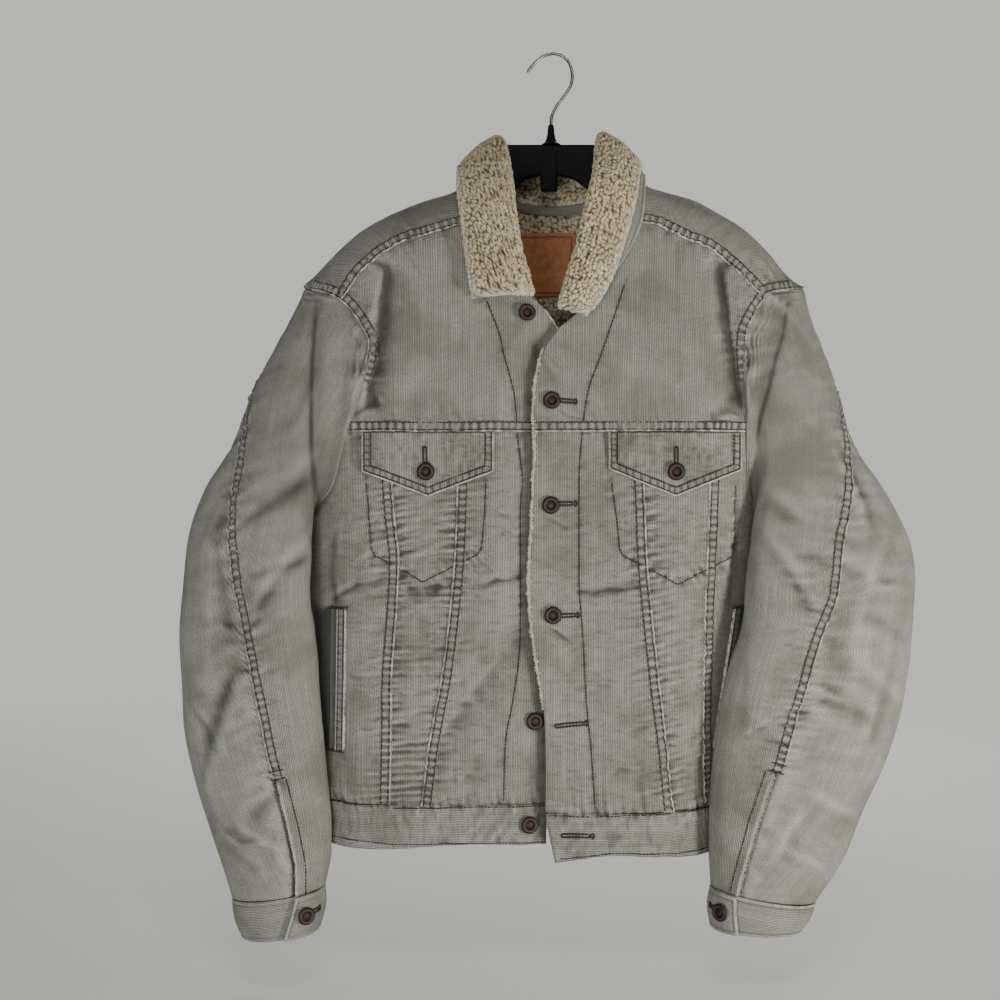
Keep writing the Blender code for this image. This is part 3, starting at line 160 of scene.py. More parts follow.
# Deep folds: places down the fold as x and drop; width and height on its left; width and height on its
# right; how much shade is painted along its hollow.
FRONT_DRAPES = [
    ([(-163, 214), (-168, 240), (-174, 284), (-178, 320), (-184, 370)], 9, 1.5, 17, -6.5, 0.55),
    ([(160, 208), (165, 240), (169, 280), (176, 330), (184, 376)], 18, -6.0, 8, -0.5, 0.55),
    ([(-36, 578), (-60, 606), (-84, 636), (-112, 680)], 16, 0.8, 15, -1.2, 0.02),
    ([(-219, 548), (-205, 536), (-191, 529), (-174, 526), (-158, 517)], 6, -2.0, 7, 1.2, 0.40),
    ([(-142, 528), (-133, 531), (-124, 530), (-116, 533), (-102, 524)], 5, 0.3, 5, -0.6, 0.22),
    ([(-70, 531), (-63, 526), (-57, 524), (-45, 524), (-34, 522)], 4, -1.4, 5, 1.0, 0.45),
    ([(22, 536), (34, 537), (50, 533), (66, 533), (77, 530)], 5, -1.2, 6, 0.9, 0.35),
    ([(52, 470), (66, 476), (84, 474)], 5, -1.0, 5, 0.9, 0.25),
    ([(-62, 455), (-50, 462), (-38, 464)], 5, -1.1, 5, 0.9, 0.30),
    ([(-58, 486), (-47, 480), (-36, 484)], 4, 0.8, 5, -1.1, 0.28),
    ([(-16, 462), (0, 468), (18, 478)], 4, -0.9, 5, 0.7, 0.25),
    ([(-14, 566), (0, 572), (22, 588)], 5, -1.1, 5, 0.8, 0.30),
    ([(-2, 358), (12, 366), (24, 370)], 4, -0.9, 4, 0.6, 0.22),
    ([(146, 520), (158, 512), (170, 516)], 5, -1.3, 5, 0.9, 0.35),
    ([(-206, 610), (-190, 618), (-170, 616)], 6, -1.3, 6, 0.9, 0.25),
    ([(-100, 726), (-84, 712), (-60, 716)], 6, -1.1, 6, 0.9, 0.22),
    ([(46, 716), (62, 704), (88, 710)], 6, -1.1, 6, 0.9, 0.22),
    ([(-16, 300), (-4, 316), (8, 330)], 5, 0.5, 6, -0.6, 0.06),
    ([(-197, 372), (-180, 360), (-160, 358)], 6, 1.2, 6, -1.6, 0.25),
    ([(186, 372), (168, 364), (150, 366)], 6, -1.4, 6, 1.4, 0.22),
    ([(-210, 470), (-214, 520), (-208, 560)], 12, -3.5, 10, 1.0, 0.35),
    ([(176, 440), (172, 500), (166, 560)], 8, 1.0, 12, -3.0, 0.30),
]
BACK_DRAPES = [
    ([(-188, 316), (-184, 350), (-176, 400), (-160, 452)], 24, -1.5, 26, 0.8, 0.0),
    ([(176, 316), (170, 360), (158, 410), (138, 456)], 26, 0.8, 24, -1.4, 0.0),
    ([(-206, 590), (-176, 604), (-150, 636), (-130, 690)], 24, 0.8, 26, -1.0, 0.0),
    ([(158, 600), (130, 622), (108, 656), (96, 700)], 24, -1.0, 26, 0.8, 0.0),
    ([(-66, 500), (-58, 560), (-44, 620), (-40, 700)], 28, 0.7, 28, -0.9, 0.0),
]
SLEEVE_DRAPES = [
    ([(-234, 244), (-236, 280), (-237.5, 321), (-236, 403), (-231, 467), (-228, 510)],
     15, 4.0, 18, -7.5, 0.85),
    ([(-264, 286), (-274, 352), (-288, 410)], 12, -2.5, 6, 1.2, 0.05),
    ([(-244, 420), (-262, 500), (-290, 560)], 18, 2.0, 18, -2.6, 0.10),
    ([(-312, 420), (-322, 500), (-300, 590)], 16, -2.0, 16, 1.6, 0.06),
    ([(-300, 606), (-314, 646), (-332, 696), (-344, 740)], 17, -2.8, 16, 1.4, 0.16),
    ([(-258, 720), (-272, 716), (-288, 736)], 8, -2.0, 8, 1.6, 0.20),
    ([(-336, 560), (-300, 574), (-268, 560)], 10, 1.2, 10, -1.8, 0.08),
    ([(-330, 760), (-300, 776), (-270, 770)], 9, 1.3, 9, -1.6, 0.10),
    ([(-358, 640), (-330, 668), (-318, 700)], 9, -1.6, 9, 1.4, 0.10),
    ([(236, 240), (229, 262), (223, 290), (215, 312), (208, 340), (200, 368), (195, 400)],
     15, -7.0, 16, 4.0, 0.85),
    ([(276, 392), (284, 410), (298, 450), (304, 480)], 10, 1.5, 12, -4.0, 0.30),
    ([(296, 522), (314, 530), (336, 528)], 8, 1.0, 9, -1.8, 0.14),
    ([(214, 440), (226, 500), (246, 560)], 16, -2.0, 16, 1.8, 0.06),
    ([(242, 618), (258, 630), (276, 638)], 7, 1.4, 9, -2.2, 0.14),
    ([(218, 646), (190, 664), (162, 682)], 8, 1.4, 10, -2.2, 0.14),
    ([(330, 560), (318, 620), (296, 690)], 14, 1.4, 14, -1.8, 0.05),
    ([(172, 560), (180, 620), (176, 680)], 12, -1.6, 12, 1.4, 0.05),
    ([(250, 730), (226, 760), (206, 800)], 10, 1.3, 10, -1.6, 0.07),
    ([(262, 290), (278, 340), (282, 400)], 14, 1.4, 14, -1.6, 0.04),
]


def read(table, at, column=1):
    """Values of a table's column at places in its rising first column, on a smooth curve."""
    rows = np.asarray(table, float)
    knots, values = rows[:, 0], rows[:, column]
    at = np.clip(np.asarray(at, float), knots[0], knots[-1])
    low = np.clip(np.searchsorted(knots, at) - 1, 0, len(knots) - 2)
    count = np.arange(len(knots))
    before, after = np.maximum(count - 1, 0), np.minimum(count + 1, len(knots) - 1)
    slopes = (values[after] - values[before]) / (knots[after] - knots[before])
    span = knots[low + 1] - knots[low]
    t = (at - knots[low]) / span
    a, b = values[low], values[low + 1]
    steep = 3 * (b - a) / span
    s0 = np.clip(slopes[low], np.minimum(steep, 0), np.maximum(steep, 0))
    s1 = np.clip(slopes[low + 1], np.minimum(steep, 0), np.maximum(steep, 0))
    return (
        a * (2 * t**3 - 3 * t**2 + 1) + b * (3 * t**2 - 2 * t**3)
        + span * (s0 * (t**3 - 2 * t**2 + t) + s1 * (t**3 - t**2))
    )


def eased(share):
    """0 to 1 with level ends, for a share that may lie outside."""
    share = np.clip(share, 0, 1)
    return share * share * (3 - 2 * share)


def hump(away, width):
    """A soft hump of height 1."""
    return np.exp(-((np.asarray(away) / width) ** 2))


def unit(vectors):
    """Vectors of length 1."""
    return vectors / np.maximum(np.linalg.norm(vectors, axis=-1, keepdims=True), 1e-9)


def noise(x, y, size, seed):
    """Smooth noise from -1 to 1 whose bumps are about size apart."""
    lattice = np.random.default_rng(seed).uniform(-1, 1, (64, 64))
    u, v = np.asarray(x) / size, np.asarray(y) / size
    i, j = np.floor(u).astype(int), np.floor(v).astype(int)
    a, b = eased(u - i), eased(v - j)
    top = lattice[i % 64, j % 64] * (1 - a) + lattice[(i + 1) % 64, j % 64] * a
    low = lattice[i % 64, (j + 1) % 64] * (1 - a) + lattice[(i + 1) % 64, (j + 1) % 64] * a
    return top * (1 - b) + low * b


def rounded(share):
    """Height of a quarter circle at a share of its width; 1 past it."""
    return np.sqrt(np.maximum(0.0, 1 - (1 - np.clip(share, 0, 1)) ** 2))


def run_length(points):
    """Length along a line of points up to each of them."""
    return np.r_[0, np.cumsum(np.linalg.norm(np.diff(points, axis=0), axis=1))]


def points_along(at, length, values):
    """Points or directions at lengths along a line, between those that are known at some lengths."""
    return np.stack([np.interp(at, length, values[:, axis]) for axis in range(3)], -1)


def to_border(x, y, x0, x1, y0, y1):
    """Distance of places inside a rectangle from its border."""
    return np.minimum(np.minimum(x - x0, x1 - x), np.minimum(y - y0, y1 - y))


def from_line(x, y, start, end):
    """Distance of places from a straight line between two ends, and how far along it they lie."""
    (x0, y0), (x1, y1) = start, end
    ax, ay = x1 - x0, y1 - y0
    share = np.clip(((x - x0) * ax + (y - y0) * ay) / (ax * ax + ay * ay), 0, 1)
    return np.hypot(x - x0 - share * ax, y - y0 - share * ay), share


def folded(folds, x, drop):
    """How far the folds of a table lift the cloth at a place seen from the front."""
    lift = np.zeros(np.broadcast(x, drop).shape)
    for x0, drop0, x1, drop1, width, height in folds:
        lift += height * hump(from_line(x, drop, (x0, drop0), (x1, drop1))[0], width)
    return lift


def draped(drapes, x, drop):
    """Lift of deep folds, which fall off steeply on one side and die out at their ends, and the shade that is
    painted along their hollows.
    """
    lift = np.zeros(np.broadcast(x, drop).shape)
    dark = np.zeros(lift.shape)
    for line, left_width, left, right_width, right, shade in drapes:
        best, side, run = np.full(lift.shape, 1e6), np.zeros(lift.shape), np.zeros(lift.shape)
        total = 0.0
        for (x0, drop0), (x1, drop1) in zip(line, line[1:]):
            away, share = from_line(x, drop, (x0, drop0), (x1, drop1))
            way = np.sign((drop1 - drop0) * (x - x0) - (x1 - x0) * (drop - drop0))
            stretch = math.hypot(x1 - x0, drop1 - drop0)
            closer = away < best
            best, side = np.where(closer, away, best), np.where(closer, way, side)
            run = np.where(closer, total + share * stretch, run)
            total += stretch
        ends = eased(np.minimum(run, total - run) / min(22, total / 2.5))
        signed = best * side
        narrow = min(left_width, right_width)
        over = 0.5 + 0.5 * np.tanh(signed / (1.2 + 0.16 * narrow))
        lift += ends * ((1 - over) * left * hump(best, left_width) + over * right * hump(best, right_width))
        low = -narrow if left < right else narrow
        shadow = hump(signed - low * 0.12, narrow * 0.11 + 0.6) + 0.35 * hump(signed - low * 0.4, low * 0.6)
        dark += ends * shade * shadow
    return lift, dark


def slack(x, drop, seed):
    """Unevenness of cloth that hangs: slow swells, small dents and thin creases."""
    ridges = 0.5 - np.abs(noise(x + drop * 0.35, drop * 1.7, 33, seed + 2))
    fine = 0.5 - np.abs(noise(x * 0.8 - drop * 0.3, drop * 1.9, 17, seed + 3))
    return (
        1.0 * noise(x, drop * 0.6, 46, seed) + 0.5 * noise(x, drop * 0.8, 19, seed + 1)
        + (0.9 * ridges + 0.5 * fine) * eased((drop - 380) / 120)
    )


def body_y(x, drop, front):
    """y of the body's outer surface at a place seen from the front."""
    middle = read(SECTION, drop, 1)
    depth = read(SECTION, drop, 2 if front else 3)
    over = (drop - read(SHOULDER, x)) / (TOP_ROUND_FRONT if front else TOP_ROUND_BACK)
    aside = np.minimum(x - read(SIDE, drop, 1), read(SIDE, drop, 2) - x) / SIDE_ROUND
    form = rounded(over) * rounded(aside) ** SIDE_POWER
    relief = folded(FRONT_FOLDS if front else BACK_FOLDS, x, drop)
    relief += folded(FRONT_CREASES if front else BACK_CREASES, x, drop)
    relief += slack(x, drop, 11 if front else 21)
    relief += draped(FRONT_DRAPES if front else BACK_DRAPES, x, drop)[0]
    out = depth * form + relief * form + SEAM_GAP * 0.6
    return middle - out if front else middle + out


def underlap(x, drop):
    """How far the left front has sunk behind the right one."""
    share = eased((x - read(EDGE_RIGHT, drop) + UNDERLAP_START) / (UNDERLAP_START - UNDERLAP_END))
    return UNDERLAP_DEPTH * share


class Surface:
    """A face of the jacket's form with two coordinates, u and v.

    place gives its points, hair is the small step of u and v for its slopes, and side turns its normals.
    """

    def __init__(self, place, hair, side=1):
        self.place = place
        self.hair = hair
        self.side = side

    def slopes(self, u, v):
        """Change of the point per step of u and of v."""
        du, dv = self.hair
        across = (self.place(u + du, v) - self.place(u - du, v)) / (2 * du)
        down = (self.place(u, v + dv) - self.place(u, v - dv)) / (2 * dv)
        return across, down

    def normal(self, u, v):
        across, down = self.slopes(u, v)
        return unit(np.cross(down, across)) * self.side


def front_place(x, drop):
    """Points of the body's front, seen from the front."""
    x, drop = np.broadcast_arrays(x, drop)
    return np.stack([x, body_y(x, drop, True), -drop], -1)


def back_place(x, drop):
    """Points of the body's back, seen from the front."""
    x, drop = np.broadcast_arrays(x, drop)
    return np.stack([x, body_y(x, drop, False), -drop], -1)


def sunk_place(x, drop):
    """The left front, which sinks towards its free edge."""
    points = front_place(x, drop)
    points[..., 1] += underlap(x, drop)
    return points


def wrap_drop(x, turn):
    """Drop at an angle over the shoulder: below 0 in front, above 0 behind."""
    round_drop = np.where(turn < 0, TOP_ROUND_FRONT, TOP_ROUND_BACK)
    angle = np.abs(turn)
    quarter = np.minimum(angle, math.pi / 2)
    return read(SHOULDER, x) + round_drop * (1 - np.cos(quarter) + np.maximum(angle - math.pi / 2, 0))


def wrap_turn(x, drop, front):
    """The angle over the shoulder at which a drop lies."""
    below = np.maximum(drop - read(SHOULDER, x), 0) / (TOP_ROUND_FRONT if front else TOP_ROUND_BACK)
    angle = np.arccos(1 - np.minimum(below, 1)) + np.maximum(below - 1, 0)
    return -angle if front else angle


def wrap_place(x, turn):
    """Points over the shoulders, from the front to the back."""
    x, turn = np.broadcast_arrays(x, turn)
    drop = wrap_drop(x, turn)
    y = np.where(turn < 0, body_y(x, drop, True), body_y(x, drop, False))
    return np.stack([x, y, -drop], -1)


FRONT = Surface(front_place, (0.8, 0.8))
FRONT_SUNK = Surface(sunk_place, (0.8, 0.8))
BACK = Surface(back_place, (0.8, 0.8), -1)
WRAP = Surface(wrap_place, (0.8, 0.02), -1)


def inside_form(surface, u, v):
    """Keeps a place a little inside the body's outline, where its slope is finite."""
    u = np.clip(u, read(SIDE, v, 1) + 1.6, read(SIDE, v, 2) - 1.6)
    if surface is not WRAP:
        v = np.maximum(v, read(SHOULDER, u) + 1.6)
    return u, v


# ---------------------------------------------------------------- sleeves and cuffs
# Rings of a sleeve: outer x, drop, y; inner x, drop, y; depth to the front and to the back; share of the
# armhole's shape; how far its front laps over the body.
SLEEVE_LEFT = [
    (-250, 236, -4, -250, 471, -14, 40, 40, 1.00, 0), (-261, 264, -7, -262, 484, -15, 43, 40, 0.72, 6),
    (-276, 296, -11, -264, 499, -19, 44, 40, 0.44, 14), (-294, 328, -14, -260, 516, -28, 44, 39, 0.24, 22),
    (-309, 362, -17, -251, 532, -40, 43, 38, 0.10, 23), (-321, 398, -19, -241, 547, -50, 42, 36, 0.02, 15),
    (-344, 434, -20, -234, 563, -56, 42, 34, 0.00, 7), (-361, 480, -20, -231, 582, -58, 42, 33, 0.00, 2),
    (-367, 535, -22, -229, 603, -57, 42, 33, 0.00, 0), (-370, 580, -24, -228, 626, -56, 42, 33, 0.00, 0),
    (-367, 630, -26, -226, 654, -55, 41, 33, 0.00, 0), (-364, 676, -28, -223, 686, -54, 40, 32, 0.00, 0),
    (-353, 724, -30, -220, 722, -52, 39, 32, 0.00, 0), (-338, 770, -32, -217, 758, -50, 38, 31, 0.00, 0),
    (-325, 808, -33, -217, 790, -48, 36, 30, 0.00, 0), (-316, 836, -34, -223, 821, -46, 35, 29, 0.00, 0),
]
SLEEVE_RIGHT = [
    (252, 236, -4, 206, 471, -14, 40, 40, 1.00, 0), (258, 270, -7, 219, 484, -15, 43, 40, 0.72, 8),
    (267, 302, -11, 221, 499, -19, 44, 40, 0.44, 18), (282, 335, -14, 216, 516, -28, 44, 39, 0.24, 27),
    (289, 368, -17, 206, 532, -42, 43, 38, 0.10, 25), (302, 402, -19, 194, 547, -53, 42, 36, 0.02, 16),
    (326, 436, -20, 184, 563, -60, 42, 34, 0.00, 7), (350, 482, -20, 176, 582, -63, 42, 33, 0.00, 2),
    (357, 520, -22, 168, 603, -63, 42, 33, 0.00, 0), (354, 572, -24, 162, 626, -62, 42, 33, 0.00, 0),
    (349, 616, -26, 157, 654, -60, 41, 33, 0.00, 0), (340, 662, -28, 153, 686, -58, 40, 32, 0.00, 0),
    (325, 706, -30, 150, 718, -56, 39, 32, 0.00, 0), (303, 752, -32, 149, 752, -53, 38, 31, 0.00, 0),
    (283, 800, -33, 149, 786, -50, 36, 30, 0.00, 0), (256, 840, -34, 151, 821, -48, 35, 29, 0.00, 0),
]
# Back seam of a sleeve, which runs from behind to the front: ring, angle in degrees.
SEAM_TURN = {
    "left": [(0, -62), (3, -20), (4.5, 28), (6, 62), (7, 80), (8, 92), (10, 103), (12, 110), (15, 117)],
    "right": [(0, -62), (3, -15), (4, 12), (5, 43), (6, 76), (8, 99), (10, 107), (12, 113), (15, 125)],
}
UNDER_SEAM_TURN = [(0, 245), (4, 245), (8, 220), (15, 206)]
ARMHOLE_CLEAR = 1.8
LAP_SHAPE = 0.77
CHEST_COVER = (11, 4.3, 1.6)        # of the right sleeve: how far, at which ring, over how many rings
TUCK_RINGS = 0.35                   # how far down the head of a sleeve is tucked in
TUCK_AROUND = 3.4
TUCK_ASIDE = 2.5
TUCK_UP = 2.6
ROLL_STARTS = (302, 36)             # drop, over how much it grows
ROLL_ENDS = (462, 30)
ROLL_RINGS = (0.42, 0.34)           # where it is highest, how wide it is
ROLL_ASIDE = 7.5
ROLL_AHEAD = 6.5
SLEEVE_CREASES = [      # on the front: x, drop, x, drop, width, height
    (-238, 300, -300, 330, 9, 2.0), (-250, 420, -300, 470, 8, -2.0), (-352, 560, -300, 580, 9, -2.2),
    (-240, 500, -290, 520, 7, -1.8), (-296, 640, -270, 660, 8, 1.4),
    (-300, 760, -262, 780, 6, 1.8),
    (-320, 780, -290, 800, 6, -1.8), (-262, 790, -240, 812, 5, 1.3), (-356, 470, -330, 500, 8, 1.8),
    (-300, 380, -316, 440, 9, -1.8), (-276, 470, -262, 560, 10, 1.5), (-340, 700, -322, 760, 8, 1.6),
    (240, 500, 290, 520, 8, -1.8), (300, 560, 344, 584, 9, -2.2), (290, 600, 340, 640, 9, 2.0),
    (170, 640, 210, 668, 7, 1.8), (240, 690, 300, 700, 8, -2.0), (250, 730, 290, 752, 7, 1.8),
    (170, 740, 200, 764, 6, -1.6), (220, 780, 256, 800, 6, 1.6), (206, 420, 240, 470, 9, -1.8),
    (262, 290, 274, 380, 9, -1.8), (320, 480, 300, 520, 8, 1.8), (180, 560, 176, 640, 8, 1.4),
    (160, 780, 190, 806, 6, 1.4), (232, 560, 250, 610, 10, 1.4), (318, 620, 300, 690, 8, -1.5),
]


def armhole_place(armhole, angle):
    """Points of an armhole: 0 at the shoulder, 90 in front, 180 under the arm, 270 behind."""
    angle = np.mod(angle, 360)
    front = angle <= 180
    around = np.radians(np.where(front, angle, 360 - angle))
    top, bottom = armhole[0][0], armhole[-1][0]
    drop = (top + bottom) / 2 - (bottom - top) / 2 * np.cos(around)
    x = np.where(front, read(armhole, drop, 1), read(armhole, drop, 2))
    left = armhole[0][1] < 0
    way = -1 if left else 1
    x_clear = x + way * ARMHOLE_CLEAR * np.sin(around)
    side = read(SIDE, drop, 1 if left else 2)
    inside = np.where(np.abs(x_clear) < np.abs(side), x_clear, side)
    y = np.where(front, body_y(inside, drop, True), body_y(inside, drop, False))
    return np.stack([inside + way * ARMHOLE_CLEAR * 0.5, y, -drop - ARMHOLE_CLEAR * np.cos(around)], -1)


def sleeve_surface(rings, armhole):
    """The tube of a sleeve; u is the angle in degrees, 0 outside and 90 in front, and v counts the rings."""
    numbered = np.c_[np.arange(len(rings)), np.array(rings, float)]
    left = rings[0][0] < 0

    def place(angle, ring):
        angle, ring = np.broadcast_arrays(np.asarray(angle, float), np.asarray(ring, float))
        outer_x, outer_drop, outer_y, inner_x, inner_drop, inner_y, ahead, behind, share, lap = (
            read(numbered, ring, column) for column in range(1, 11)
        )
        turn = np.radians(angle)
        across = (1 - np.cos(turn)) / 2
        bulge = np.sin(turn)
        x = outer_x + (inner_x - outer_x) * across
        if not left:                        # the right sleeve covers more of the body beside the chest
            far, at, wide = CHEST_COVER
            x = x - far * hump(ring - at, wide) * across ** 3
        y = outer_y + (inner_y - outer_y) * across
        drop = outer_drop + (inner_drop - outer_drop) * across
        grown = np.minimum(ring / 2, 1)
        small = folded(SLEEVE_CREASES, x, drop) + slack(x, drop, 31) * 0.95
        small = small + draped(SLEEVE_DRAPES, x, drop)[0]
        front_depth = ahead * bulge + (folded(SLEEVE_FRONT_FOLDS, x, drop) + small) * bulge * grown
        small = folded(SLEEVE_CREASES, x * 0.97 + 8, drop + 14) + slack(x, drop, 41) * 0.95
        back_depth = behind * bulge + (folded(SLEEVE_BACK_FOLDS, x, drop) + small) * bulge * grown
        y = y - np.where(bulge > 0, front_depth, back_depth)
        points = np.stack([x, y, -drop], -1)
        share = share[..., None]
        points = armhole_place(armhole, angle) * share + points * (1 - share)
        way = 1 if left else -1
        points[..., 0] += way * lap * LAP_SHAPE * np.maximum(bulge, 0) * (1 - np.cos(turn))
        # The head is tucked under the body's seam, and lower down it rolls over it.
        tuck = np.clip(1 - ring / TUCK_RINGS, 0, 1)
        points[..., 0] += way * TUCK_AROUND * tuck * np.abs(np.sin(turn)) + way * TUCK_ASIDE * tuck
        points[..., 2] += TUCK_UP * tuck * np.cos(turn)
        roll = eased((-points[..., 2] - ROLL_STARTS[0]) / ROLL_STARTS[1])
        roll = roll * eased((ROLL_ENDS[0] + points[..., 2]) / ROLL_ENDS[1])
        roll = roll * np.clip(bulge * 3, 0, 1)
        over = hump(ring - ROLL_RINGS[0], ROLL_RINGS[1]) * roll
        points[..., 0] += way * ROLL_ASIDE * over
        points[..., 1] -= ROLL_AHEAD * over
        return points

    return Surface(place, (1.0, 0.03), 1 if left else -1)


SLEEVES = {
    "left": sleeve_surface(SLEEVE_LEFT, ARMHOLE_LEFT),
    "right": sleeve_surface(SLEEVE_RIGHT, ARMHOLE_RIGHT),
}
LAST_RING = len(SLEEVE_LEFT) - 1

CUFF_WALL = 2.4
CUFF_GAP = 0.5
CUFF_LIFT = 4.8
CUFF_LIFT_TURN = 75.0
CUFF_UNDERLAP = 22.0
CUFF_BELLY = 2.5
# Rings of a cuff: outer x, drop, y; inner x, drop, y; depth to the front and to the back.
CUFFS = {
    "left": [(-316, 837, -34, -223, 821, -46, 35, 29), (-306, 874, -36, -228, 862, -46, 33, 28)],
    "right": [(256, 841, -34, 151, 821, -48, 35, 29), (241, 868, -36, 151, 860, -48, 33, 28)],
}
CUFF_EDGE_TURN = {"left": 112.0, "right": 124.0}


def cuff_surface(side):
    """A cuff; u is the angle from its buttoned edge on, v goes from 0 at the seam to 1 at the edge."""
    top, bottom = (np.array(ring, float) for ring in CUFFS[side])
    edge = CUFF_EDGE_TURN[side]
    outward = -1 if side == "left" else 1

    def bare(angle, down):
        values = [a + (b - a) * down for a, b in zip(top, bottom)]
        outer_x, outer_drop, outer_y, inner_x, inner_drop, inner_y, ahead, behind = values
        turn = np.radians(angle)
        share, bulge = (1 - np.cos(turn)) / 2, np.sin(turn)
        depth = np.where(bulge > 0, ahead, behind)
        belly = CUFF_BELLY * np.sin(math.pi * down)
        drop = outer_drop + (inner_drop - outer_drop) * share
        return np.stack([
            outer_x + (inner_x - outer_x) * share + outward * belly * np.cos(turn),
            outer_y + (inner_y - outer_y) * share - (depth + belly) * bulge,
            -drop - CUFF_GAP,
        ], -1)

    def place(angle, down):
        angle, down = np.broadcast_arrays(np.asarray(angle, float), np.asarray(down, float))
        back = eased((angle - edge) / CUFF_LIFT_TURN)
        around = bare(angle + 2, down) - bare(angle - 2, down)
        normal = unit(np.cross(np.array([0, 0, -1.0]), around)) * -outward
        lift = CUFF_LIFT * (1 - back) + 0.5 * noise(angle * 0.7, down * 30, 14, 51)
        return bare(angle, down) + normal * lift[..., None]

    return Surface(place, (1.0, 0.03), -outward)


# ---------------------------------------------------------------- finishes
class Signal:
    """A socket in a material, so that arithmetic on it adds Math nodes."""

    def __init__(self, finish, socket):
        self.finish = finish
        self.socket = socket

    def math(self, operation, *values):
        return self.finish.node("ShaderNodeMath", {"operation": operation}, dict(enumerate(values)))

    def __add__(self, other):
        return self.math("ADD", self, other)

    def __sub__(self, other):
        return self.math("SUBTRACT", self, other)

    def __rsub__(self, other):
        return self.math("SUBTRACT", other, self)

    def __mul__(self, other):
        return self.math("MULTIPLY", self, other)

    def __pow__(self, other):
        return self.math("POWER", self, other)

    __radd__ = __add__
    __rmul__ = __mul__

    def clamp(self):
        return self.math("MINIMUM", self.math("MAXIMUM", self, 0.0), 1.0)

    def wave(self):
        """Height of round ribs, one for each whole number: 0 in the groove, 1 on top."""
        return self.math("ABSOLUTE", self.math("SINE", self * math.pi))

    def ramp(self, low, high):
        """0 below low, 1 above high."""
        return self.finish.node("ShaderNodeMapRange", {"interpolation_type": "SMOOTHSTEP"}, {
            "Value": self, "From Min": low, "From Max": high,
        })


class Finish:
    """A material made of nodes round one Principled shader."""

    def __init__(self, name, **constants):
        self.material = bpy.data.materials.new(name)
        self.material.use_nodes = True
        self.tree = self.material.node_tree
        self.shader = self.tree.nodes["Principled BSDF"]
        for socket, value in constants.items():
            self.shader.inputs[socket.replace("_", " ")].default_value = value

    def node(self, kind, settings=None, inputs=None, out=0):
        """Adds a node: its settings first, then the values or links of its sockets."""
        made = self.tree.nodes.new(kind)
        for name, value in (settings or {}).items():
            setattr(made, name, value)
        for key, value in (inputs or {}).items():
            if isinstance(value, Signal):
                self.tree.links.new(value.socket, made.inputs[key])
            else:
                made.inputs[key].default_value = value
        return Signal(self, made.outputs[out])

    def feed(self, **signals):
        """Links signals to the shader's sockets."""
        for socket, signal in signals.items():
            self.tree.links.new(signal.socket, self.shader.inputs[socket.replace("_", " ")])

    def mark(self, name):
        """A number stored on the points of the mesh."""
        return self.node("ShaderNodeAttribute", {"attribute_name": name}, out="Fac")

    def place(self):
        """Position on the object, in metres."""
        return self.node("ShaderNodeTexCoord", out="Object")

    def cut(self):
        """Position on the flat cut piece, in metres: across and along the wales, and both together."""
        both = self.node("ShaderNodeUVMap", {"uv_map": "cut"})
        across = self.node("ShaderNodeSeparateXYZ", None, {0: both})
        along = Signal(self, across.socket.node.outputs[1])
        return across, along, both

    def stretched(self, vector, x, y, z=1.0):
        """A position scaled differently along its axes."""
        return self.node("ShaderNodeVectorMath", {"operation": "MULTIPLY"}, {0: vector, 1: (x, y, z)})

    def noise(self, vector, scale, detail=2.0, roughness=0.5):
        return self.node("ShaderNodeTexNoise", None, {
            "Vector": vector, "Scale": scale, "Detail": detail, "Roughness": roughness,
        })

    def mix(self, share, first, second):
        """A colour between two colours."""
        colours = [value if isinstance(value, Signal) else (*value, 1.0) for value in (first, second)]
        return self.node(
            "ShaderNodeMix", {"data_type": "RGBA"}, {0: share, 6: colours[0], 7: colours[1]}, out=2,
        )

    def bump(self, height, depth, strength=1.0):
        """Bump of a height from 0 to 1, depth in metres."""
        return self.node("ShaderNodeBump", None, {"Height": height, "Distance": depth, "Strength": strength})


WALE = 1.65                     # from one rib of the corduroy to the next
# Colours of the needlecord: its middle and paler tone, the painted shade of its creases, hollows and grooves,
# its worn white and its stains. The paler tone is also the painted highlight on the crests of its crumples.
CORD_MID = (0.330, 0.322, 0.268)
CORD_LIGHT = (0.510, 0.498, 0.425)
CORD_PAINTED_SHADE = (0.078, 0.080, 0.066)
CORD_WORN = (0.62, 0.60, 0.53)
CORD_STAIN = (0.215, 0.196, 0.150)


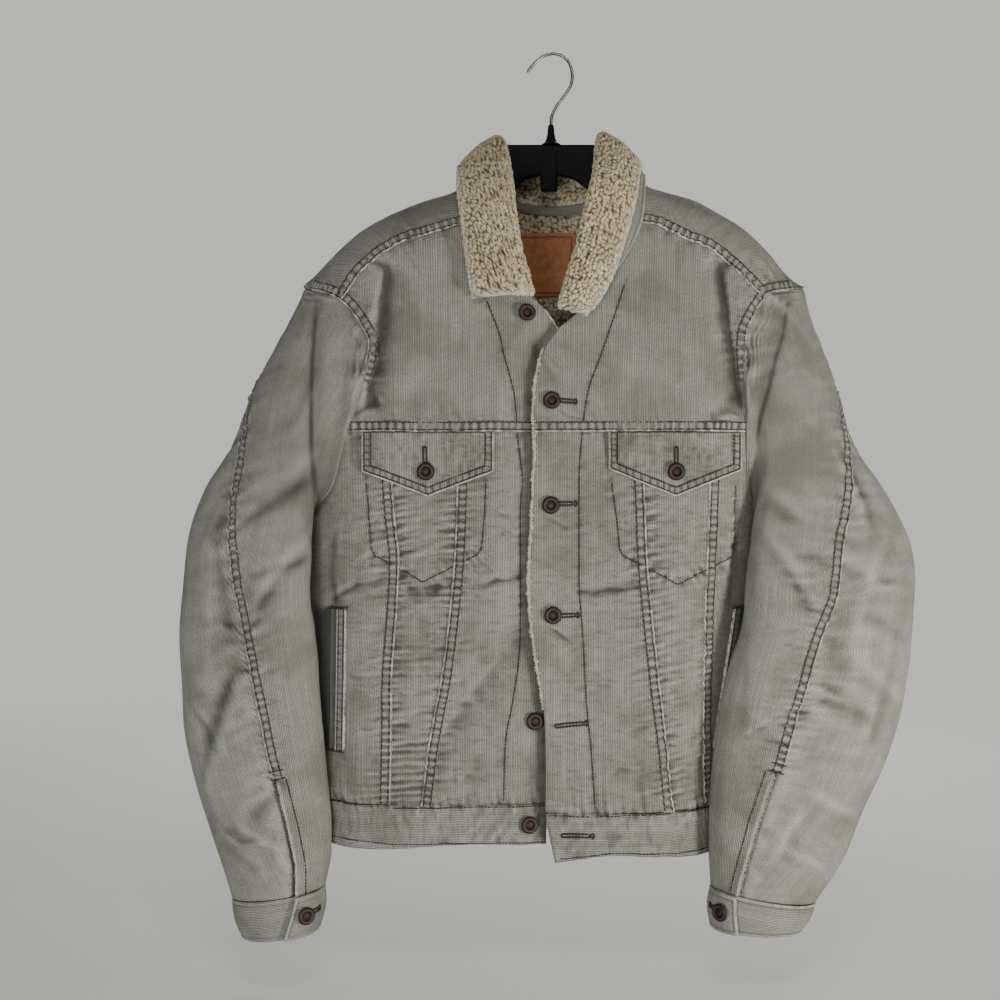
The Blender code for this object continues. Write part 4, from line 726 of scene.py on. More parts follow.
def corduroy_finish():
    """Needlecord, washed out and worn white on its ridges, with painted shade in its hollows and grooves and
    a painted highlight on its crumples.
    """
    finish = Finish("needlecord", Roughness=0.92, Specular_IOR_Level=0.15, Sheen_Weight=0.04,
                    Sheen_Roughness=0.6)
    across, _, both = finish.cut()
    place = finish.place()
    wander = finish.noise(finish.stretched(both, 40.0, 14.0), 1.0, 1.0)
    rib = (across * (1000 / WALE) + wander * 0.5).wave()
    height = rib ** 0.8
    streak = finish.noise(finish.stretched(both, 420.0, 9.0), 1.0, 3.0, 0.65)
    fleck = finish.noise(finish.stretched(both, 1300.0, 420.0), 1.0, 2.0)
    cloud = finish.noise(place, 16.0, 3.0, 0.55)
    patch = finish.noise(place, 55.0, 2.0)
    light = streak.ramp(0.36, 0.70) * 0.6 + cloud.ramp(0.35, 0.7) * 0.35 + patch.ramp(0.4, 0.7) * 0.2
    colour = finish.mix(light.clamp(), CORD_MID, CORD_LIGHT)
    colour = finish.mix((cloud.ramp(0.55, 0.35) * 0.45).clamp(), colour, CORD_STAIN)
    drawn = finish.mark("drawn")
    crumple = finish.noise(finish.stretched(both, 70.0, 210.0), 1.0, 3.0, 0.6).ramp(0.32, 0.68)
    # Painted shade in the low parts of the crumples and a painted highlight on their crests, where sewing
    # draws the cloth.
    colour = finish.mix((crumple.ramp(0.35, 0.0) * drawn * 0.7).clamp(), colour, CORD_PAINTED_SHADE)
    colour = finish.mix((crumple.ramp(0.7, 1.0) * drawn * 0.5).clamp(), colour, CORD_LIGHT)
    # Painted shade in the grooves between the ribs, with random dark flecks of pile.
    groove = (1.0 - height) * 0.98 + fleck.ramp(0.62, 0.3) * 0.3
    colour = finish.mix(groove.clamp(), colour, CORD_PAINTED_SHADE)
    # Painted shade from the shade mark: in creases, hollows, the puckers of seams and pocket openings.
    deep = finish.mark("shade") * (0.75 + 0.5 * patch)
    colour = finish.mix(deep.clamp(), colour, CORD_PAINTED_SHADE)
    worn = finish.mark("wear") * (0.35 + 1.1 * fleck.ramp(0.3, 0.6)) * (0.5 + 0.5 * height)
    colour = finish.mix(worn.clamp(), colour, CORD_WORN)
    relief = height * 0.8 + fleck * 0.3 + crumple * drawn * 3.4
    finish.feed(Base_Color=colour, Normal=finish.bump(relief, 0.00042, 0.8))
    return finish.material


# Colours of the fleece: its tips, its brown tone and the painted shade between its curls.
SHERPA_TIP = (0.86, 0.74, 0.48)
SHERPA_MID = (0.50, 0.40, 0.23)
SHERPA_PAINTED_SHADE = (0.055, 0.038, 0.022)


def sherpa_finish(name, grey=0.0):
    """Curly fleece: pale tips and brown tones, with painted shade between the curls. grey moves it to the
    duller lining.
    """
    finish = Finish(name, Roughness=1.0, Specular_IOR_Level=0.1, Sheen_Weight=0.25, Sheen_Roughness=0.5)
    place = finish.place()
    deep = finish.mark("shade")
    fibre = finish.noise(place, 900.0, 3.0, 0.7)
    curl = finish.noise(place, 420.0, 2.0, 0.6)
    cloud = finish.noise(place, 30.0, 2.0)
    dull = tuple(a * (1 - grey) + b * grey for a, b in zip(SHERPA_TIP, (0.40, 0.40, 0.33)))
    colour = finish.mix(cloud.ramp(0.4, 0.65) * 0.35, dull, SHERPA_MID)
    # Painted shade between the curls, from the shade mark.
    colour = finish.mix((deep * (0.8 + 0.6 * curl)).clamp(), colour, SHERPA_PAINTED_SHADE)
    colour = finish.mix(fibre.ramp(0.62, 0.35) * 0.35, colour, SHERPA_MID)
    colour = finish.mix((finish.mark("wear") * 0.8).clamp(), colour, (0.86, 0.80, 0.62))
    finish.feed(Base_Color=colour, Normal=finish.bump(fibre * 0.5 + curl, 0.0011, 0.8))
    return finish.material


def thread_finish():
    """Dark olive sewing thread with its twist."""
    finish = Finish("thread", Roughness=0.7, Specular_IOR_Level=0.3)
    twist = finish.noise(finish.place(), 1500.0, 1.0)
    colour = finish.mix(twist, (0.018, 0.019, 0.012), (0.055, 0.055, 0.040))
    finish.feed(Base_Color=colour, Normal=finish.bump(twist, 0.0002))
    return finish.material


def button_finish():
    """Antique copper, rubbed bright on its rims and dark in its hollows."""
    finish = Finish("antique_copper", Metallic=0.75, Specular_IOR_Level=0.5)
    grain = finish.noise(finish.place(), 900.0, 4.0, 0.7)
    colour = finish.mix(grain.ramp(0.3, 0.7), (0.036, 0.025, 0.022), (0.070, 0.047, 0.041))
    colour = finish.mix((finish.mark("wear") * grain.ramp(0.25, 0.6)).clamp(), colour, (0.14, 0.105, 0.092))
    colour = finish.mix(finish.mark("shade").clamp(), colour, (0.030, 0.016, 0.013))
    finish.feed(Base_Color=colour, Roughness=0.46 + 0.3 * grain, Normal=finish.bump(grain, 0.00025, 0.6))
    return finish.material


def plastic_finish():
    """Black moulded plastic with a faint grain."""
    finish = Finish("black_plastic", Specular_IOR_Level=0.12)
    place = finish.place()
    grain = finish.noise(place, 800.0, 3.0, 0.6)
    smear = finish.noise(place, 40.0, 2.0)
    colour = finish.mix(smear, (0.004, 0.004, 0.0045), (0.010, 0.010, 0.011))
    finish.feed(Base_Color=colour, Roughness=0.42 + 0.25 * smear, Normal=finish.bump(grain, 0.00015, 0.5))
    return finish.material


def steel_finish():
    """Bright drawn steel wire."""
    finish = Finish("steel_wire", Metallic=1.0)
    drawn = finish.noise(finish.place(), 500.0, 3.0)
    colour = finish.mix(drawn, (0.17, 0.17, 0.165), (0.30, 0.30, 0.29))
    finish.feed(Base_Color=colour, Roughness=0.24 + 0.2 * drawn)
    return finish.material


def label_finish():
    """Woven label: orange-brown ground with a fine rib and a darker woven border."""
    finish = Finish("woven_label", Roughness=0.75, Sheen_Weight=0.2)
    across, along, both = finish.cut()
    rib = (across * 2200.0).wave() * 0.5 + (along * 1700.0).wave() * 0.5
    patch = finish.noise(both, 130.0, 3.0)
    colour = finish.mix(patch.ramp(0.35, 0.7), (0.56, 0.20, 0.080), (0.68, 0.29, 0.12))
    colour = finish.mix((1.0 - rib) * 0.35, colour, (0.22, 0.08, 0.04))
    colour = finish.mix(finish.mark("shade").clamp(), colour, (0.17, 0.035, 0.025))
    finish.feed(Base_Color=colour, Normal=finish.bump(rib, 0.0002))
    return finish.material


def tape_finish():
    """Herringbone neck tape, grey-olive."""
    finish = Finish("neck_tape", Roughness=0.85)
    across, along, both = finish.cut()
    rib = (across * 900.0 + along * 900.0).wave()
    patch = finish.noise(both, 200.0, 2.0)
    colour = finish.mix(patch, (0.20, 0.20, 0.155), (0.33, 0.33, 0.27))
    colour = finish.mix((1.0 - rib) * 0.4, colour, (0.09, 0.09, 0.07))
    finish.feed(Base_Color=colour, Normal=finish.bump(rib, 0.0003))
    return finish.material


def quilt_finish():
    """Smooth dark lining of the sleeves."""
    finish = Finish("sleeve_lining", Roughness=0.45, Sheen_Weight=0.3)
    across, along, both = finish.cut()
    weave = (across * 1800.0).wave() * 0.5 + (along * 1800.0).wave() * 0.5
    patch = finish.noise(both, 60.0, 3.0)
    colour = finish.mix(patch, (0.060, 0.062, 0.052), (0.098, 0.100, 0.085))
    finish.feed(Base_Color=colour, Normal=finish.bump(weave, 0.0001))
    return finish.material


FINISHES = {                # finish: its material and its slot
    "corduroy": (corduroy_finish(), "corduroy"),
    "sherpa": (sherpa_finish("sherpa_fleece"), "sherpa"),
    "lining": (sherpa_finish("sherpa_lining", 0.45), "sherpa"),
    "thread": (thread_finish(), "corduroy"),
    "button": (button_finish(), "button"),
    "plastic": (plastic_finish(), "plastic"),
    "wire": (steel_finish(), "wire"),
    "label": (label_finish(), "label"),
    "tape": (tape_finish(), "label"),
    "quilt": (quilt_finish(), "sherpa"),
}
MADE = {}                   # cloth pieces by node: the piece, its grid and which of its cells are kept


# ---------------------------------------------------------------- meshes
def add_piece(name, points, faces, finish, cut=None, node=None, **marks):
    """Makes one visible piece from points in millimetres and faces of 3 or 4 corners."""
    mesh = bpy.data.meshes.new(name)
    points = np.asarray(points, float)
    groups = faces if isinstance(faces, list) else [faces]
    faces = [np.asarray(group, np.int32) for group in groups if len(group)]
    corners = np.concatenate([group.ravel() for group in faces])
    sizes = np.concatenate([np.full(len(group), group.shape[1], np.int32) for group in faces])
    mesh.vertices.add(len(points))
    mesh.vertices.foreach_set("co", (points * MM).ravel())
    mesh.loops.add(len(corners))
    mesh.loops.foreach_set("vertex_index", corners)
    mesh.polygons.add(len(sizes))
    mesh.polygons.foreach_set("loop_start", np.r_[0, np.cumsum(sizes)[:-1]].astype(np.int32))
    mesh.polygons.foreach_set("use_smooth", np.ones(len(sizes), bool))
    mesh.update(calc_edges=True)
    if cut is not None:
        layer = mesh.uv_layers.new(name="cut")
        layer.uv.foreach_set("vector", (np.asarray(cut)[corners] * MM).ravel().astype(np.float32))
    for mark, values in marks.items():
        stored = mesh.attributes.new(mark, "FLOAT", "POINT")
        stored.data.foreach_set("value", np.asarray(values, np.float32).ravel())
    mesh.validate()
    material, slot = FINISHES[finish]
    mesh.materials.append(material)
    made = bpy.data.objects.new(name, mesh)
    bpy.context.scene.collection.objects.link(made)
    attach(made, "root")
    if node:
        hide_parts(node)
    return made


def add_shell(name, outer, inner, faces, finish, cut=None, node=None, **marks):
    """Makes a closed shell from two grids; each mark has its values outside and inside."""
    points = np.concatenate([outer.reshape(-1, 3), inner.reshape(-1, 3)])
    used = np.unique(np.concatenate([group.ravel() for group in faces]))
    renumber = np.zeros(len(points), np.int32)
    renumber[used] = np.arange(len(used))
    marks = {
        mark: np.concatenate([np.broadcast_to(values, outer.shape[:2]).ravel() for values in both])[used]
        for mark, both in marks.items()
    }
    if cut is not None:
        cut = np.concatenate([cut.reshape(-1, 2)] * 2)[used]
    return add_piece(name, points[used], [renumber[group] for group in faces], finish, cut, node, **marks)


def coarse_faces(index):
    """Quads and triangles of a grid seen from behind, twice as coarse as the grid but for its border."""
    a, b, c, d = index[:-2:2, :-2:2], index[2::2, :-2:2], index[2::2, 2::2], index[:-2:2, 2::2]
    centre = index[1::2, 1::2]
    left, below, right, above = (np.zeros(a.shape, bool) for _ in range(4))
    left[:, 0] = below[-1] = right[:, -1] = above[0] = True
    at_border = left | below | right | above
    triangles = []
    for split, start, end, between in (
        (left, a, b, index[1::2, :-2:2]), (below, b, c, index[2::2, 1::2]),
        (right, c, d, index[1::2, 2::2]), (above, d, a, index[:-2:2, 1::2]),
    ):
        triangles.append(np.stack([between, start, centre], -1)[split])
        triangles.append(np.stack([end, between, centre], -1)[split])
        triangles.append(np.stack([end, start, centre], -1)[at_border & ~split])
    return np.stack([d, c, b, a], -1)[~at_border], np.concatenate(triangles)


def shell_faces(rows, columns, keep=None):
    """Quads and triangles of a closed shell whose outer grid comes first and whose inner grid follows."""
    index = np.arange(rows * columns).reshape(rows, columns)
    inner = rows * columns
    a, b, c, d = index[:-1, :-1], index[1:, :-1], index[1:, 1:], index[:-1, 1:]
    coarse = keep is None and rows % 2 and columns % 2 and min(rows, columns) > 4
    keep = np.ones((rows - 1, columns - 1), bool) if keep is None else keep
    behind, triangles = coarse_faces(index + inner) if coarse else (
        np.stack([d, c, b, a], -1)[keep] + inner, np.zeros((0, 3), int))
    groups = [np.stack([a, b, c, d], -1)[keep], behind]
    beyond = np.pad(keep, 1)
    for start, end, inside in (
        (a, b, beyond[1:-1, :-2]), (b, c, beyond[2:, 1:-1]),
        (c, d, beyond[1:-1, 2:]), (d, a, beyond[:-2, 1:-1]),
    ):
        groups.append(np.stack([start, start + inner, end + inner, end], -1)[keep & ~inside])
    return [np.concatenate(groups), triangles]


def grid_lengths(grid):
    """Lengths along a grid's rows and down its columns, from the first point of each."""
    across = np.linalg.norm(np.diff(grid, axis=1), axis=-1)
    down = np.linalg.norm(np.diff(grid, axis=0), axis=-1)
    across = np.concatenate([np.zeros((len(grid), 1)), np.cumsum(across, 1)], 1)
    down = np.concatenate([np.zeros((1, grid.shape[1])), np.cumsum(down, 0)], 0)
    return across, down


def grid_area(grid, keep=None):
    """Area of a grid's cells, in square millimetres."""
    falling, climbing = grid[1:, 1:] - grid[:-1, :-1], grid[:-1, 1:] - grid[1:, :-1]
    cells = np.linalg.norm(np.cross(falling, climbing), axis=-1) / 2
    return float((cells if keep is None else cells[keep]).sum())


CAP_ROWS = 42           # of a sleeve's front, which lie in an arch when it is flat
SHORTEST = 0.0101       # side that is stated for a sheet, in metres


def declare_sheet(node, grid, keep):
    """Works out the cut of a sheet from its grid before folds and fur, its width below any arched rows;
    nothing more is done with it.
    """
    across, down = grid_lengths(grid)
    arched = CAP_ROWS if node in ("sleeve_left_front", "sleeve_right_front") else 0
    width, length = max(across[arched:, -1].max() * MM, SHORTEST), max(down[-1].max() * MM, SHORTEST)
    area = min(grid_area(grid, keep) * MM * MM, width * length)
    ["hanger_body"] if node == "back_yoke" else []


def cloth(node, outer, normal, wall, finish="corduroy", cut=None, keep=None, relief=0.0, wear=0.0, shade=0.0,
          drawn=0.15, lining=None, flip=False):
    """A closed shell of cloth on a grid of points, whose outside is lifted by relief.

    flip turns a grid round that runs the wrong way for its normals.
    """
    rows, columns = outer.shape[:2]
    relief, wear, shade, drawn = (
        np.broadcast_to(values, (rows, columns)) for values in (relief, wear, shade, drawn)
    )
    if flip:
        outer, normal, cut, relief, wear, shade, drawn = (
            grid[:, ::-1] for grid in (outer, normal, cut, relief, wear, shade, drawn)
        )
        keep = None if keep is None else keep[:, ::-1]
    relief = relief[..., None]
    lifted = outer + normal * relief
    if finish == "corduroy" and min(rows, columns) > 20:
        # Raised spots of the cloth wear pale; its hollows, small and broad, get painted shade.
        near, far = (bulges(lifted, normal, step) for step in (2, 7))
        wear = wear + 0.42 * np.clip(near - 0.2, 0, 1)
        shade = np.clip(shade + 0.6 * np.clip(-near - 0.08, 0, 1) + 0.2 * np.clip(-far, 0, 3), 0, 1)
    inside = outer + normal * (np.minimum(relief, 0) - wall)
    faces = shell_faces(rows, columns, keep)
    made = add_shell(f"{node}_cloth", lifted, inside, faces, finish, cut, node,
                     wear=(wear, wear), shade=(shade, shade), drawn=(drawn, drawn))
    if lining:
        made.data.materials.append(FINISHES[lining][0])
        inner = np.concatenate([np.all(group >= rows * columns, axis=1) for group in faces])
        made.data.polygons.foreach_set("material_index", inner.astype(np.int32))
    MADE[node] = (made, outer, keep)


def tube(grid):
    """Points and faces of a closed tube: rows are its sections, each closed on itself, with flat ends."""
    rows, columns = grid.shape[:2]
    index = np.arange(rows * columns).reshape(rows, columns)
    after = np.roll(index, -1, axis=1)
    faces = np.stack([index[:-1], after[:-1], after[1:], index[1:]], -1).reshape(-1, 4)
    points = np.concatenate([grid.reshape(-1, 3), grid[0].mean(0)[None], grid[-1].mean(0)[None]])
    caps = [
        np.stack([after[0], index[0], np.full(columns, rows * columns)], -1),
        np.stack([index[-1], after[-1], np.full(columns, rows * columns + 1)], -1),
    ]
    return points, [faces, np.concatenate(caps)]


# ---------------------------------------------------------------- sewing
BODY_FACES = (FRONT, FRONT_SUNK, BACK)
STITCH = 3.3                        # from one stitch to the next
STITCH_HALVES = (2.25, 0.72, 0.46)  # half the length, width and height of a stitch
THREAD = {}                         # stitches by the group of thread they belong to


class Seam:
    """A line of sewing on a surface, with the puckers that it draws up in the cloth.

    Offsets are measured to the right of a line that runs down, and above one that runs to the right.
    period is the length of a pucker, pull the strength of the puckers and reach how far they run aside.
    """

    PITCH = 1.5

    def __init__(self, surface, knots, seed, period=7.4, pull=1.0, reach=12.0):
        self.surface, self.seed, self.period, self.pull, self.reach = surface, seed, period, pull, reach
        knots = np.array(knots, float)
        numbered = np.c_[np.arange(len(knots)), knots]
        dense = np.linspace(0, len(knots) - 1, 60 * (len(knots) - 1) + 1)
        u, v = read(numbered, dense, 1), read(numbered, dense, 2)
        length = run_length(surface.place(u, v))
        count = max(int(length[-1] / self.PITCH), 4)
        self.length = np.linspace(0, length[-1], count + 1)
        self.u, self.v = np.interp(self.length, length, u), np.interp(self.length, length, v)
        self.points = surface.place(self.u, self.v)
        self.along = unit(np.gradient(self.points, axis=0))
        self.normal = surface.normal(*self.on_form())
        self.side = unit(np.cross(self.normal, self.along))
        self.step_u, self.step_v = self.steps_to(self.side)

    def on_form(self):
        """The line's u and v, on the body kept a little inside its outline."""
        return inside_form(self.surface, self.u, self.v) if self.surface in BODY_FACES else (self.u, self.v)

    def steps_to(self, direction):
        """Steps of u and v that move a point by 1 mm in a direction on the surface."""
        across, down = self.surface.slopes(*self.on_form())
        aa, ab, bb = (across * across).sum(-1), (across * down).sum(-1), (down * down).sum(-1)
        pa, pb = (across * direction).sum(-1), (down * direction).sum(-1)
        scale = np.maximum(aa * bb - ab * ab, 1e-6)
        return (pa * bb - pb * ab) / scale, (pb * aa - pa * ab) / scale

    def wave(self, length, low, spread):
        """The uneven wave of the puckers, from -1 to 1, and how strong they are."""
        warp = 0.42 * noise(length, 0 * length, 19, self.seed)
        size = low + spread * noise(length, 0 * length + 9, 31, self.seed + 1)
        return np.sin(2 * math.pi * (length / self.period + warp)), size

    def ripple(self, length):
        """The ladder of puckers, from -1 to 1."""
        wave, size = self.wave(length, 0.62, 0.38)
        return wave * size

    def rung(self, length):
        """The narrow hollows of the ladder, from 0 to 1."""
        wave, size = self.wave(length, 0.75, 0.35)
        return (0.5 - 0.5 * wave) ** 4 * size

    def at(self, length, offset, lift):
        """Points at lengths along the line, offset to its side and lifted off the cloth."""
        length, offset, lift = np.broadcast_arrays(length, offset, lift)

        def along(values):
            return np.interp(length, self.length, values)

        u = along(self.u) + along(self.step_u) * offset
        v = along(self.v) + along(self.step_v) * offset
        normal = unit(points_along(length, self.length, self.normal))
        return self.surface.place(u, v) + normal * lift[..., None], normal

    def near(self, points):
        """Distance of points from the line, below 0 on its other side, and place along it."""
        flat = points.reshape(-1, 3)
        away = np.full(len(flat), 1e3)
        length = np.zeros(len(flat))
        low, high = self.points.min(0) - 40, self.points.max(0) + 40
        close = np.flatnonzero(np.all((flat > low) & (flat < high), axis=1))
        sparse = slice(None, None, 3)
        spots, ways, lengths = self.points[sparse], self.along[sparse], self.length[sparse]
        for part in np.array_split(close, len(close) // 8000 + 1):
            if not len(part):
                continue
            gap = ((flat[part, None, :] - spots[None]) ** 2).sum(-1)
            best = gap.argmin(1)
            offset = flat[part] - spots[best]
            along = np.clip((offset * ways[best]).sum(-1), -6, 6)
            aside = np.sign((offset * self.side[sparse][best]).sum(-1))
            away[part] = np.linalg.norm(offset - ways[best] * along[:, None], axis=-1) * aside
            length[part] = lengths[best] + along
        return away.reshape(points.shape[:-1]), length.reshape(points.shape[:-1])


RIPPLE_LIFT = 1.3           # of the puckers across a seam
CREASE_LIFT = 1.9           # of the creases that run out of it
CREASE_REACH = 22
SEAM_DIP = (0.7, 4.5)       # how deep the sewing pulls the cloth in, and how wide
SEAM_DARK = (0.34, 1.8)     # how dark it is beside the sewing, and how wide


def sewn(points, seams):
    """Relief that lines of sewing give the cloth round them, the shade painted in the hollows of their
    puckers with a dark line along each seam, and how far they crumple it.
    """
    relief, shade, drawn = (np.zeros(points.shape[:-1]) for _ in range(3))
    for seam in seams:
        aside, length = seam.near(points)
        away = np.abs(aside)
        reach = seam.reach * (1 + 0.6 * noise(length, length * 0 + 5, 9, seam.seed + 9))
        ripple = seam.ripple(length + 0.12 * aside) * np.exp(-away / reach) * seam.pull
        crease = noise(aside * 0.24, length + 0.35 * aside, 6.8, seam.seed + 21)
        crease = crease * np.exp(-away / CREASE_REACH) * seam.pull
        dip = SEAM_DIP[0] * seam.pull * hump(away, SEAM_DIP[1])
        relief += RIPPLE_LIFT * ripple + CREASE_LIFT * crease - dip
        # Painted shade in the puckers' hollows, and a dark line along the seam.
        shade += 0.25 * np.maximum(-ripple, 0) + SEAM_DARK[0] * hump(away, SEAM_DARK[1])
        drawn = np.maximum(drawn, np.exp(-away / (1.4 * reach)) * seam.pull)
    return relief, shade, drawn


def bulges(points, normal, step):
    """How far a grid of points stands out of its surroundings, a number of cells away."""
    wide = [(step, step), (step, step), (0, 0)]
    around = np.pad(points, wide, mode="reflect", reflect_type="odd")
    rows, columns = points.shape[:2]
    near = sum(
        around[step + down:step + down + rows, step + across:step + across + columns]
        for down, across in ((-step, 0), (step, 0), (0, -step), (0, step))
    )
    return ((points - near / 4) * normal).sum(-1)


def stitch_row(group, seam, offset, lift, start=0.0):
    """Collects one row of stitches along a seam; offset and lift may be functions of the length."""
    places = np.arange(start + STITCH / 2, seam.length[-1], STITCH)
    places = places + 0.25 * noise(places, places * 0, 1.7, seam.seed + 5)
    offsets, lifts = (
        value(places) if callable(value) else np.full(len(places), float(value)) for value in (offset, lift)
    )
    here, normal = seam.at(places, offsets, lifts)
    ahead, _ = seam.at(places + 0.6, offsets, lifts)
    behind, _ = seam.at(places - 0.6, offsets, lifts)
    THREAD.setdefault(group, []).append((here, unit(ahead - behind), normal))


def bar_tack(group, seam, place, start, end):
    """A short close bar of thread across a seam, from one offset to another."""
    offset = np.arange(start, end, 1.7)
    place = np.full(len(offset), float(place))
    here, normal = seam.at(place, offset, 1.1)
    ahead, _ = seam.at(place, offset + 0.5, 1.1)
    THREAD.setdefault(group, []).append((here, unit(ahead - here), normal))


def add_thread(group):
    """One mesh of all the stitches in a group, each a small spindle."""
    here, along, normal = (np.concatenate(rows) for rows in zip(*THREAD[group]))
    side = np.cross(normal, along)
    corners = []
    for way, half in zip((along, side, normal), STITCH_HALVES):
        corners += [here - way * half, here + way * half]
    pattern = np.array([
        (1, 3, 5), (3, 0, 5), (0, 2, 5), (2, 1, 5), (3, 1, 4), (0, 3, 4), (2, 0, 4), (1, 2, 4),
    ])
    faces = (np.arange(len(here))[:, None, None] * 6 + pattern[None]).reshape(-1, 3)
    return add_piece(f"stitches_{group}", np.stack(corners, 1).reshape(-1, 3), faces, "thread")


BAND = 10.6             # width of a double stitched seam
BAND_ROWS = (-8.6, -1.7)
BAND_OFFSETS = np.array([
    -10.6, -9.9, -9.2, -8.6, -8.0, -7.2, -6.2, -5.2, -4.2, -3.2, -2.4, -1.7, -1.1, -0.5, 0.1, 0.7, 1.3,
])


def between_rows(offset):
    """1 where the puckers of a band show, from one of its rows to the other, and 0 outside."""
    return eased((offset + 9.4) / 1.4) * (1 - eased((offset + 1.2) / 1.4))


def band_height(seam, length, offset):
    """Height of a double stitched band over the cloth; offset 0 is its folded edge."""
    flat = eased((offset + BAND) / 1.6) * (1 - eased((offset - 0.2) / 1.0))
    height = -0.55 + 1.35 * flat + 0.5 * hump(offset + 0.3, 0.8)
    for row in BAND_ROWS:
        height = height - 0.42 * hump(offset - row, 0.7)
    puckers = 0.45 * seam.ripple(length) - 0.75 * seam.rung(length)
    return height + puckers * between_rows(offset) + 0.16 * noise(length, offset, 3.0, seam.seed + 3)


def rise(seam, length, offset):
    """How far the sewing lifts the cloth beside a seam."""
    around = {name for names in AROUND.values() for name in names if seam in [SEAMS[one] for one in names]}
    points, _ = seam.at(length, offset, 0.0)
    height = sewn(points, [SEAMS[name] for name in sorted(around)] or [seam])[0]
    pressed = under_trim(points[..., 0], -points[..., 2]) & (seam.surface in (FRONT, FRONT_SUNK))
    return np.where(pressed, np.minimum(height, 0.2), height)


def band(name, seam, edge, group, worn, lap, start):
    """A double stitched seam: the folded cloth, its two rows of thread and the worn ridge of its fold.

    edge is 1 where the fold lies on the seam's positive side, -1 on the other; it laps over by lap.
    """
    length = np.arange(start, seam.length[-1] + 0.1, seam.PITCH)[:, None]
    offset = BAND_OFFSETS[None]
    height = band_height(seam, length, offset)
    points, _ = seam.at(length, offset * edge + lap, height + rise(seam, length, offset * edge + lap))
    uneven = 0.62 + 0.8 * noise(length, offset, 5.0, seam.seed + 7)
    wear = hump(offset + 0.15, 0.8) * uneven * worn
    wear = wear + 0.6 * np.maximum(seam.ripple(length), 0) ** 2 * between_rows(offset)
    # Painted shade in the rungs of the ladder and at the foot of the fold's edge; the rows are dark lines of
    # stitching.
    shade = 1.5 * seam.rung(length) * between_rows(offset)
    for row in BAND_ROWS:
        shade = shade + 0.9 * hump(offset - row, 0.85)
    shade = shade + 0.8 * hump(offset - 1.3, 0.5)
    length, offset = np.broadcast_arrays(length, offset)
    cut = np.stack([length * 0.35 + offset, offset * 0.4 - length], -1)
    if edge < 0:
        points, wear, shade, cut = (grid[:, ::-1] for grid in (points, wear, shade, cut))
    for row in BAND_ROWS:
        aside = row * edge + lap
        stitch_row(
            group, seam, aside,
            lambda at, row=row, aside=aside: band_height(seam, at, row) + rise(seam, at, aside) + 0.25, start)
    points, faces = tube(points[::-1])
    tail = np.zeros(2)
    return add_piece(
        name, points, faces, "corduroy", np.concatenate([cut[::-1].reshape(-1, 2), np.zeros((2, 2))]),
        wear=np.r_[wear[::-1].ravel(), tail], shade=np.r_[shade[::-1].ravel(), tail],
    )


# ---------------------------------------------------------------- the lines of sewing
def upright(column, end=742.0):
    """An upright seam of the front as places down it."""
    drops = np.linspace(386.0, end, 10)
    return np.c_[read(FRONT_SEAMS, drops, column), drops]


def armhole_knots(armhole, column, bottom):
    """An armhole seam on the body, from the shoulder down."""
    drops = np.linspace(armhole[0][0] + 3, bottom, 14)
    return np.c_[read(armhole, drops, column), drops]


def hem_knots(table):
    """The seam of a hem band, from left to right."""
    x = np.linspace(table[0][0] + 3, table[-1][0] - 3, 9)
    return np.c_[x, read(table, x)]


def straight(knots, per=6):
    """Knots with more between them, so that a smooth line through them keeps its corners."""
    result = [knots[0]]
    for (x0, y0), (x1, y1) in zip(knots, knots[1:]):
        for step in range(1, per + 1):
            result.append((x0 + (x1 - x0) * step / per, y0 + (y1 - y0) * step / per))
    return result


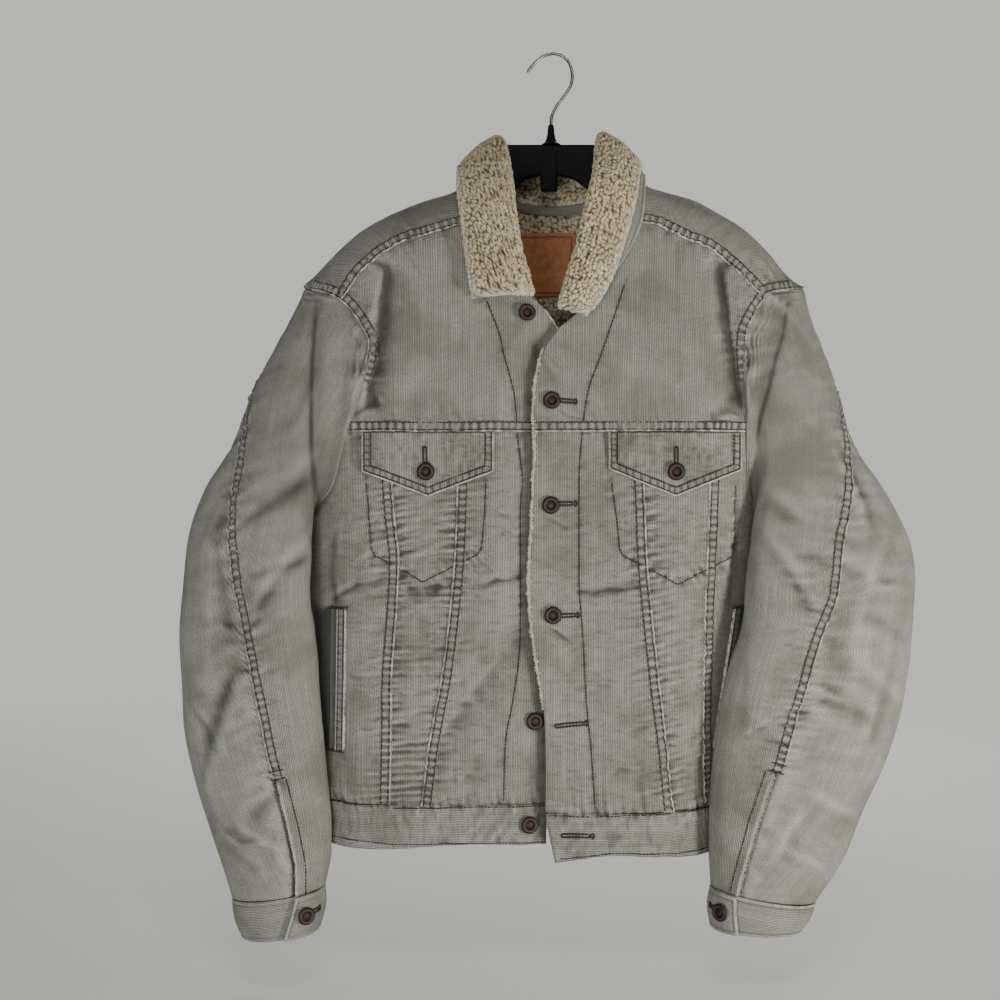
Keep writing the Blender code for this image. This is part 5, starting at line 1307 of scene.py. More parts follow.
SEAMS = {
    "forward_left": Seam(FRONT, FORWARD_SEAM_LEFT, 101, pull=0.6),
    "forward_right": Seam(FRONT, FORWARD_SEAM_RIGHT, 102, pull=0.6),
    "armhole_left": Seam(FRONT, armhole_knots(ARMHOLE_LEFT, 1, 334), 103),
    "armhole_right": Seam(FRONT, armhole_knots(ARMHOLE_RIGHT, 1, 334), 104),
    "armhole_back_left": Seam(BACK, armhole_knots(ARMHOLE_LEFT, 2, 440), 105),
    "armhole_back_right": Seam(BACK, armhole_knots(ARMHOLE_RIGHT, 2, 440), 106),
    "chest_left": Seam(FRONT_SUNK, [(-203, 382), (-110, 382.5), (-40, 382), (8, 382)], 107, pull=0.65),
    "chest_right": Seam(FRONT, [(-20, 382.5), (60, 382), (130, 382), (187, 382)], 108, pull=0.65),
    "outer_left": Seam(FRONT, upright(1), 109, 6.9, 1.35, 15),
    "inner_left": Seam(FRONT, upright(2), 110, 7.0, 1.35, 15),
    "inner_right": Seam(FRONT, upright(3, end=748), 111, 7.2, 1.3, 15),
    "outer_right": Seam(FRONT, upright(4, end=744), 112, 6.8, 0.6, 15),
    "yoke_back": Seam(BACK, [(-208, 300), (-100, 300), (0, 300), (100, 300), (208, 300)], 113),
    "hem_left": Seam(FRONT_SUNK, hem_knots(HEM_LEFT), 114, 8.4, 0.7),
    "hem_right": Seam(FRONT, hem_knots(HEM_RIGHT), 115, 8.4, 0.7),
    "hem_back": Seam(BACK, hem_knots(HEM_BACK), 116, 8.4, 0.7),
    "placket_left": Seam(FRONT_SUNK, [
        (-66, 256), (-54, 288), (-50, 307), (-40, 346), (-36, 391), (-32, 429), (-34, 467), (-34, 582),
        (-41, 639), (-48, 679), (-50, 738),
    ], 117, 9.0, 0.3, 6.0),
    "placket_right": Seam(FRONT, [
        (67, 240), (46, 302), (32, 340), (26, 377), (22, 429), (22, 524), (26, 582), (29, 639), (34, 689),
        (38, 746),
    ], 118, 9.0, 0.3, 6.0),
    "bag_left": Seam(FRONT, straight([
        (-181, 432), (-179, 460), (-176.5, 494), (-173, 501), (-127, 526), (-75, 500), (-71, 494),
        (-68, 460), (-67, 432),
    ]), 119, 8.0, 0.5, 7.0),
    "bag_right": Seam(FRONT, straight([
        (53, 432), (58, 467), (60.5, 494), (64, 501), (116, 528), (170, 503), (173, 496), (173.5, 465),
        (174, 432),
    ]), 120, 8.0, 0.5, 7.0),
}
for number, (side, turns) in enumerate(SEAM_TURN.items()):
    ring = np.linspace(1.0, 11.75, 16)
    SEAMS[f"sleeve_{side}"] = Seam(SLEEVES[side], np.c_[read(turns, ring), ring], 121 + number, 7.4, 0.85)
    ring = np.linspace(11.8, 14.95, 8)
    SEAMS[f"slit_{side}"] = Seam(SLEEVES[side], np.c_[read(turns, ring), ring], 123 + number, 9.0, 0.7)

AROUND = {              # the lines of sewing that shape each piece
    "front_yoke_left": ["forward_left", "armhole_left", "chest_left", "placket_left"],
    "front_yoke_right": ["forward_right", "armhole_right", "chest_right", "placket_right"],
    "front_side_left": ["armhole_left", "chest_left", "outer_left", "hem_left", "bag_left"],
    "front_middle_left": ["chest_left", "outer_left", "inner_left", "hem_left", "bag_left"],
    "front_center_left": ["chest_left", "inner_left", "hem_left", "bag_left", "placket_left"],
    "front_center_right": ["chest_right", "inner_right", "hem_right", "bag_right", "placket_right"],
    "front_middle_right": ["chest_right", "inner_right", "outer_right", "hem_right", "bag_right"],
    "front_side_right": ["armhole_right", "chest_right", "outer_right", "hem_right", "bag_right"],
    "back_panel": ["armhole_back_left", "armhole_back_right", "yoke_back", "hem_back"],
    "hem_left": ["hem_left"], "hem_right": ["hem_right"], "hem_back": ["hem_back"],
}
# Those that shape the back yoke; rise() leaves them out.
YOKE_SEAMS = ["forward_left", "forward_right", "armhole_left", "armhole_right", "armhole_back_left",
              "armhole_back_right", "yoke_back"]


# ---------------------------------------------------------------- the body
def hem_crumple(x, drop):
    """Slanting ridges that the hem's sewing has drawn up."""
    ridge = 0.5 - np.abs(noise(x * 1.2 + drop * 0.9, drop * 0.5, 15, 97))
    return 1.4 * ridge + 0.6 * noise(x, drop, 9, 98)


def hem_row(seam, offset, start=0.0):
    """One row of thread along a hem."""
    def lift(at):
        points, _ = seam.at(at, offset(at), 0.0)
        return rise(seam, at, offset(at)) + hem_crumple(points[:, 0], -points[:, 2]) + 0.2

    stitch_row("hem", seam, offset, lift, start)


def pocket_shade(x, drop):
    """Shade painted in the hand pockets' openings, beside their welts."""
    dark = np.zeros(np.shape(x))
    for side, table in WELTS.items():
        away = read(table, drop, 1) - x if side == "left" else x - read(table, drop, 2)
        along = np.clip(np.minimum(drop - table[0][0], table[-1][0] - drop) / 8 + 0.3, 0, 1)
        inside = np.clip(away + 0.5, 0, 1) * along
        dark += inside * (1 - eased((away - 8) / 3) + 0.85 * (1 - eased((away - 19) / 4)))
    return dark


def under_trim(x, drop):
    """Where a flap or a welt lies on the cloth."""
    covered = np.zeros(np.shape(x), bool)
    for x0, x1, top, corner, point in FLAPS.values():
        covered |= (x > x0 - 2) & (x < x1 + 2) & (drop > top - 2) & (drop < (corner + point) / 2 + 2)
    for table in WELTS.values():
        beside = (x < read(table, drop, 1) - 1) | (x > read(table, drop, 2) + 1)
        covered |= ~beside & (drop > table[0][0] - 2) & (drop < table[-1][0] + 2)
    return covered


BESIDE_SIDE = 30            # an edge nearer than this to the side of the body lies on it
CALM = (440, 40)            # drop from which the columns crowd there, over how much it grows
FACING_REACH = 3            # from the side, over which the normals turn outward
FADE_REACH = 4              # from the side and the shoulder, over which the relief starts


def panel(node, surface, left, right, drops, size, wall=CORD_WALL):
    """A piece of the body between two edges given as x at a drop, with cells about size across.

    drops(share, t) gives the drop at a share of the width and a share t of the height.
    """
    width = float(np.max(np.abs(right(drops(1.0, 0.5)) - left(drops(0.0, 0.5)))))
    height = float(drops(0.5, 1.0) - drops(0.5, 0.0))
    columns = max(int(width * 0.55 / size), 4) * 2
    rows = max(int(height * 0.5 / size), 4) * 2
    share, t = np.meshgrid(np.linspace(0, 1, columns + 1), np.linspace(0, 1, rows + 1))
    drop = drops(share, t)
    x0, x1 = left(drop), right(drop)
    # Columns crowd towards the side of the body, where the cloth turns away.
    side_left, side_right = read(SIDE, drop, 1), read(SIDE, drop, 2)
    at_left, at_right = np.abs(x0 - side_left) < BESIDE_SIDE, np.abs(x1 - side_right) < BESIDE_SIDE
    bent = np.where(at_left & at_right, (1 - np.cos(share * math.pi)) / 2 * 0.6 + share * 0.4, share)
    bent = np.where(at_left & ~at_right, 1 - np.cos(share * math.pi / 2), bent)
    bent = np.where(at_right & ~at_left, np.sin(share * math.pi / 2), bent)
    is_hem = node.startswith("hem")
    calm = 1.0 if is_hem else eased((drop - CALM[0]) / CALM[1])
    x = x0 + (x1 - x0) * (share + (bent - share) * calm)
    base = surface.place(x, drop)
    normal = surface.normal(*inside_form(surface, x, drop))
    edge = np.minimum(x - side_left, side_right - x)[..., None]
    outward = np.where((x < (side_left + side_right) / 2)[..., None], [-1.0, 0, 0], [1.0, 0, 0])
    facing = np.clip(edge / FACING_REACH, 0, 1)
    normal = unit(normal * facing + outward * (1 - facing))
    relief, shade, drawn = sewn(base, [SEAMS[name] for name in AROUND.get(node, [])])
    # Painted shade along the hollows of the deep folds.
    shade = shade + draped(BACK_DRAPES if surface is BACK else FRONT_DRAPES, x, drop)[1]
    if surface is not BACK:
        # Painted shade in the pockets' openings, where the cloth also sinks.
        opening = pocket_shade(x, drop)
        shade, relief = shade + opening, relief - 1.8 * np.clip(opening, 0, 1)
        relief = np.where(under_trim(x, drop), np.minimum(relief, 0.3), relief)
        # Painted shadow of the left sleeve's lower edge on the body beside its armhole.
        away = x - read(ARMHOLE_LEFT, drop, 1)
        shade = shade + 0.8 * (1 - eased((away - 1) / 9)) * eased((drop - 392) / 16)
    # Painted shadow that the right front casts on the left front beside its edge.
    if surface is FRONT_SUNK:
        away = read(EDGE_RIGHT, drop) - x
        shade = shade + 0.75 * (1 - eased(away / 13)) * eased((drop - 296) / 14)
    fade = np.clip(np.minimum(edge[..., 0], drop - read(SHOULDER, x)) / FADE_REACH, 0, 1)
    across, _ = grid_lengths(base)
    middle = np.s_[:, columns // 2, None]
    cut = np.stack([across - across[middle] + x[middle], -drop], -1)
    drawn = np.maximum(drawn, 0.12 + 0.3 * eased((drop - 370) / 40))
    if is_hem:
        relief = relief + hem_crumple(x, drop)
        cut = cut[..., ::-1]                # the wales of a hem band run along it
    cloth(node, base, normal, wall, cut=cut, relief=relief * fade,
          shade=np.clip(shade * fade, 0, 1), drawn=drawn, lining="lining", flip=surface is BACK)


def edge_of(table, column=1, shift=0.0):
    """An edge for panel(): x at a drop."""
    return lambda drop: read(table, drop, column) + shift


def level(top, bottom):
    """Drops for panel() between two levels."""
    return lambda share, t: top + (bottom - top) * t + 0 * share


def down_to(top, hem, start, end):
    """Drops from a level top to the hem's seam between two x."""
    def drops(share, t):
        bottom = read(hem, start + (end - start) * share) - SEAM_GAP / 2
        return top + (bottom - top) * t
    return drops


def front_outer_edge(armhole, forward, side_column, shift):
    """Outer edge of a front: forward seam, then armhole, then side seam."""
    by_drop = sorted((drop, x) for x, drop in forward)
    corner = by_drop[-1][0]

    def edge(drop):
        x = np.where(drop < UNDERARM_DROP, read(armhole, drop, 1) + shift, read(SIDE, drop, side_column))
        return np.where(drop <= corner, read(by_drop, drop), x)

    return edge


def free_edge(neck, edge, shift):
    """Inner edge of a front: the neck, then its free edge."""
    corner = neck[-1][0]
    return lambda drop: np.where(drop < corner, read(neck, drop), read(edge, drop)) + shift


def make_fronts():
    """The two yokes in front and the three panels below each."""
    half = SEAM_GAP / 2
    left_edge = front_outer_edge(ARMHOLE_LEFT, FORWARD_SEAM_LEFT, 1, half)
    right_edge = front_outer_edge(ARMHOLE_RIGHT, FORWARD_SEAM_RIGHT, 2, -half)
    yoke = level(173.5, YOKE_DROP - half)
    panel("front_yoke_left", FRONT_SUNK, left_edge, free_edge(NECK_LEFT, EDGE_LEFT, -half), yoke, 2.2)
    panel("front_yoke_right", FRONT, free_edge(NECK_RIGHT, EDGE_RIGHT, half), right_edge, yoke, 2.2)
    pieces = [              # node, surface, left and right edge, hem, x of its two lower corners
        ("front_side_left", FRONT, left_edge, edge_of(FRONT_SEAMS, 1, -half), HEM_LEFT, -234, -160),
        ("front_middle_left", FRONT, edge_of(FRONT_SEAMS, 1, half), edge_of(FRONT_SEAMS, 2, -half),
         HEM_LEFT, -160, -130),
        ("front_center_left", FRONT_SUNK, edge_of(FRONT_SEAMS, 2, half), edge_of(EDGE_LEFT),
         HEM_LEFT, -130, -8),
        ("front_center_right", FRONT, edge_of(EDGE_RIGHT), edge_of(FRONT_SEAMS, 3, -half),
         HEM_RIGHT, -10, 114),
        ("front_middle_right", FRONT, edge_of(FRONT_SEAMS, 3, half), edge_of(FRONT_SEAMS, 4, -half),
         HEM_RIGHT, 114, 146),
        ("front_side_right", FRONT, edge_of(FRONT_SEAMS, 4, half), right_edge, HEM_RIGHT, 146, 168),
    ]
    for node, surface, left, right, hem, start, end in pieces:
        panel(node, surface, left, right, down_to(YOKE_DROP + half, hem, start, end), 1.9)


def make_back_and_hems():
    """The back below its yoke, and the three hem bands."""
    half = SEAM_GAP / 2

    def back_edge(armhole, column, shift):
        def edge(drop):
            return np.where(drop < UNDERARM_DROP, read(armhole, drop, 2) + shift, read(SIDE, drop, column))
        return edge

    panel("back_panel", BACK, back_edge(ARMHOLE_LEFT, 1, half), back_edge(ARMHOLE_RIGHT, 2, -half),
          down_to(BACK_YOKE_DROP + half, HEM_BACK, -234, 168), 3.2)

    def hem(table, start, end):
        def drops(share, t):
            x = start + (end - start) * share
            top = read(table, x, 1) + half
            return top + (read(table, x, 2) - top) * t
        return drops

    left, right = edge_of(SIDE, 1), edge_of(SIDE, 2)
    panel("hem_left", FRONT_SUNK, left, edge_of(EDGE_LEFT), hem(HEM_LEFT, -234, -8), 2.0, HEM_WALL)
    panel("hem_right", FRONT, edge_of(EDGE_RIGHT), right, hem(HEM_RIGHT, -10, 168), 2.0, HEM_WALL)
    panel("hem_back", BACK, left, right, hem(HEM_BACK, -234, 168), 3.0, HEM_WALL)


YOKE_ENDS = (-249, 251)             # x of its tips at the shoulders
YOKE_COLUMNS = (62, 42, 64)         # left of the neck, behind it, right of it


def make_back_yoke():
    """Across the back, over both shoulders and down to the forward seams, in one piece."""
    over_rows, back_rows = 34, 44
    neck_left, neck_right = NECK_BACK[0][0], NECK_BACK[-1][0]
    left_end, right_end = YOKE_ENDS
    left_count, neck_count, right_count = YOKE_COLUMNS
    x = np.concatenate([
        np.linspace(left_end, neck_left, left_count)[:-1], np.linspace(neck_left, neck_right, neck_count),
        np.linspace(neck_right, right_end, right_count)[1:],
    ])
    front_left = sorted((x, drop) for drop, x, _ in ARMHOLE_LEFT[:4] if x < -207) + FORWARD_SEAM_LEFT
    front_right = FORWARD_SEAM_RIGHT + sorted((x, drop) for drop, x, _ in ARMHOLE_RIGHT[:3])
    back_left = sorted((x, drop) for drop, _, x in ARMHOLE_LEFT[:7])
    back_right = sorted((x, drop) for drop, _, x in ARMHOLE_RIGHT[:7])
    front_drop = np.where(x < 0, read(front_left, x), read(front_right, x)) - SEAM_GAP * 1.5
    back_drop = np.where(x < 0, read(back_left, x), read(back_right, x))
    back_drop = np.minimum(back_drop, BACK_YOKE_DROP - SEAM_GAP / 2)
    start, end = wrap_turn(x, front_drop, True), wrap_turn(x, back_drop, False)
    corner = np.array([float(neck_left)])
    corner_start = wrap_turn(corner, read(front_left, corner) - SEAM_GAP * 1.5, True)
    corner_end = wrap_turn(corner, np.array([BACK_YOKE_DROP]), False)
    share = (wrap_turn(corner, read(NECK_BACK, corner), False) - corner_start) / (corner_end - corner_start)
    inside = (x > neck_left) & (x < neck_right)
    middle = np.where(inside, wrap_turn(x, read(NECK_BACK, x), False), start + (end - start) * share)
    over = np.linspace(0, 1, over_rows + 1)[:, None]
    behind = np.linspace(0, 1, back_rows + 1)[1:, None]
    turn = np.concatenate([start + (middle - start) * over, middle + (end - middle) * behind])
    across = np.broadcast_to(x, turn.shape)
    base = WRAP.place(across, turn)
    normal = WRAP.normal(np.clip(across, left_end + 2, right_end - 2), turn)
    relief, shade, drawn = sewn(base, [SEAMS[name] for name in YOKE_SEAMS])
    # The cut piece unrolls over the shoulder line, so its wales slant on the strips in front.
    fall = (read(SHOULDER, across + 25) - read(SHOULDER, across - 25)) / 50
    below = wrap_drop(across, turn) - read(SHOULDER, across)
    ahead = turn < 0
    fold_x, fold_z = 1 / np.hypot(1, fall), -fall / np.hypot(1, fall)
    reach = 2 * (-below * fold_z)
    cut = np.stack([
        across + np.where(ahead, reach * fold_x, 0),
        -read(SHOULDER, across) + np.where(ahead, reach * fold_z + below, -below),
    ], -1)
    keep = np.ones((over_rows + back_rows, len(x) - 1), bool)
    first, last = int(np.searchsorted(x, neck_left)), int(np.searchsorted(x, neck_right))
    keep[:over_rows, first:last] = False
    cloth("back_yoke", base, normal, CORD_WALL, cut=cut, keep=keep, relief=relief, shade=shade,
          drawn=np.maximum(drawn, 0.12), lining="lining", flip=True)


SLEEVE_ROWS = 224
SLEEVE_COLUMNS = {"front": 84, "back": 56}
HALF_GAP_TURN = 0.25        # degrees that each half of a sleeve keeps from the seam
SLIT_RING = 11.85           # where the slit starts
SLIT_REACH = 40


def make_sleeves():
    """Both halves of both sleeves, sunk along the slits' seams."""
    rows = SLEEVE_ROWS
    ring = np.linspace(0, LAST_RING, rows + 1)[:, None]
    under = read(UNDER_SEAM_TURN, ring)
    sunk = np.clip(np.arange(rows + 1) / 4, 0, 1)[:, None]          # no relief under the armhole's seam
    for side, turns in SEAM_TURN.items():
        surface, back = SLEEVES[side], read(turns, ring)
        seams = [SEAMS[f"sleeve_{side}"], SEAMS[f"armhole_{side}"]]
        halves = [
            ("front", back + HALF_GAP_TURN, under - HALF_GAP_TURN),
            ("back", under - 360 + HALF_GAP_TURN, back - HALF_GAP_TURN),
        ]
        for part, start, end in halves:
            columns = SLEEVE_COLUMNS[part]
            share = np.linspace(0, 1, columns + 1)[None]
            angle, rings = start + (end - start) * share, np.broadcast_to(ring, (rows + 1, columns + 1))
            base = surface.place(angle, rings)
            normal = surface.normal(angle, np.clip(rings, 0.05, LAST_RING - 0.05))
            relief, shade, drawn = sewn(base, seams)
            aside, _ = SEAMS[f"slit_{side}"].near(base)
            slit = hump(np.maximum(SLIT_RING - rings, 0), 0.06) * (np.abs(aside) < SLIT_REACH)
            if part == "front":
                relief = relief + slit * (1.9 * hump(aside, 5.0) - 0.7 * hump(aside, 0.9))
                uneven = 0.8 + 0.6 * noise(rings * 38, aside, 4, 92)
                wear = 1.2 * slit * hump(np.abs(aside) - 0.4, 1.3) * uneven
            else:
                # The back half sinks under the slit's edge, with painted shade in the gap.
                relief = relief - slit * 3.2 * hump(aside, 4.4)
                shade = shade + slit * 1.3 * hump(aside, 4.0 if side == "left" else 1.6)
                wear = 0.0 * shade
            # Painted shade along the deep folds' hollows, on the part that faces the front.
            facing = np.clip(-normal[..., 1] * 2, 0, 1) * np.clip(rings, 0, 1)
            shade = shade + draped(SLEEVE_DRAPES, base[..., 0], -base[..., 2])[1] * facing
            across, down = grid_lengths(base)
            middle = np.s_[:, int(columns * 0.35), None]
            cut = np.stack([across - across[middle], -down[middle] + 0 * across], -1)
            cloth(f"sleeve_{side}_{part}", base, normal, SLEEVE_WALL, cut=cut, relief=relief * sunk,
                  wear=wear, shade=shade, drawn=np.maximum(0.8 * drawn, 0.1), lining="quilt",
                  flip=side == "right")


def make_cuffs():
    """Both cuffs, each once round the wrist and on under its buttoned edge."""
    for side in ("left", "right"):
        surface, edge = cuff_surface(side), CUFF_EDGE_TURN[side]
        down, angle = np.meshgrid(
            np.linspace(0, 1, 21), np.linspace(edge, edge + 360 + CUFF_UNDERLAP, 191), indexing="ij",
        )
        angle = angle + (5 - 15 * down if side == "left" else 2 - 7 * down)
        base, normal = surface.place(angle, down), surface.normal(angle, down)
        across, length = grid_lengths(base)
        cut = np.stack([length, across], -1)
        above_hem = length[-1:] - length
        border = np.minimum(np.minimum(length, above_hem), across)
        relief = 0.45 * hump(border - 1.3, 1.2) - 0.5 * hump(border - 3.4, 0.9) - 0.6 * hump(border, 0.7)
        relief += 0.35 * noise(across, length, 9, 61) * np.exp(-border / 7)
        wear = 0.9 * hump(border - 1.0, 1.0) * (0.65 + 0.7 * noise(across, length, 5, 62))
        wear = wear * np.where((above_hem < 6) & (across > 6), 0.35, 1)
        cloth(f"cuff_{side}", base, normal, CUFF_WALL, cut=cut, relief=relief, wear=wear,
              shade=0.7 * hump(border - 3.4, 0.9), flip=side == "right")


# ---------------------------------------------------------------- collar
COLLAR_WALL = 4.5
COLLAR_FOLD = 5.5
UNDER_COLLAR_WALL = 1.4
LEAF_BOW = 4.2
# Sections from the left front end round the back to the right front end: fold x, y, drop; leaf's edge
# x, y, drop; foot of the stand x, y, drop.
COLLAR = [
    (-20, -68, 251, -82, -66, 254, -42, -60, 250), (-25, -67, 231, -84, -64, 236, -46, -58, 232),
    (-32, -64, 207, -88, -59, 210, -52, -54, 208), (-37, -59, 173, -93, -49, 172, -55, -44, 174),
    (-41, -52, 136, -97, -37, 143, -55, -32, 140), (-48, -21, 92, -97, -17, 117, -55.5, -15, 120),
    (-55, 2, 84.5, -98, 7, 122, -55.5, 3, 114), (-50, 18, 89, -90, 35, 144, -53, 14, 122),
    (-32, 27, 96, -62, 42, 160, -34, 21, 143), (0, 29, 99, 0, 42, 171, 0, 22.5, 149),
    (32, 27, 96, 62, 42, 160, 34, 21, 143), (49, 18, 87, 89, 35, 143, 51, 14, 121),
    (48, 2, 81, 91, 5, 115, 53.5, 3, 112), (42, -21, 89, 88, -20, 114, 53.5, -15, 118),
    (36, -54, 131, 82, -46, 146, 52.5, -32, 140), (28, -61, 164, 76, -54, 173, 48, -45, 168),
    (21, -63, 197, 66, -59, 206, 41, -53, 201), (12, -66, 225, 57, -64, 231, 32, -58, 228),
    (6, -69, 245, 45, -68, 254, 26, -61, 249), (1, -70, 263, 32, -70, 273, 19, -63, 268),
]
UNDER_COLLAR_PEEK = [       # section, how far the under collar stands out past the leaf's edge
    (0, 0.6), (11, 0.6), (12, 5), (13, 10), (14, 13), (15, 14.5), (16, 9), (17, 1.5), (19, 0.6),
]


LAST_SECTION = len(COLLAR) - 1


def collar_grid(places, count):
    """Visible surface of the collar: rows along it, columns from the leaf's edge over the fold to the foot.

    places are numbers of sections, whole or between two, and count is the number of columns.
    """
    numbered = np.c_[np.arange(len(COLLAR)), np.array(COLLAR, float)]

    def corner(at, first):
        x, y, drop = (read(numbered, at, first + step) for step in range(3))
        return np.stack([x, y, -drop], -1)

    fold, edge, foot = corner(places, 1), corner(places, 4), corner(places, 7)
    along = corner(np.minimum(places + 0.5, LAST_SECTION), 1) - corner(np.maximum(places - 0.5, 0), 1)
    leaf = unit(edge - fold)
    out = unit(np.cross(along, leaf))
    centre = fold + leaf * COLLAR_FOLD
    profile = [edge]
    for share in np.linspace(0, 1, 9)[1:]:
        bow = LEAF_BOW * np.sin(math.pi * min(share * 0.78 + 0.02, 1)) * (1 - share**6)
        profile.append(edge * (1 - share) + (centre + out * COLLAR_FOLD) * share + out * bow)
    for degrees in (112, 135, 158, 180, 202, 225, 248):
        turn = math.radians(degrees)
        profile.append(centre + (leaf * math.cos(turn) + out * math.sin(turn)) * COLLAR_FOLD)
    bottom = centre - out * COLLAR_FOLD
    profile += [bottom * (1 - share) + foot * share for share in np.linspace(0, 1, 6)]
    grid = []
    for section in np.stack(profile, 1):
        length = run_length(section)
        grid.append(points_along(np.linspace(0, length[-1], count), length, section))
    return np.array(grid)


def grid_normal(grid):
    """Normals of a grid whose rows run down and columns to the right."""
    across, down = np.gradient(grid, axis=1), np.gradient(grid, axis=0)
    return unit(np.cross(down, across))


def curls(x, y, size, seed):
    """Fleece: height from 0 between the curls to 1 on them."""
    rng = np.random.default_rng(seed)
    jitter = rng.uniform(-0.42, 0.42, (64, 64, 2))
    tall = rng.uniform(0.72, 1.0, (64, 64))
    u = x / size + 0.35 * noise(x, y, 9, seed + 1)
    v = y / size + 0.35 * noise(x, y, 9, seed + 2)
    i, j = np.floor(u).astype(int), np.floor(v).astype(int)
    near, following, height = np.full(u.shape, 9.0), np.full(u.shape, 9.0), np.ones(u.shape)
    for di in (-1, 0, 1):
        for dj in (-1, 0, 1):
            a, b = (i + di) % 64, (j + dj) % 64
            away = np.hypot(i + di + 0.5 + jitter[a, b, 0] - u, (j + dj + 0.5 + jitter[a, b, 1] - v))
            closer = away < near
            following = np.where(closer, near, np.minimum(following, away))
            height = np.where(closer, tall[a, b], height)
            near = np.where(closer, away, near)
    dome = np.sqrt(np.clip(1 - (near / 0.78) ** 2, 0, 1))
    return height * dome * eased((following - near) / 0.28 + 0.25)


def fleece(name, node, grid, wall, finish, size, tall, seed, fluffy=0.0):
    """A sheet of fleece with round edges: curls on its outside, flat where it lies on the cloth.

    size and tall are those of a curl; fluffy is how far the curls stand out past the edge.
    """
    normal = grid_normal(grid)
    across, down = grid_lengths(grid)
    rows, columns = grid.shape[:2]
    border = to_border(across, down, 0, across[:, -1:], 0, down[-1:])
    half = wall / 2
    thick = half * rounded(border / half)
    middle = grid - normal * half
    curl = curls(across - across[:, columns // 2:columns // 2 + 1], down, size, seed)
    edge_out = np.zeros_like(grid)
    edge_out[:, 0] = unit(grid[:, 0] - grid[:, 1])
    edge_out[:, -1] = unit(grid[:, -1] - grid[:, -2])
    edge_out[0] = unit(grid[0] - grid[1])
    edge_out[-1] = unit(grid[-1] - grid[-2])
    lift = thick + (curl - 0.55) * tall * np.clip(border / half, 0.15, 1)
    outer = middle + normal * lift[..., None] + edge_out * (curl * fluffy)[..., None]
    inner = middle - normal * (thick - 0.02)[..., None]
    inner[border < 1e-6] = outer[border < 1e-6]
    index = np.arange(rows * columns).reshape(rows, columns)
    under = index + rows * columns
    for rim in (np.s_[0], np.s_[-1], np.s_[:, 0], np.s_[:, -1]):
        under[rim] = index[rim]
    front = np.stack([index[:-1, :-1], index[1:, :-1], index[1:, 1:], index[:-1, 1:]], -1).reshape(-1, 4)
    behind, triangles = coarse_faces(under)
    # The shade mark paints shade between the curls, and an even painted shade on the inner face.
    return add_shell(
        name, outer, inner, [np.concatenate([front, behind]), triangles], finish, node=node,
        shade=(np.clip(1.35 - 1.6 * curl, 0, 1), 0.3), wear=(np.exp(-border / 3.5) * fluffy * 0.5, 0.0),
    )


def blunted(grid, radius):
    """Rounds a sheet's two corners at its first column."""
    across, down = grid_lengths(grid)
    end = np.minimum(down[:, 0], down[-1, 0] - down[:, 0])
    inset = radius - np.sqrt(np.maximum(radius**2 - np.maximum(radius - end, 0) ** 2, 0))
    return np.array([
        points_along(np.linspace(start, length[-1], len(length)), length, row)
        for row, length, start in zip(grid, across, inset)
    ])


def make_collar():
    """The fleece of the collar, and the under collar that peeks out along the right front edge."""
    places = np.linspace(LAST_SECTION, 0, 200)
    length = run_length(collar_grid(places, 60)[:, 12])
    count = int(length[-1] / 3.0) * 2 + 1
    even = np.interp(np.linspace(0, length[-1], count), length, places)
    grid = blunted(collar_grid(even, 99), 13.0)
    made = fleece("collar_fleece", "collar", grid, COLLAR_WALL, "sherpa", 4.1, 2.9, 71, 1.8)
    MADE["collar"] = (made, grid, None)

    places = np.linspace(LAST_SECTION, 0, 260)
    grid = collar_grid(places, 40)
    normal = grid_normal(grid)
    step = unit(grid[:, 0] - grid[:, 1])
    peek = read(UNDER_COLLAR_PEEK, places)[:, None]
    under_leaf = range(2, 13, 2)
    line = [grid[:, 0] + step * peek * (1 - number / 5) for number in range(5)]
    base = np.stack(line + [grid[:, index] for index in under_leaf], 1)
    normals = np.stack([normal[:, 0]] * 5 + [normal[:, index] for index in under_leaf], 1)
    base = base - normals * (COLLAR_WALL + TRIM_LIFT)
    across, down = grid_lengths(base)
    relief = 0.5 * hump(across - 0.8, 0.9) - 0.5 * hump(across - 2.4, 0.7) + 0.4 * hump(across - 4.2, 0.9)
    wear = hump(across - 0.4, 0.8) + 0.5 * hump(across - 4.2, 0.8)
    cloth("under_collar", base, normals, UNDER_COLLAR_WALL, cut=np.stack([across, down], -1), relief=relief,
          wear=wear, shade=0.8 * hump(across - 2.4, 0.8))


# ---------------------------------------------------------------- flaps, welts and the inside of the neck
# x of its two edges; drop of its top, of its lower corners and of its point.
FLAPS = {"left": (-185, -59, 383.6, 421, 445), "right": (50, 178, 383.6, 419, 445)}
FLAP_ROWS = (2.3, 8.4)      # rows of thread, from the edge
ON_TRIM = TRIM_LIFT + TRIM_WALL
WELTS = {               # drop, left x, right x
    "left": [(552, -215, -200), (620, -216, -201), (691, -218, -203)],
    "right": [(552, 173, 186), (620, 163, 176), (691, 153, 166)],
}


def outline_distance(x, y, outline):
    """Distance of places from a closed outline."""
    best = np.full(np.shape(x), 1e3)
    for start, end in zip(outline, outline[1:] + outline[:1]):
        best = np.minimum(best, from_line(x, y, start, end)[0])
    return best


def flap_line(side, inset):
    """The line of a flap's sewing, inset from its edge, from its top left round the point."""
    x0, x1, top, corner, point = FLAPS[side]
    middle, slope = (x0 + x1) / 2, (point - corner) / ((x1 - x0) / 2)
    higher = inset * math.hypot(1, slope)
    corner = corner + slope * inset - higher
    left, right = x0 + inset, x1 - inset
    return [(left, top + 1), (left, corner), (middle, point - higher), (right, corner), (right, top + 1)]


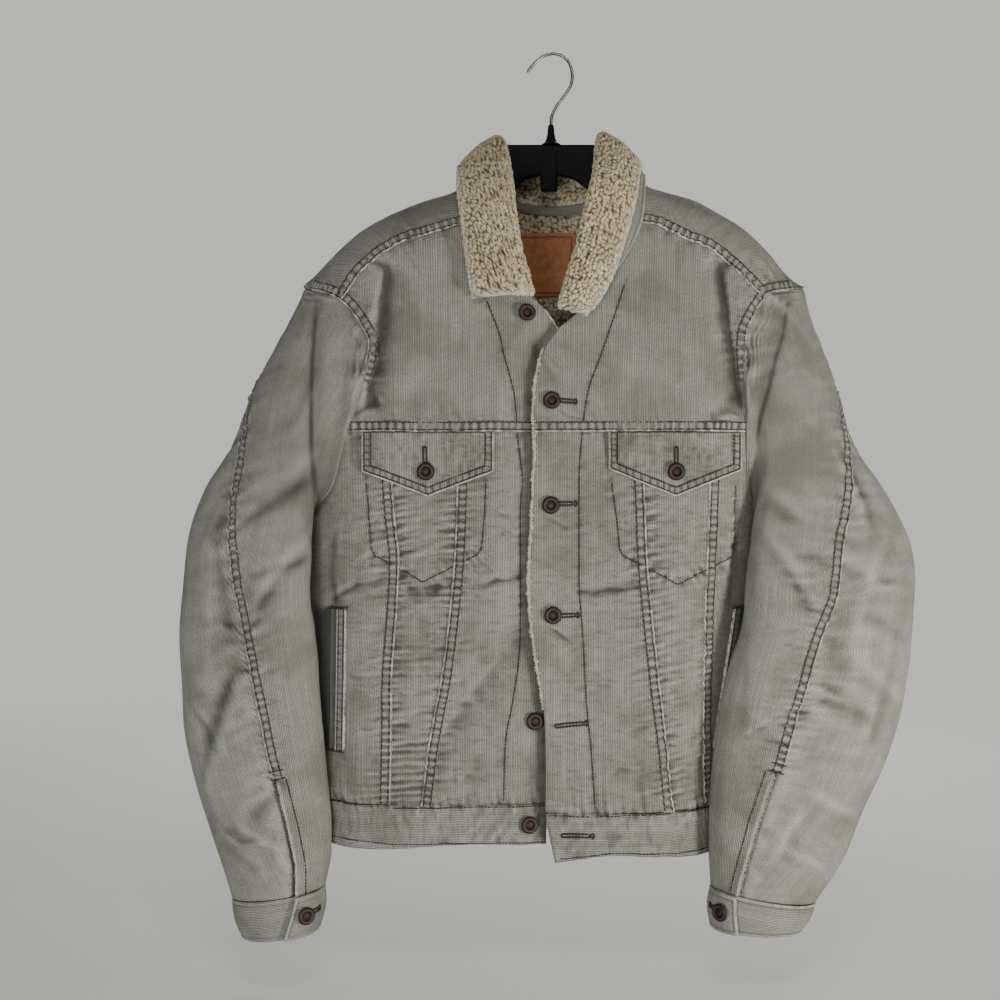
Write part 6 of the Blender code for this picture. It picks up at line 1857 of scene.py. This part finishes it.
def make_flap(side):
    """The pointed flap of a chest pocket, with two rows of thread along its edge."""
    x0, x1, top, corner, point = FLAPS[side]
    middle = (x0 + x1) / 2
    share, t = np.meshgrid(np.linspace(0, 1, 101), np.linspace(0, 1, 47))
    x = x0 + (x1 - x0) * share
    bottom = point + (corner - point) * np.abs(x - middle) / (middle - x0)
    drop = top + (bottom - top) * t
    normal = FRONT.normal(x, drop)
    base = FRONT.place(x, drop) + normal * ON_TRIM
    outline = [(x0, top - 9), (x0, corner), (middle, point), (x1, corner), (x1, top - 9)]
    border = outline_distance(x, drop, outline)
    upright_edge = np.minimum(x - x0, x1 - x) < np.minimum(border + 1.0, 12)
    around = np.where(upright_edge, drop, x)
    ladder = (0.5 - 0.5 * np.sin(around / 6.4 * 2 * math.pi + 2.4 * noise(x, drop, 24, 81))) ** 4
    ladder = ladder * hump(border - 5.3, 2.6)
    crumple = 1.2 * noise(x, drop, 13, 83) + 0.9 * noise(x * 1.6, drop, 7, 88)
    relief = 0.75 * hump(border - 0.9, 0.8) - 0.5 * hump(border, 0.5) - 0.7 * ladder
    relief += crumple * np.clip(border / 9 - 0.2, 0, 1)
    # Painted shade in the ladder's hollows; the rows are dark lines of stitching.
    shade = 0.8 * ladder
    for row in FLAP_ROWS:
        relief = relief - 0.45 * hump(border - row, 0.8)
        shade = shade + 0.8 * hump(border - row, 0.8)
    wear = hump(border - 0.7, 0.9) * (0.8 + 0.5 * noise(x, drop, 6, 84))
    cloth(f"flap_{side}", base, normal, TRIM_WALL, cut=np.stack([x, -drop], -1), relief=relief, wear=wear,
          shade=shade, drawn=0.5)
    for number, row in enumerate(FLAP_ROWS):
        seam = Seam(FRONT, straight(flap_line(side, row)), 130 + number)
        stitch_row(f"flap_{side}", seam, 0.0, ON_TRIM + 0.25)


def make_welt(side):
    """The narrow welt of a side pocket, worn along its fold, with painted shade in the pocket's opening
    beside it.
    """
    (top, left, right), (bottom, low_left, low_right) = WELTS[side][0], WELTS[side][-1]
    t, share = np.meshgrid(np.linspace(0, 1, 91), np.linspace(0, 1, 19), indexing="ij")
    drop = top + (bottom - top) * t
    x0, x1 = read(WELTS[side], drop, 1), read(WELTS[side], drop, 2)
    x = x0 + (x1 - x0) * share
    normal = FRONT.normal(*inside_form(FRONT, x, drop))
    base = FRONT.place(x, drop) + normal * ON_TRIM
    mouth = share if side == "left" else 1 - share
    border = to_border(x, drop, x0, x1, top, bottom)
    puckers = np.sin(drop / 7 * 2 * math.pi + 2 * noise(drop, x, 30, 85))
    inside = eased((0.40 - mouth) / 0.07) * np.clip(border / 2, 0, 1)
    away = (1 - mouth) * (x1 - x0)
    relief = 0.5 * hump(away - 8.2, 0.8) - 0.5 * hump(border, 0.5) + 0.5 * puckers * hump(away - 4.5, 3.0)
    relief += 0.5 * hump(away - 0.7, 0.8) - 0.5 * hump(away - 2.0, 0.7) - 1.9 * inside
    wear = hump(away - 0.6, 0.9) * (0.9 + 0.5 * noise(drop, x, 6, 86)) + 0.7 * hump(away - 8.4, 0.7)
    # Dark lines of its two rows; painted shade in the pocket's opening, in the puckers' hollows and along its
    # edges.
    shade = 0.9 * hump(away - 2.0, 0.8) + 0.8 * hump(away - 7.0, 0.7) + 0.95 * inside
    shade += 0.7 * np.maximum(-puckers, 0) ** 3 * hump(away - 4.5, 2.5) + 0.6 * hump(border, 0.9)
    cloth(f"welt_{side}", base, normal, TRIM_WALL, cut=np.stack([x, -drop], -1), relief=relief, wear=wear,
          shade=shade)
    for row in (2.0, 7.0):
        edge = right - row if side == "left" else left + row
        line = [(edge + read(WELTS[side], d) - left, d) for d in (554, 600, 640, 689)]
        stitch_row(f"welt_{side}", Seam(FRONT, line, 135), 0.0, ON_TRIM + 0.1)
    for start, end, at in ((left, right, top + 0.6), (low_left, low_right, bottom - 0.6)):
        seam = Seam(FRONT, [(x, at) for x in np.linspace(start - 3, end + 1, 5)], 135)
        for shift in (-0.7, 0.7):
            stitch_row(f"welt_{side}", seam, shift, ON_TRIM + 0.3)


LINING_WALL = 2.5
LINING_DEPTH = BODY_WALL + TRIM_LIFT
ON_LINING = LINING_DEPTH + LINING_WALL + 0.5
LINING_HALF, TAPE_HALF, TAPE_WALL = 60.0, 48.0, 1.0
LABEL = (-36, 24, 175, 240)     # x, x, drop, drop


def neck_grid(left, right, drops, columns, rows, depth):
    """A grid on the inside of the back, seen from the front."""
    share, t = np.meshgrid(np.linspace(0, 1, columns), np.linspace(0, 1, rows))
    x = left + (right - left) * share
    drop = drops(x, t)
    normal = BACK.normal(*inside_form(BACK, x, drop))
    return x, drop, BACK.place(x, drop) - normal * depth, -normal


def make_neck_inside():
    """The lining, the tape and the label that show inside the neck."""
    def lining_drops(x, t):
        top = read(NECK_BACK, x) + 2
        return top + (330 - top) * t

    _, _, grid, _ = neck_grid(-LINING_HALF, LINING_HALF, lining_drops, 85, 121, LINING_DEPTH + LINING_WALL)
    made = fleece("neck_lining_fleece", "neck_lining", grid, LINING_WALL, "lining", 4.6, 1.7, 75)
    MADE["neck_lining"] = (made, grid, None)

    x, drop, grid, normal = neck_grid(
        -TAPE_HALF, TAPE_HALF, lambda x, t: read(NECK_BACK, x) - 5 + 10 * t, 90, 12, ON_LINING + TAPE_WALL)
    border = 5 - np.abs(drop - read(NECK_BACK, x))
    cloth("neck_tape", grid, normal, TAPE_WALL, "tape", np.stack([x, -drop], -1),
          relief=0.4 * np.sin(x / 5 * math.pi) * hump(border, 2) + 0.3 * hump(border - 3, 2))

    x0, x1, top, bottom = LABEL
    x, drop, grid, normal = neck_grid(
        x0, x1, lambda x, t: top + (bottom - top) * t, 45, 47, ON_LINING + TAPE_WALL)
    border = to_border(x, drop, x0, x1, top, bottom)
    cloth("neck_label", grid, normal, TAPE_WALL, "label", np.stack([x, -drop], -1),
          relief=0.5 * noise(x, drop, 18, 87) - 0.3 * hump(border - 1.6, 0.7),
          shade=0.85 * hump(border - 4.2, 0.9))


# Piece: surface, its free edge, how far the strip stands out and laps over, its y behind the front, and the
# drops of its ends.
FLEECE_EDGES = {
    "front_center_right": (FRONT, EDGE_RIGHT, -2.2, 2.4, 0.8, 303, 646),
    "front_yoke_left": (FRONT_SUNK, EDGE_LEFT, -2.0, 3.6, 1.6, 250, 296),
}


def make_fleece_edge(node):
    """The narrow strip of fleece that shows along a front's free edge."""
    surface, table, out, over, lift, start, end = FLEECE_EDGES[node]
    rows = int((end - start) / 2.6) * 2 + 1
    share, drop = np.meshgrid(np.linspace(0, 1, 9), np.linspace(start, end, rows))
    edge = read(table, drop)
    taper = np.clip(np.minimum(drop - start, end - drop) / 12, 0.25, 1)
    ragged = 1.1 * noise(drop, share * 0, 5.5, 93) + 0.8 * noise(drop, share * 0, 2.6, 94)
    if node == "front_center_right":
        x = edge + (out + ragged) * taper + (over - out - ragged) * taper * share
    else:
        x = edge - over * taper + (over - out + ragged) * taper * share
    points = FRONT.place(x, drop)
    points[..., 1] = surface.place(edge, drop)[..., 1] + lift
    points[..., 1] -= 0.5 * np.sin(share * math.pi)
    return fleece(f"fleece_edge_{node}", None, points, 1.8, "sherpa", 2.2, 1.4, 95, 1.3)


FRAYS = {               # seam: node, length of the fibres, how many to a millimetre, how far they spread
    "slit_right": ("sleeve_right_front", 3.4, 6.0, 0.8),
    "slit_left": ("sleeve_left_front", 1.6, 2.0, 0.4),
}
FRONT_FRAY = (300, 648, 1500, 2.3)      # drop of its start and end, how many fibres, their length


def fray(name, here, outward, along, normal, size, rng, finish):
    """Loose pale fibres at a worn edge, each a thin bent spike."""
    count = len(here)
    way = unit(outward * rng.uniform(0.3, 1.0, (count, 1)) + along * rng.normal(0, 0.55, (count, 1))
               + normal * rng.uniform(0.05, 0.7, (count, 1)))
    length = size * rng.uniform(0.35, 1.0, (count, 1))
    aside = unit(np.cross(way, normal + 0.01)) * 0.26
    upward = unit(np.cross(aside, way)) * 0.2
    middle = here + way * length * 0.55 + normal * 0.15
    tip = here + way * length + along * length * rng.normal(0, 0.25, (count, 1))
    corners = np.stack([here + aside, here - aside, here + upward, middle + aside * 0.8, middle - aside * 0.8,
                        middle + upward * 0.8, tip], 1)
    pattern = np.array([
        (0, 1, 4), (0, 4, 3), (1, 2, 5), (1, 5, 4), (2, 0, 3), (2, 3, 5), (3, 4, 6), (4, 5, 6), (5, 3, 6),
        (0, 2, 1),
    ])
    faces = (np.arange(count)[:, None, None] * 7 + pattern[None]).reshape(-1, 3)
    cut = np.repeat(np.c_[np.arange(count) * WALE, np.arange(count) * 0.7], 7, axis=0)
    return add_piece(name, corners.reshape(-1, 3), faces, finish, cut, wear=np.full(count * 7, 2.5),
                     shade=np.zeros(count * 7))


def make_frays():
    """Frayed edges of the sleeve slits and of the right front's fleece."""
    made = {}
    for number, (name, (node, size, dense, spread)) in enumerate(FRAYS.items()):
        seam, rng = SEAMS[name], np.random.default_rng(200 + number)
        count = int(seam.length[-1] * dense)
        place = rng.uniform(0, seam.length[-1], count)
        here, normal = seam.at(place, rng.normal(0, spread, count), 0.9)
        ahead, _ = seam.at(place + 0.5, 0.0, 0.9)
        behind, _ = seam.at(place - 0.5, 0.0, 0.9)
        along = unit(ahead - behind)
        outward = np.cross(normal, along) * rng.choice([-1.0, 1.0], (count, 1))
        made[node] = fray(f"frays_{name}", here, outward, along, normal, size, rng, "corduroy")
    rng = np.random.default_rng(210)
    start, end, count, size = FRONT_FRAY
    drop = rng.uniform(start, end, count)
    x = read(EDGE_RIGHT, drop) - rng.uniform(-0.6, 1.8, len(drop))
    here = FRONT.place(x, drop)
    here[:, 1] += 0.4
    ways = (np.tile(way, (len(drop), 1)) for way in ([-1.0, 0, 0], [0, 0, 1.0], [0, -1.0, 0]))
    made["front_center_right"] = fray("frays_front_right", here, *ways, size, rng, "sherpa")
    return made


# ---------------------------------------------------------------- buttons and buttonholes
# Profile of a button: radius, height, rubbed, dark.
BUTTON_PROFILE = [
    (0.0, 2.70, 0.3, 0.1), (1.2, 2.70, 0.3, 0.1), (2.3, 2.45, 0.2, 0.3), (3.1, 2.15, 0.0, 0.9),
    (3.8, 2.25, 0.0, 0.7), (4.4, 3.20, 0.3, 0.3), (5.0, 3.95, 0.5, 0.0), (5.8, 4.28, 0.6, 0.0),
    (6.6, 4.20, 0.4, 0.0), (7.2, 3.85, 0.2, 0.1), (7.7, 3.35, 0.1, 0.5), (8.0, 3.10, 0.0, 0.8),
    (8.4, 2.70, 0.7, 0.0), (8.5, 2.10, 0.6, 0.0), (8.1, 1.50, 0.0, 0.3), (7.0, 1.00, 0.0, 0.6),
    (5.2, 0.35, 0.0, 0.8), (0.0, 0.30, 0.0, 0.8),
]
# x, drop, whether it is on the left front.
FRONT_BUTTONS = [(-28, 268, 1), (-4, 353, 0), (-5, 453, 0), (-3, 558, 0), (-20.5, 660, 1), (-26, 760, 1)]
FLAP_BUTTONS = {"left": (-124, 421), "right": (114, 421)}
CUFF_BUTTON_TURN = {"left": 128.0, "right": 141.0}
CUFF_BUTTON_DOWN = 0.45
SHANK, SHANK_ON_SLOPE = 0.4, 1.7
BUTTON_REACH = 7.6          # how far from its middle a front button takes the slope of the cloth


def turned(base, axis, profile, sides):
    """Points and faces of a turned piece; profile is radius and height, from the axis's top to its foot."""
    axis = unit(np.asarray(axis, float))
    aside = unit(np.cross(axis, [0.0, 0.0, 1.0] if abs(axis[2]) < 0.9 else [1.0, 0.0, 0.0]))
    other = np.cross(axis, aside)
    turn = np.linspace(0, 2 * math.pi, sides, endpoint=False)[None, :, None]
    ring = aside * np.cos(turn) + other * np.sin(turn)
    rings = np.array([(radius, height) for radius, height, *_ in profile[1:-1]])[:, :, None, None]
    grid = base + axis * rings[:, 1] + ring * rings[:, 0]
    points, faces = tube(grid)
    points[-2], points[-1] = base + axis * profile[0][1], base + axis * profile[-1][1]
    return points, faces


def add_button(node, base, axis):
    """One button, whose shank stands at a point of the cloth."""
    sides = 40
    points, faces = turned(base, axis, BUTTON_PROFILE, sides)
    marks = np.repeat(np.array(BUTTON_PROFILE[1:-1]), sides, axis=0)
    marks = np.concatenate([marks, BUTTON_PROFILE[:1], BUTTON_PROFILE[-1:]])
    add_piece(f"{node}_shank", points, faces, "button", node=node, wear=marks[:, 2], shade=marks[:, 3])


def make_buttons():
    """Six buttons down the front, one on each flap and one on each cuff."""
    for number, (x, drop, on_left) in enumerate(FRONT_BUTTONS, start=1):
        surface = FRONT_SUNK if on_left else FRONT
        x, drop = np.array([float(x)]), np.array([float(drop)])
        across = surface.place(x + BUTTON_REACH, drop) - surface.place(x - BUTTON_REACH, drop)
        down = surface.place(x, drop + BUTTON_REACH) - surface.place(x, drop - BUTTON_REACH)
        normal = unit(np.cross(down, across))[0]
        lift = SHANK_ON_SLOPE if on_left else SHANK
        add_button(f"button_front_{number}", surface.place(x, drop)[0] + normal * lift, normal)
    others = [(f"flap_{side}", FRONT, *spot, TRIM_LIFT + ON_TRIM) for side, spot in FLAP_BUTTONS.items()]
    for side, turn in CUFF_BUTTON_TURN.items():
        others.append((f"cuff_{side}", cuff_surface(side), turn, CUFF_BUTTON_DOWN, SHANK * 2))
    for name, surface, u, v, lift in others:
        u, v = np.array([float(u)]), np.array([float(v)])
        normal = surface.normal(u, v)[0]
        add_button(f"button_{name}", surface.place(u, v)[0] + normal * lift, normal)


BUTTONHOLES = [         # surface, x and drop of its two ends, lift
    (FRONT, -3, 352.5, 18.5, 354.0, 0.3), (FRONT, -4, 452.0, 18.5, 451.4, 0.3),
    (FRONT, -2, 558.7, 20.5, 557.8, 0.3), (FRONT, 1, 664.2, 29, 661.5, 0.3),
    (FRONT, 7, 770.2, 35.5, 770.7, 0.6),
    (FRONT, -125, 399.0, -124.5, 421.0, ON_TRIM), (FRONT, 114.5, 399.0, 114, 421.0, ON_TRIM),
]


def cuff_patch(side):
    """The cuff's surface round its button, measured in millimetres from the button."""
    cuff = cuff_surface(side)
    turn, down = CUFF_BUTTON_TURN[side], CUFF_BUTTON_DOWN
    step_turn, step_down = cuff.slopes(np.array([turn]), np.array([down]))
    wide, tall = np.linalg.norm(step_turn[0]), np.linalg.norm(step_down[0])
    return Surface(lambda x, drop: cuff.place(turn + x / wide, down + drop / tall), (0.8, 0.8),
                   1 if side == "left" else -1)


def buttonhole(surface, start, end, lift):
    """A worked slit: a bead of close radial stitches round a dark opening, with an eye at one end."""
    (x0, d0), (x1, d1) = start, end
    length = math.hypot(x1 - x0, d1 - d0)
    along, aside = np.array([x1 - x0, d1 - d0]) / length, np.array([d0 - d1, x1 - x0]) / length
    half, radius = length / 2, 1.15
    turn = np.linspace(0, 2 * math.pi, 121)[:-1]
    reach = np.cos(turn) * (half + radius) * 1.02
    at_ends = np.abs(reach) > half
    run = np.clip(reach, -half, half)
    sine = np.sin(turn)
    at_sides = np.sign(sine) * radius * np.minimum(1, np.abs(sine) * half / radius * 0.9 + 0.05)
    steep = max(math.sin(math.acos(half / (half + radius))), 0.2)
    rise = np.clip(np.where(at_ends, radius * sine / steep, at_sides), -radius, radius)
    run = run + np.where(at_ends, np.sign(np.cos(turn)) * np.sqrt(np.maximum(radius**2 - rise**2, 0)), 0)
    rise = rise * (1 + 0.7 * hump(run + half, 2.0))
    line = np.stack([run, rise], -1)
    tangent = unit(np.gradient(line, axis=0))
    outward = np.stack([tangent[:, 1], -tangent[:, 0]], -1)
    flips = np.sign((outward * line).sum(-1, keepdims=True))
    outward = outward * np.where(flips == 0, 1, flips)
    stitches = 0.75 + 0.25 * np.cos(np.arange(120) * math.pi * 0.5)
    sections = []
    for around in np.linspace(0, 2 * math.pi, 9, endpoint=False):
        place = line + outward * (1.25 * math.cos(around) * stitches[:, None] + 0.35)
        x = (x0 + x1) / 2 + place[:, 0] * along[0] + place[:, 1] * aside[0]
        drop = (d0 + d1) / 2 + place[:, 0] * along[1] + place[:, 1] * aside[1]
        height = lift + 0.35 + 0.75 * math.sin(around) * stitches[:, None]
        sections.append(surface.place(x, drop) + surface.normal(x, drop) * height)
    grid = np.stack(sections, 1)
    index = np.arange(grid.shape[0] * grid.shape[1]).reshape(grid.shape[:2])
    right, after = np.roll(index, -1, axis=0), np.roll(index, -1, axis=1)
    both = np.roll(right, -1, axis=1)
    return grid.reshape(-1, 3), np.stack([index, after, both, right], -1).reshape(-1, 4)


def make_buttonholes():
    """One mesh of all the buttonholes that show."""
    points, faces, count = [], [], 0
    cuffs = [(cuff_patch(side), -2, 0.0, 17.5, -2.0, 0.3) for side in ("left", "right")]
    for surface, x0, d0, x1, d1, lift in BUTTONHOLES + cuffs:
        spots, sides = buttonhole(surface, (x1, d1), (x0, d0), lift)
        points.append(spots)
        faces.append(sides + count)
        count += len(spots)
    return add_piece("buttonholes", np.concatenate(points), np.concatenate(faces), "thread")


# ---------------------------------------------------------------- hanger
HANGER_HALF = 6.0
HANGER = [              # x, drop of the top, drop of the underside
    (-187, 188, 196), (-183, 184, 199), (-162, 170, 193), (-130, 157, 183), (-99, 147, 172),
    (-77, 134, 164), (-60, 129, 155), (-54, 125, 150), (-50, 108, 146), (-48, 91, 143), (-41, 91, 137),
    (-28, 91, 125), (-13, 91, 121), (-12, 91, 137), (4, 91, 137), (5, 91, 121), (22, 91, 125),
    (35, 91, 135), (43, 91, 143), (45, 108, 146), (50, 125, 150), (57, 128, 155), (75, 132, 164),
    (93, 141, 170), (130, 152, 182), (160, 167, 192), (180, 180, 199), (186, 185, 196),
]
NECK_X, NECK_DROP = -2.0, 91.0      # foot of the neck
NECK_PROFILE = [        # radius, height over the hanger's top
    (0, 20.5), (2.2, 20.5), (2.9, 20.1), (3.2, 17.0), (3.6, 12.0), (4.4, 8.0), (5.5, 5.0), (7.4, 2.2),
    (9.4, 0.9), (10.0, 0.3), (0, 0.3),
]
WIRE_RADIUS = 1.6
HOOK = [                # x, drop of the middle of the hook's wire
    (-2, 69.8), (-1.5, 62), (4, 51), (12, 40), (17.5, 31), (19.5, 21), (17, 9), (10, 1.2), (0, -1.6),
    (-10, 1.2), (-19, 8.5), (-26, 17.5),
]


def make_hanger():
    """The moulded body of the hanger, the neck on it and the wire hook."""
    x = []
    for (start, _, _), (end, _, _) in zip(HANGER, HANGER[1:]):
        x += list(np.linspace(start, end, max(int((end - start) / 3), 2), endpoint=False))
    x = np.array(x + [HANGER[-1][0]])
    knots = np.array(HANGER, float)
    top, bottom = np.interp(x, knots[:, 0], knots[:, 1]), np.interp(x, knots[:, 0], knots[:, 2])
    bevel = np.minimum(2.5, (bottom - top) / 3)
    section = []
    for y_way, drop, drop_way in ((-1, top, 1), (-1, bottom, -1), (1, bottom, -1), (1, top, 1)):
        for degrees in (90, 60, 30, 0) if y_way * drop_way < 0 else (0, 30, 60, 90):
            turn = math.radians(degrees)
            y = y_way * (HANGER_HALF - bevel + bevel * math.cos(turn))
            z = drop + drop_way * (bevel - bevel * math.sin(turn))
            section.append(np.stack([x, y, -z], -1))
    points, faces = tube(np.stack(section, 1))
    add_piece("hanger_moulding", points, faces, "plastic", node="hanger_body")
    points, faces = turned(np.array([NECK_X, 0, -NECK_DROP]), (0, 0, 1), NECK_PROFILE, 40)
    add_piece("hanger_collar", points, faces, "plastic", node="hanger_neck")
    numbered = np.c_[np.arange(len(HOOK)), np.array(HOOK, float)]
    last = len(HOOK) - 1
    at = np.linspace(0, last, 90)

    def wire(place):
        return np.stack([read(numbered, place, 1), 0 * place, -read(numbered, place, 2)], -1)

    along = unit(wire(np.minimum(at + 0.1, last)) - wire(np.maximum(at - 0.1, 0)))
    aside = np.array([0.0, 1.0, 0.0])
    other = np.cross(along, aside)
    turn = np.linspace(0, 2 * math.pi, 16, endpoint=False)
    radius = WIRE_RADIUS * np.sqrt(np.clip(1 - (1 - np.clip((last - at) / 0.25, 0, 1)) ** 2, 0.05, 1))
    grid = wire(at)[:, None] + (
        aside * np.cos(turn)[None, :, None] + other[:, None] * np.sin(turn)[None, :, None]
    ) * radius[:, None, None]
    points, faces = tube(grid)
    add_piece("hanger_wire", points, faces, "wire", node="hanger_hook")


# ---------------------------------------------------------------- putting the jacket together
BANDS = {               # seam: which side its fold is on, the piece it belongs to, group of thread
    "forward_left": (-1, "back_yoke", "top"), "forward_right": (-1, "back_yoke", "top"),
    "armhole_left": (-1, "front_yoke_left", "top"), "armhole_right": (1, "front_yoke_right", "top"),
    "armhole_back_left": (-1, "back_panel", "back"), "armhole_back_right": (1, "back_panel", "back"),
    "chest_left": (-1, "front_yoke_left", "front"), "chest_right": (-1, "front_yoke_right", "front"),
    "outer_left": (1, "front_side_left", "front"), "inner_left": (-1, "front_center_left", "front"),
    "inner_right": (1, "front_center_right", "front"), "outer_right": (-1, "front_side_right", "front"),
    "yoke_back": (-1, "back_yoke", "back"),
    "sleeve_left": (-1, "sleeve_left_front", "sleeves"), "sleeve_right": (1, "sleeve_right_front", "sleeves"),
}
WORN_AND_LAP = {"sleeve_left": (0.7, -2.0), "sleeve_right": (1.0, 6.5)}     # of the bands unlike the others
UNDER_FLAP = 30.0                                                           # of an upright band
LINES = ("placket_left", "placket_right", "bag_left", "bag_right")          # single rows of thread in front
THREAD_HOME = {         # group of thread: the piece it belongs to; the others are named after theirs
    "top": "back_yoke", "back": "back_panel", "front": "front_center_left", "hem": "hem_left",
    "sleeves": "sleeve_left_front",
}
HEM_ROWS = {            # how far the lower row of a hem lies below its seam, at even steps along it
    "hem_left": [37, 37.5], "hem_right": [45, 38, 42, 41], "hem_back": [37, 37.5],
}
with_cloth = {}         # pieces that go with a cloth piece, by its node


def belongs(node, made):
    """Notes that a piece goes with the cloth of a node."""
    with_cloth.setdefault(node, []).append(made)


def sew():
    """The bands, the rows of thread and the buttonholes."""
    for name, (edge, node, group) in BANDS.items():
        worn, lap = WORN_AND_LAP.get(name, (1.15, 0.0))
        start = UNDER_FLAP if name.startswith(("outer", "inner")) else 0.0
        belongs(node, band(f"band_{name}", SEAMS[name], edge, group, worn, lap, start))
    for name in LINES:
        stitch_row("front", SEAMS[name], 0.0, lambda at, name=name: rise(SEAMS[name], at, 0 * at) + 0.3)
    stitch_row("sleeves", SEAMS["slit_left"], 10.5, 0.5)
    stitch_row("sleeves", SEAMS["slit_right"], -8.6, 0.5)
    for place in (0.5, 8.5):
        for name, start, end in (("sleeve_left", -3.0, 9.5), ("sleeve_right", -5.0, 7.5)):
            bar_tack("sleeves", SEAMS[name], SEAMS[name].length[-1] - place, start, end)
    for name, depths in HEM_ROWS.items():
        side = 1 if name == "hem_back" else -1
        hem_row(SEAMS[name], lambda at, side=side: 0 * at + 2.2 * side)
        places = np.linspace(0, SEAMS[name].length[-1], len(depths))
        hem_row(SEAMS[name], lambda at, places=places, depths=depths, side=side: (
            side * np.interp(at, places, depths)), 13.0 if name == "hem_right" else 0.0)
    holes = make_buttonholes()
    for group in THREAD:
        belongs(THREAD_HOME.get(group, group), add_thread(group))
    belongs("front_center_right", holes)


make_fronts()
make_back_and_hems()
make_back_yoke()
make_sleeves()
make_cuffs()
make_collar()
for side in ("left", "right"):
    make_flap(side)
    make_welt(side)
make_neck_inside()
make_buttons()
make_hanger()
sew()
for node in FLEECE_EDGES:
    belongs(node, make_fleece_edge(node))
for node, frays in make_frays().items():
    belongs(node, frays)
for node, (made, grid, keep) in MADE.items():
    declare_sheet(node, grid, keep)


# ---------------------------------------------------------------- floor, light and camera
FLOOR_HALF, FLOOR_Z = 3, -0.93
AMBIENT, BACKGROUND = 0.20, 1.05        # strength of the room's light, and of the room as it is seen
CAMERA = (-0.0534, -1.350, -0.448)
SENSOR = 36                             # width, in millimetres
VIEW_WIDTH, VIEW_DISTANCE = 970, 1300   # what the camera sees across, at a distance, in millimetres
LIGHTS = [              # name, place, what it points at, size, power, colour
    ("key", (1.15, -0.95, -0.82), (0.0, 0.0, -0.7), (0.3, 0.12), 15, (1.0, 0.98, 0.94)),
    ("fill", (-0.6, -1.4, -0.84), (-0.1, 0.0, -0.8), (0.7, 0.12), 9, (0.94, 0.97, 1.0)),
    ("neck", (0.0, -1.3, 0.5), (0.0, 0.0, -0.16), (0.5, 0.4), 4, (1.0, 0.99, 0.96)),
    ("rear", (0.4, 1.9, 1.1), (0.3, 0.5, -0.93), (1.6, 1.2), 44, (1.0, 1.0, 1.0)),
]


def add_floor():
    """A pale floor that fades out far from the jacket."""
    mesh = bpy.data.meshes.new("floor")
    corners = [(x * FLOOR_HALF, y * FLOOR_HALF, FLOOR_Z) for x, y in ((-1, -1), (1, -1), (1, 1), (-1, 1))]
    mesh.from_pydata(corners, [], [(0, 1, 2, 3)])
    floor = bpy.data.objects.new("floor", mesh)
    bpy.context.scene.collection.objects.link(floor)
    finish = Finish("pale_floor", Roughness=0.9, Specular_IOR_Level=0.1)
    place = finish.place()
    grain = finish.noise(place, 6.0, 3.0)
    far = finish.node("ShaderNodeVectorMath", {"operation": "LENGTH"}, {0: place}, out="Value")
    colour = finish.mix(grain, (0.82, 0.82, 0.80), (0.88, 0.88, 0.86))
    finish.feed(Base_Color=colour, Alpha=1.0 - far.ramp(1.1, 2.6))
    mesh.materials.append(finish.material)


def add_area_light(name, place, target, size, power, colour):
    """A soft rectangular lamp that points from its place at a target."""
    light = bpy.data.lights.new(name, "AREA")
    light.shape = "RECTANGLE"
    light.size, light.size_y = size
    light.energy = power
    light.color = colour
    lamp = bpy.data.objects.new(name, light)
    lamp.location = place
    way = np.array(target, float) - np.array(place, float)
    yaw, pitch = math.atan2(way[0], way[1]), math.atan2(way[2], math.hypot(way[0], way[1]))
    lamp.rotation_euler = (math.pi / 2 + pitch, 0, -yaw)
    bpy.context.scene.collection.objects.link(lamp)


def light_scene():
    """A pale room, darker as a light than as it is seen, and lamps beside the camera and behind."""
    world = bpy.data.worlds.new("pale_room")
    world.use_nodes = True
    tree = world.node_tree
    background = tree.nodes["Background"]
    background.inputs["Color"].default_value = (0.62, 0.62, 0.59, 1)
    path = tree.nodes.new("ShaderNodeLightPath")
    strength = tree.nodes.new("ShaderNodeMapRange")
    strength.inputs["To Min"].default_value = AMBIENT
    strength.inputs["To Max"].default_value = BACKGROUND
    tree.links.new(path.outputs["Is Camera Ray"], strength.inputs["Value"])
    tree.links.new(strength.outputs["Result"], background.inputs["Strength"])
    bpy.context.scene.world = world
    for light in LIGHTS:
        add_area_light(*light)


def add_camera():
    """Level with the middle of the jacket and straight in front of it."""
    lens = bpy.data.cameras.new("camera")
    lens.sensor_width = SENSOR
    lens.lens = SENSOR * VIEW_DISTANCE / VIEW_WIDTH
    lens.clip_end = 50
    camera = bpy.data.objects.new("camera", lens)
    camera.location = CAMERA
    camera.rotation_euler = (math.pi / 2, 0, 0)
    bpy.context.scene.collection.objects.link(camera)
    bpy.context.scene.camera = camera


add_floor()
light_scene()
add_camera()
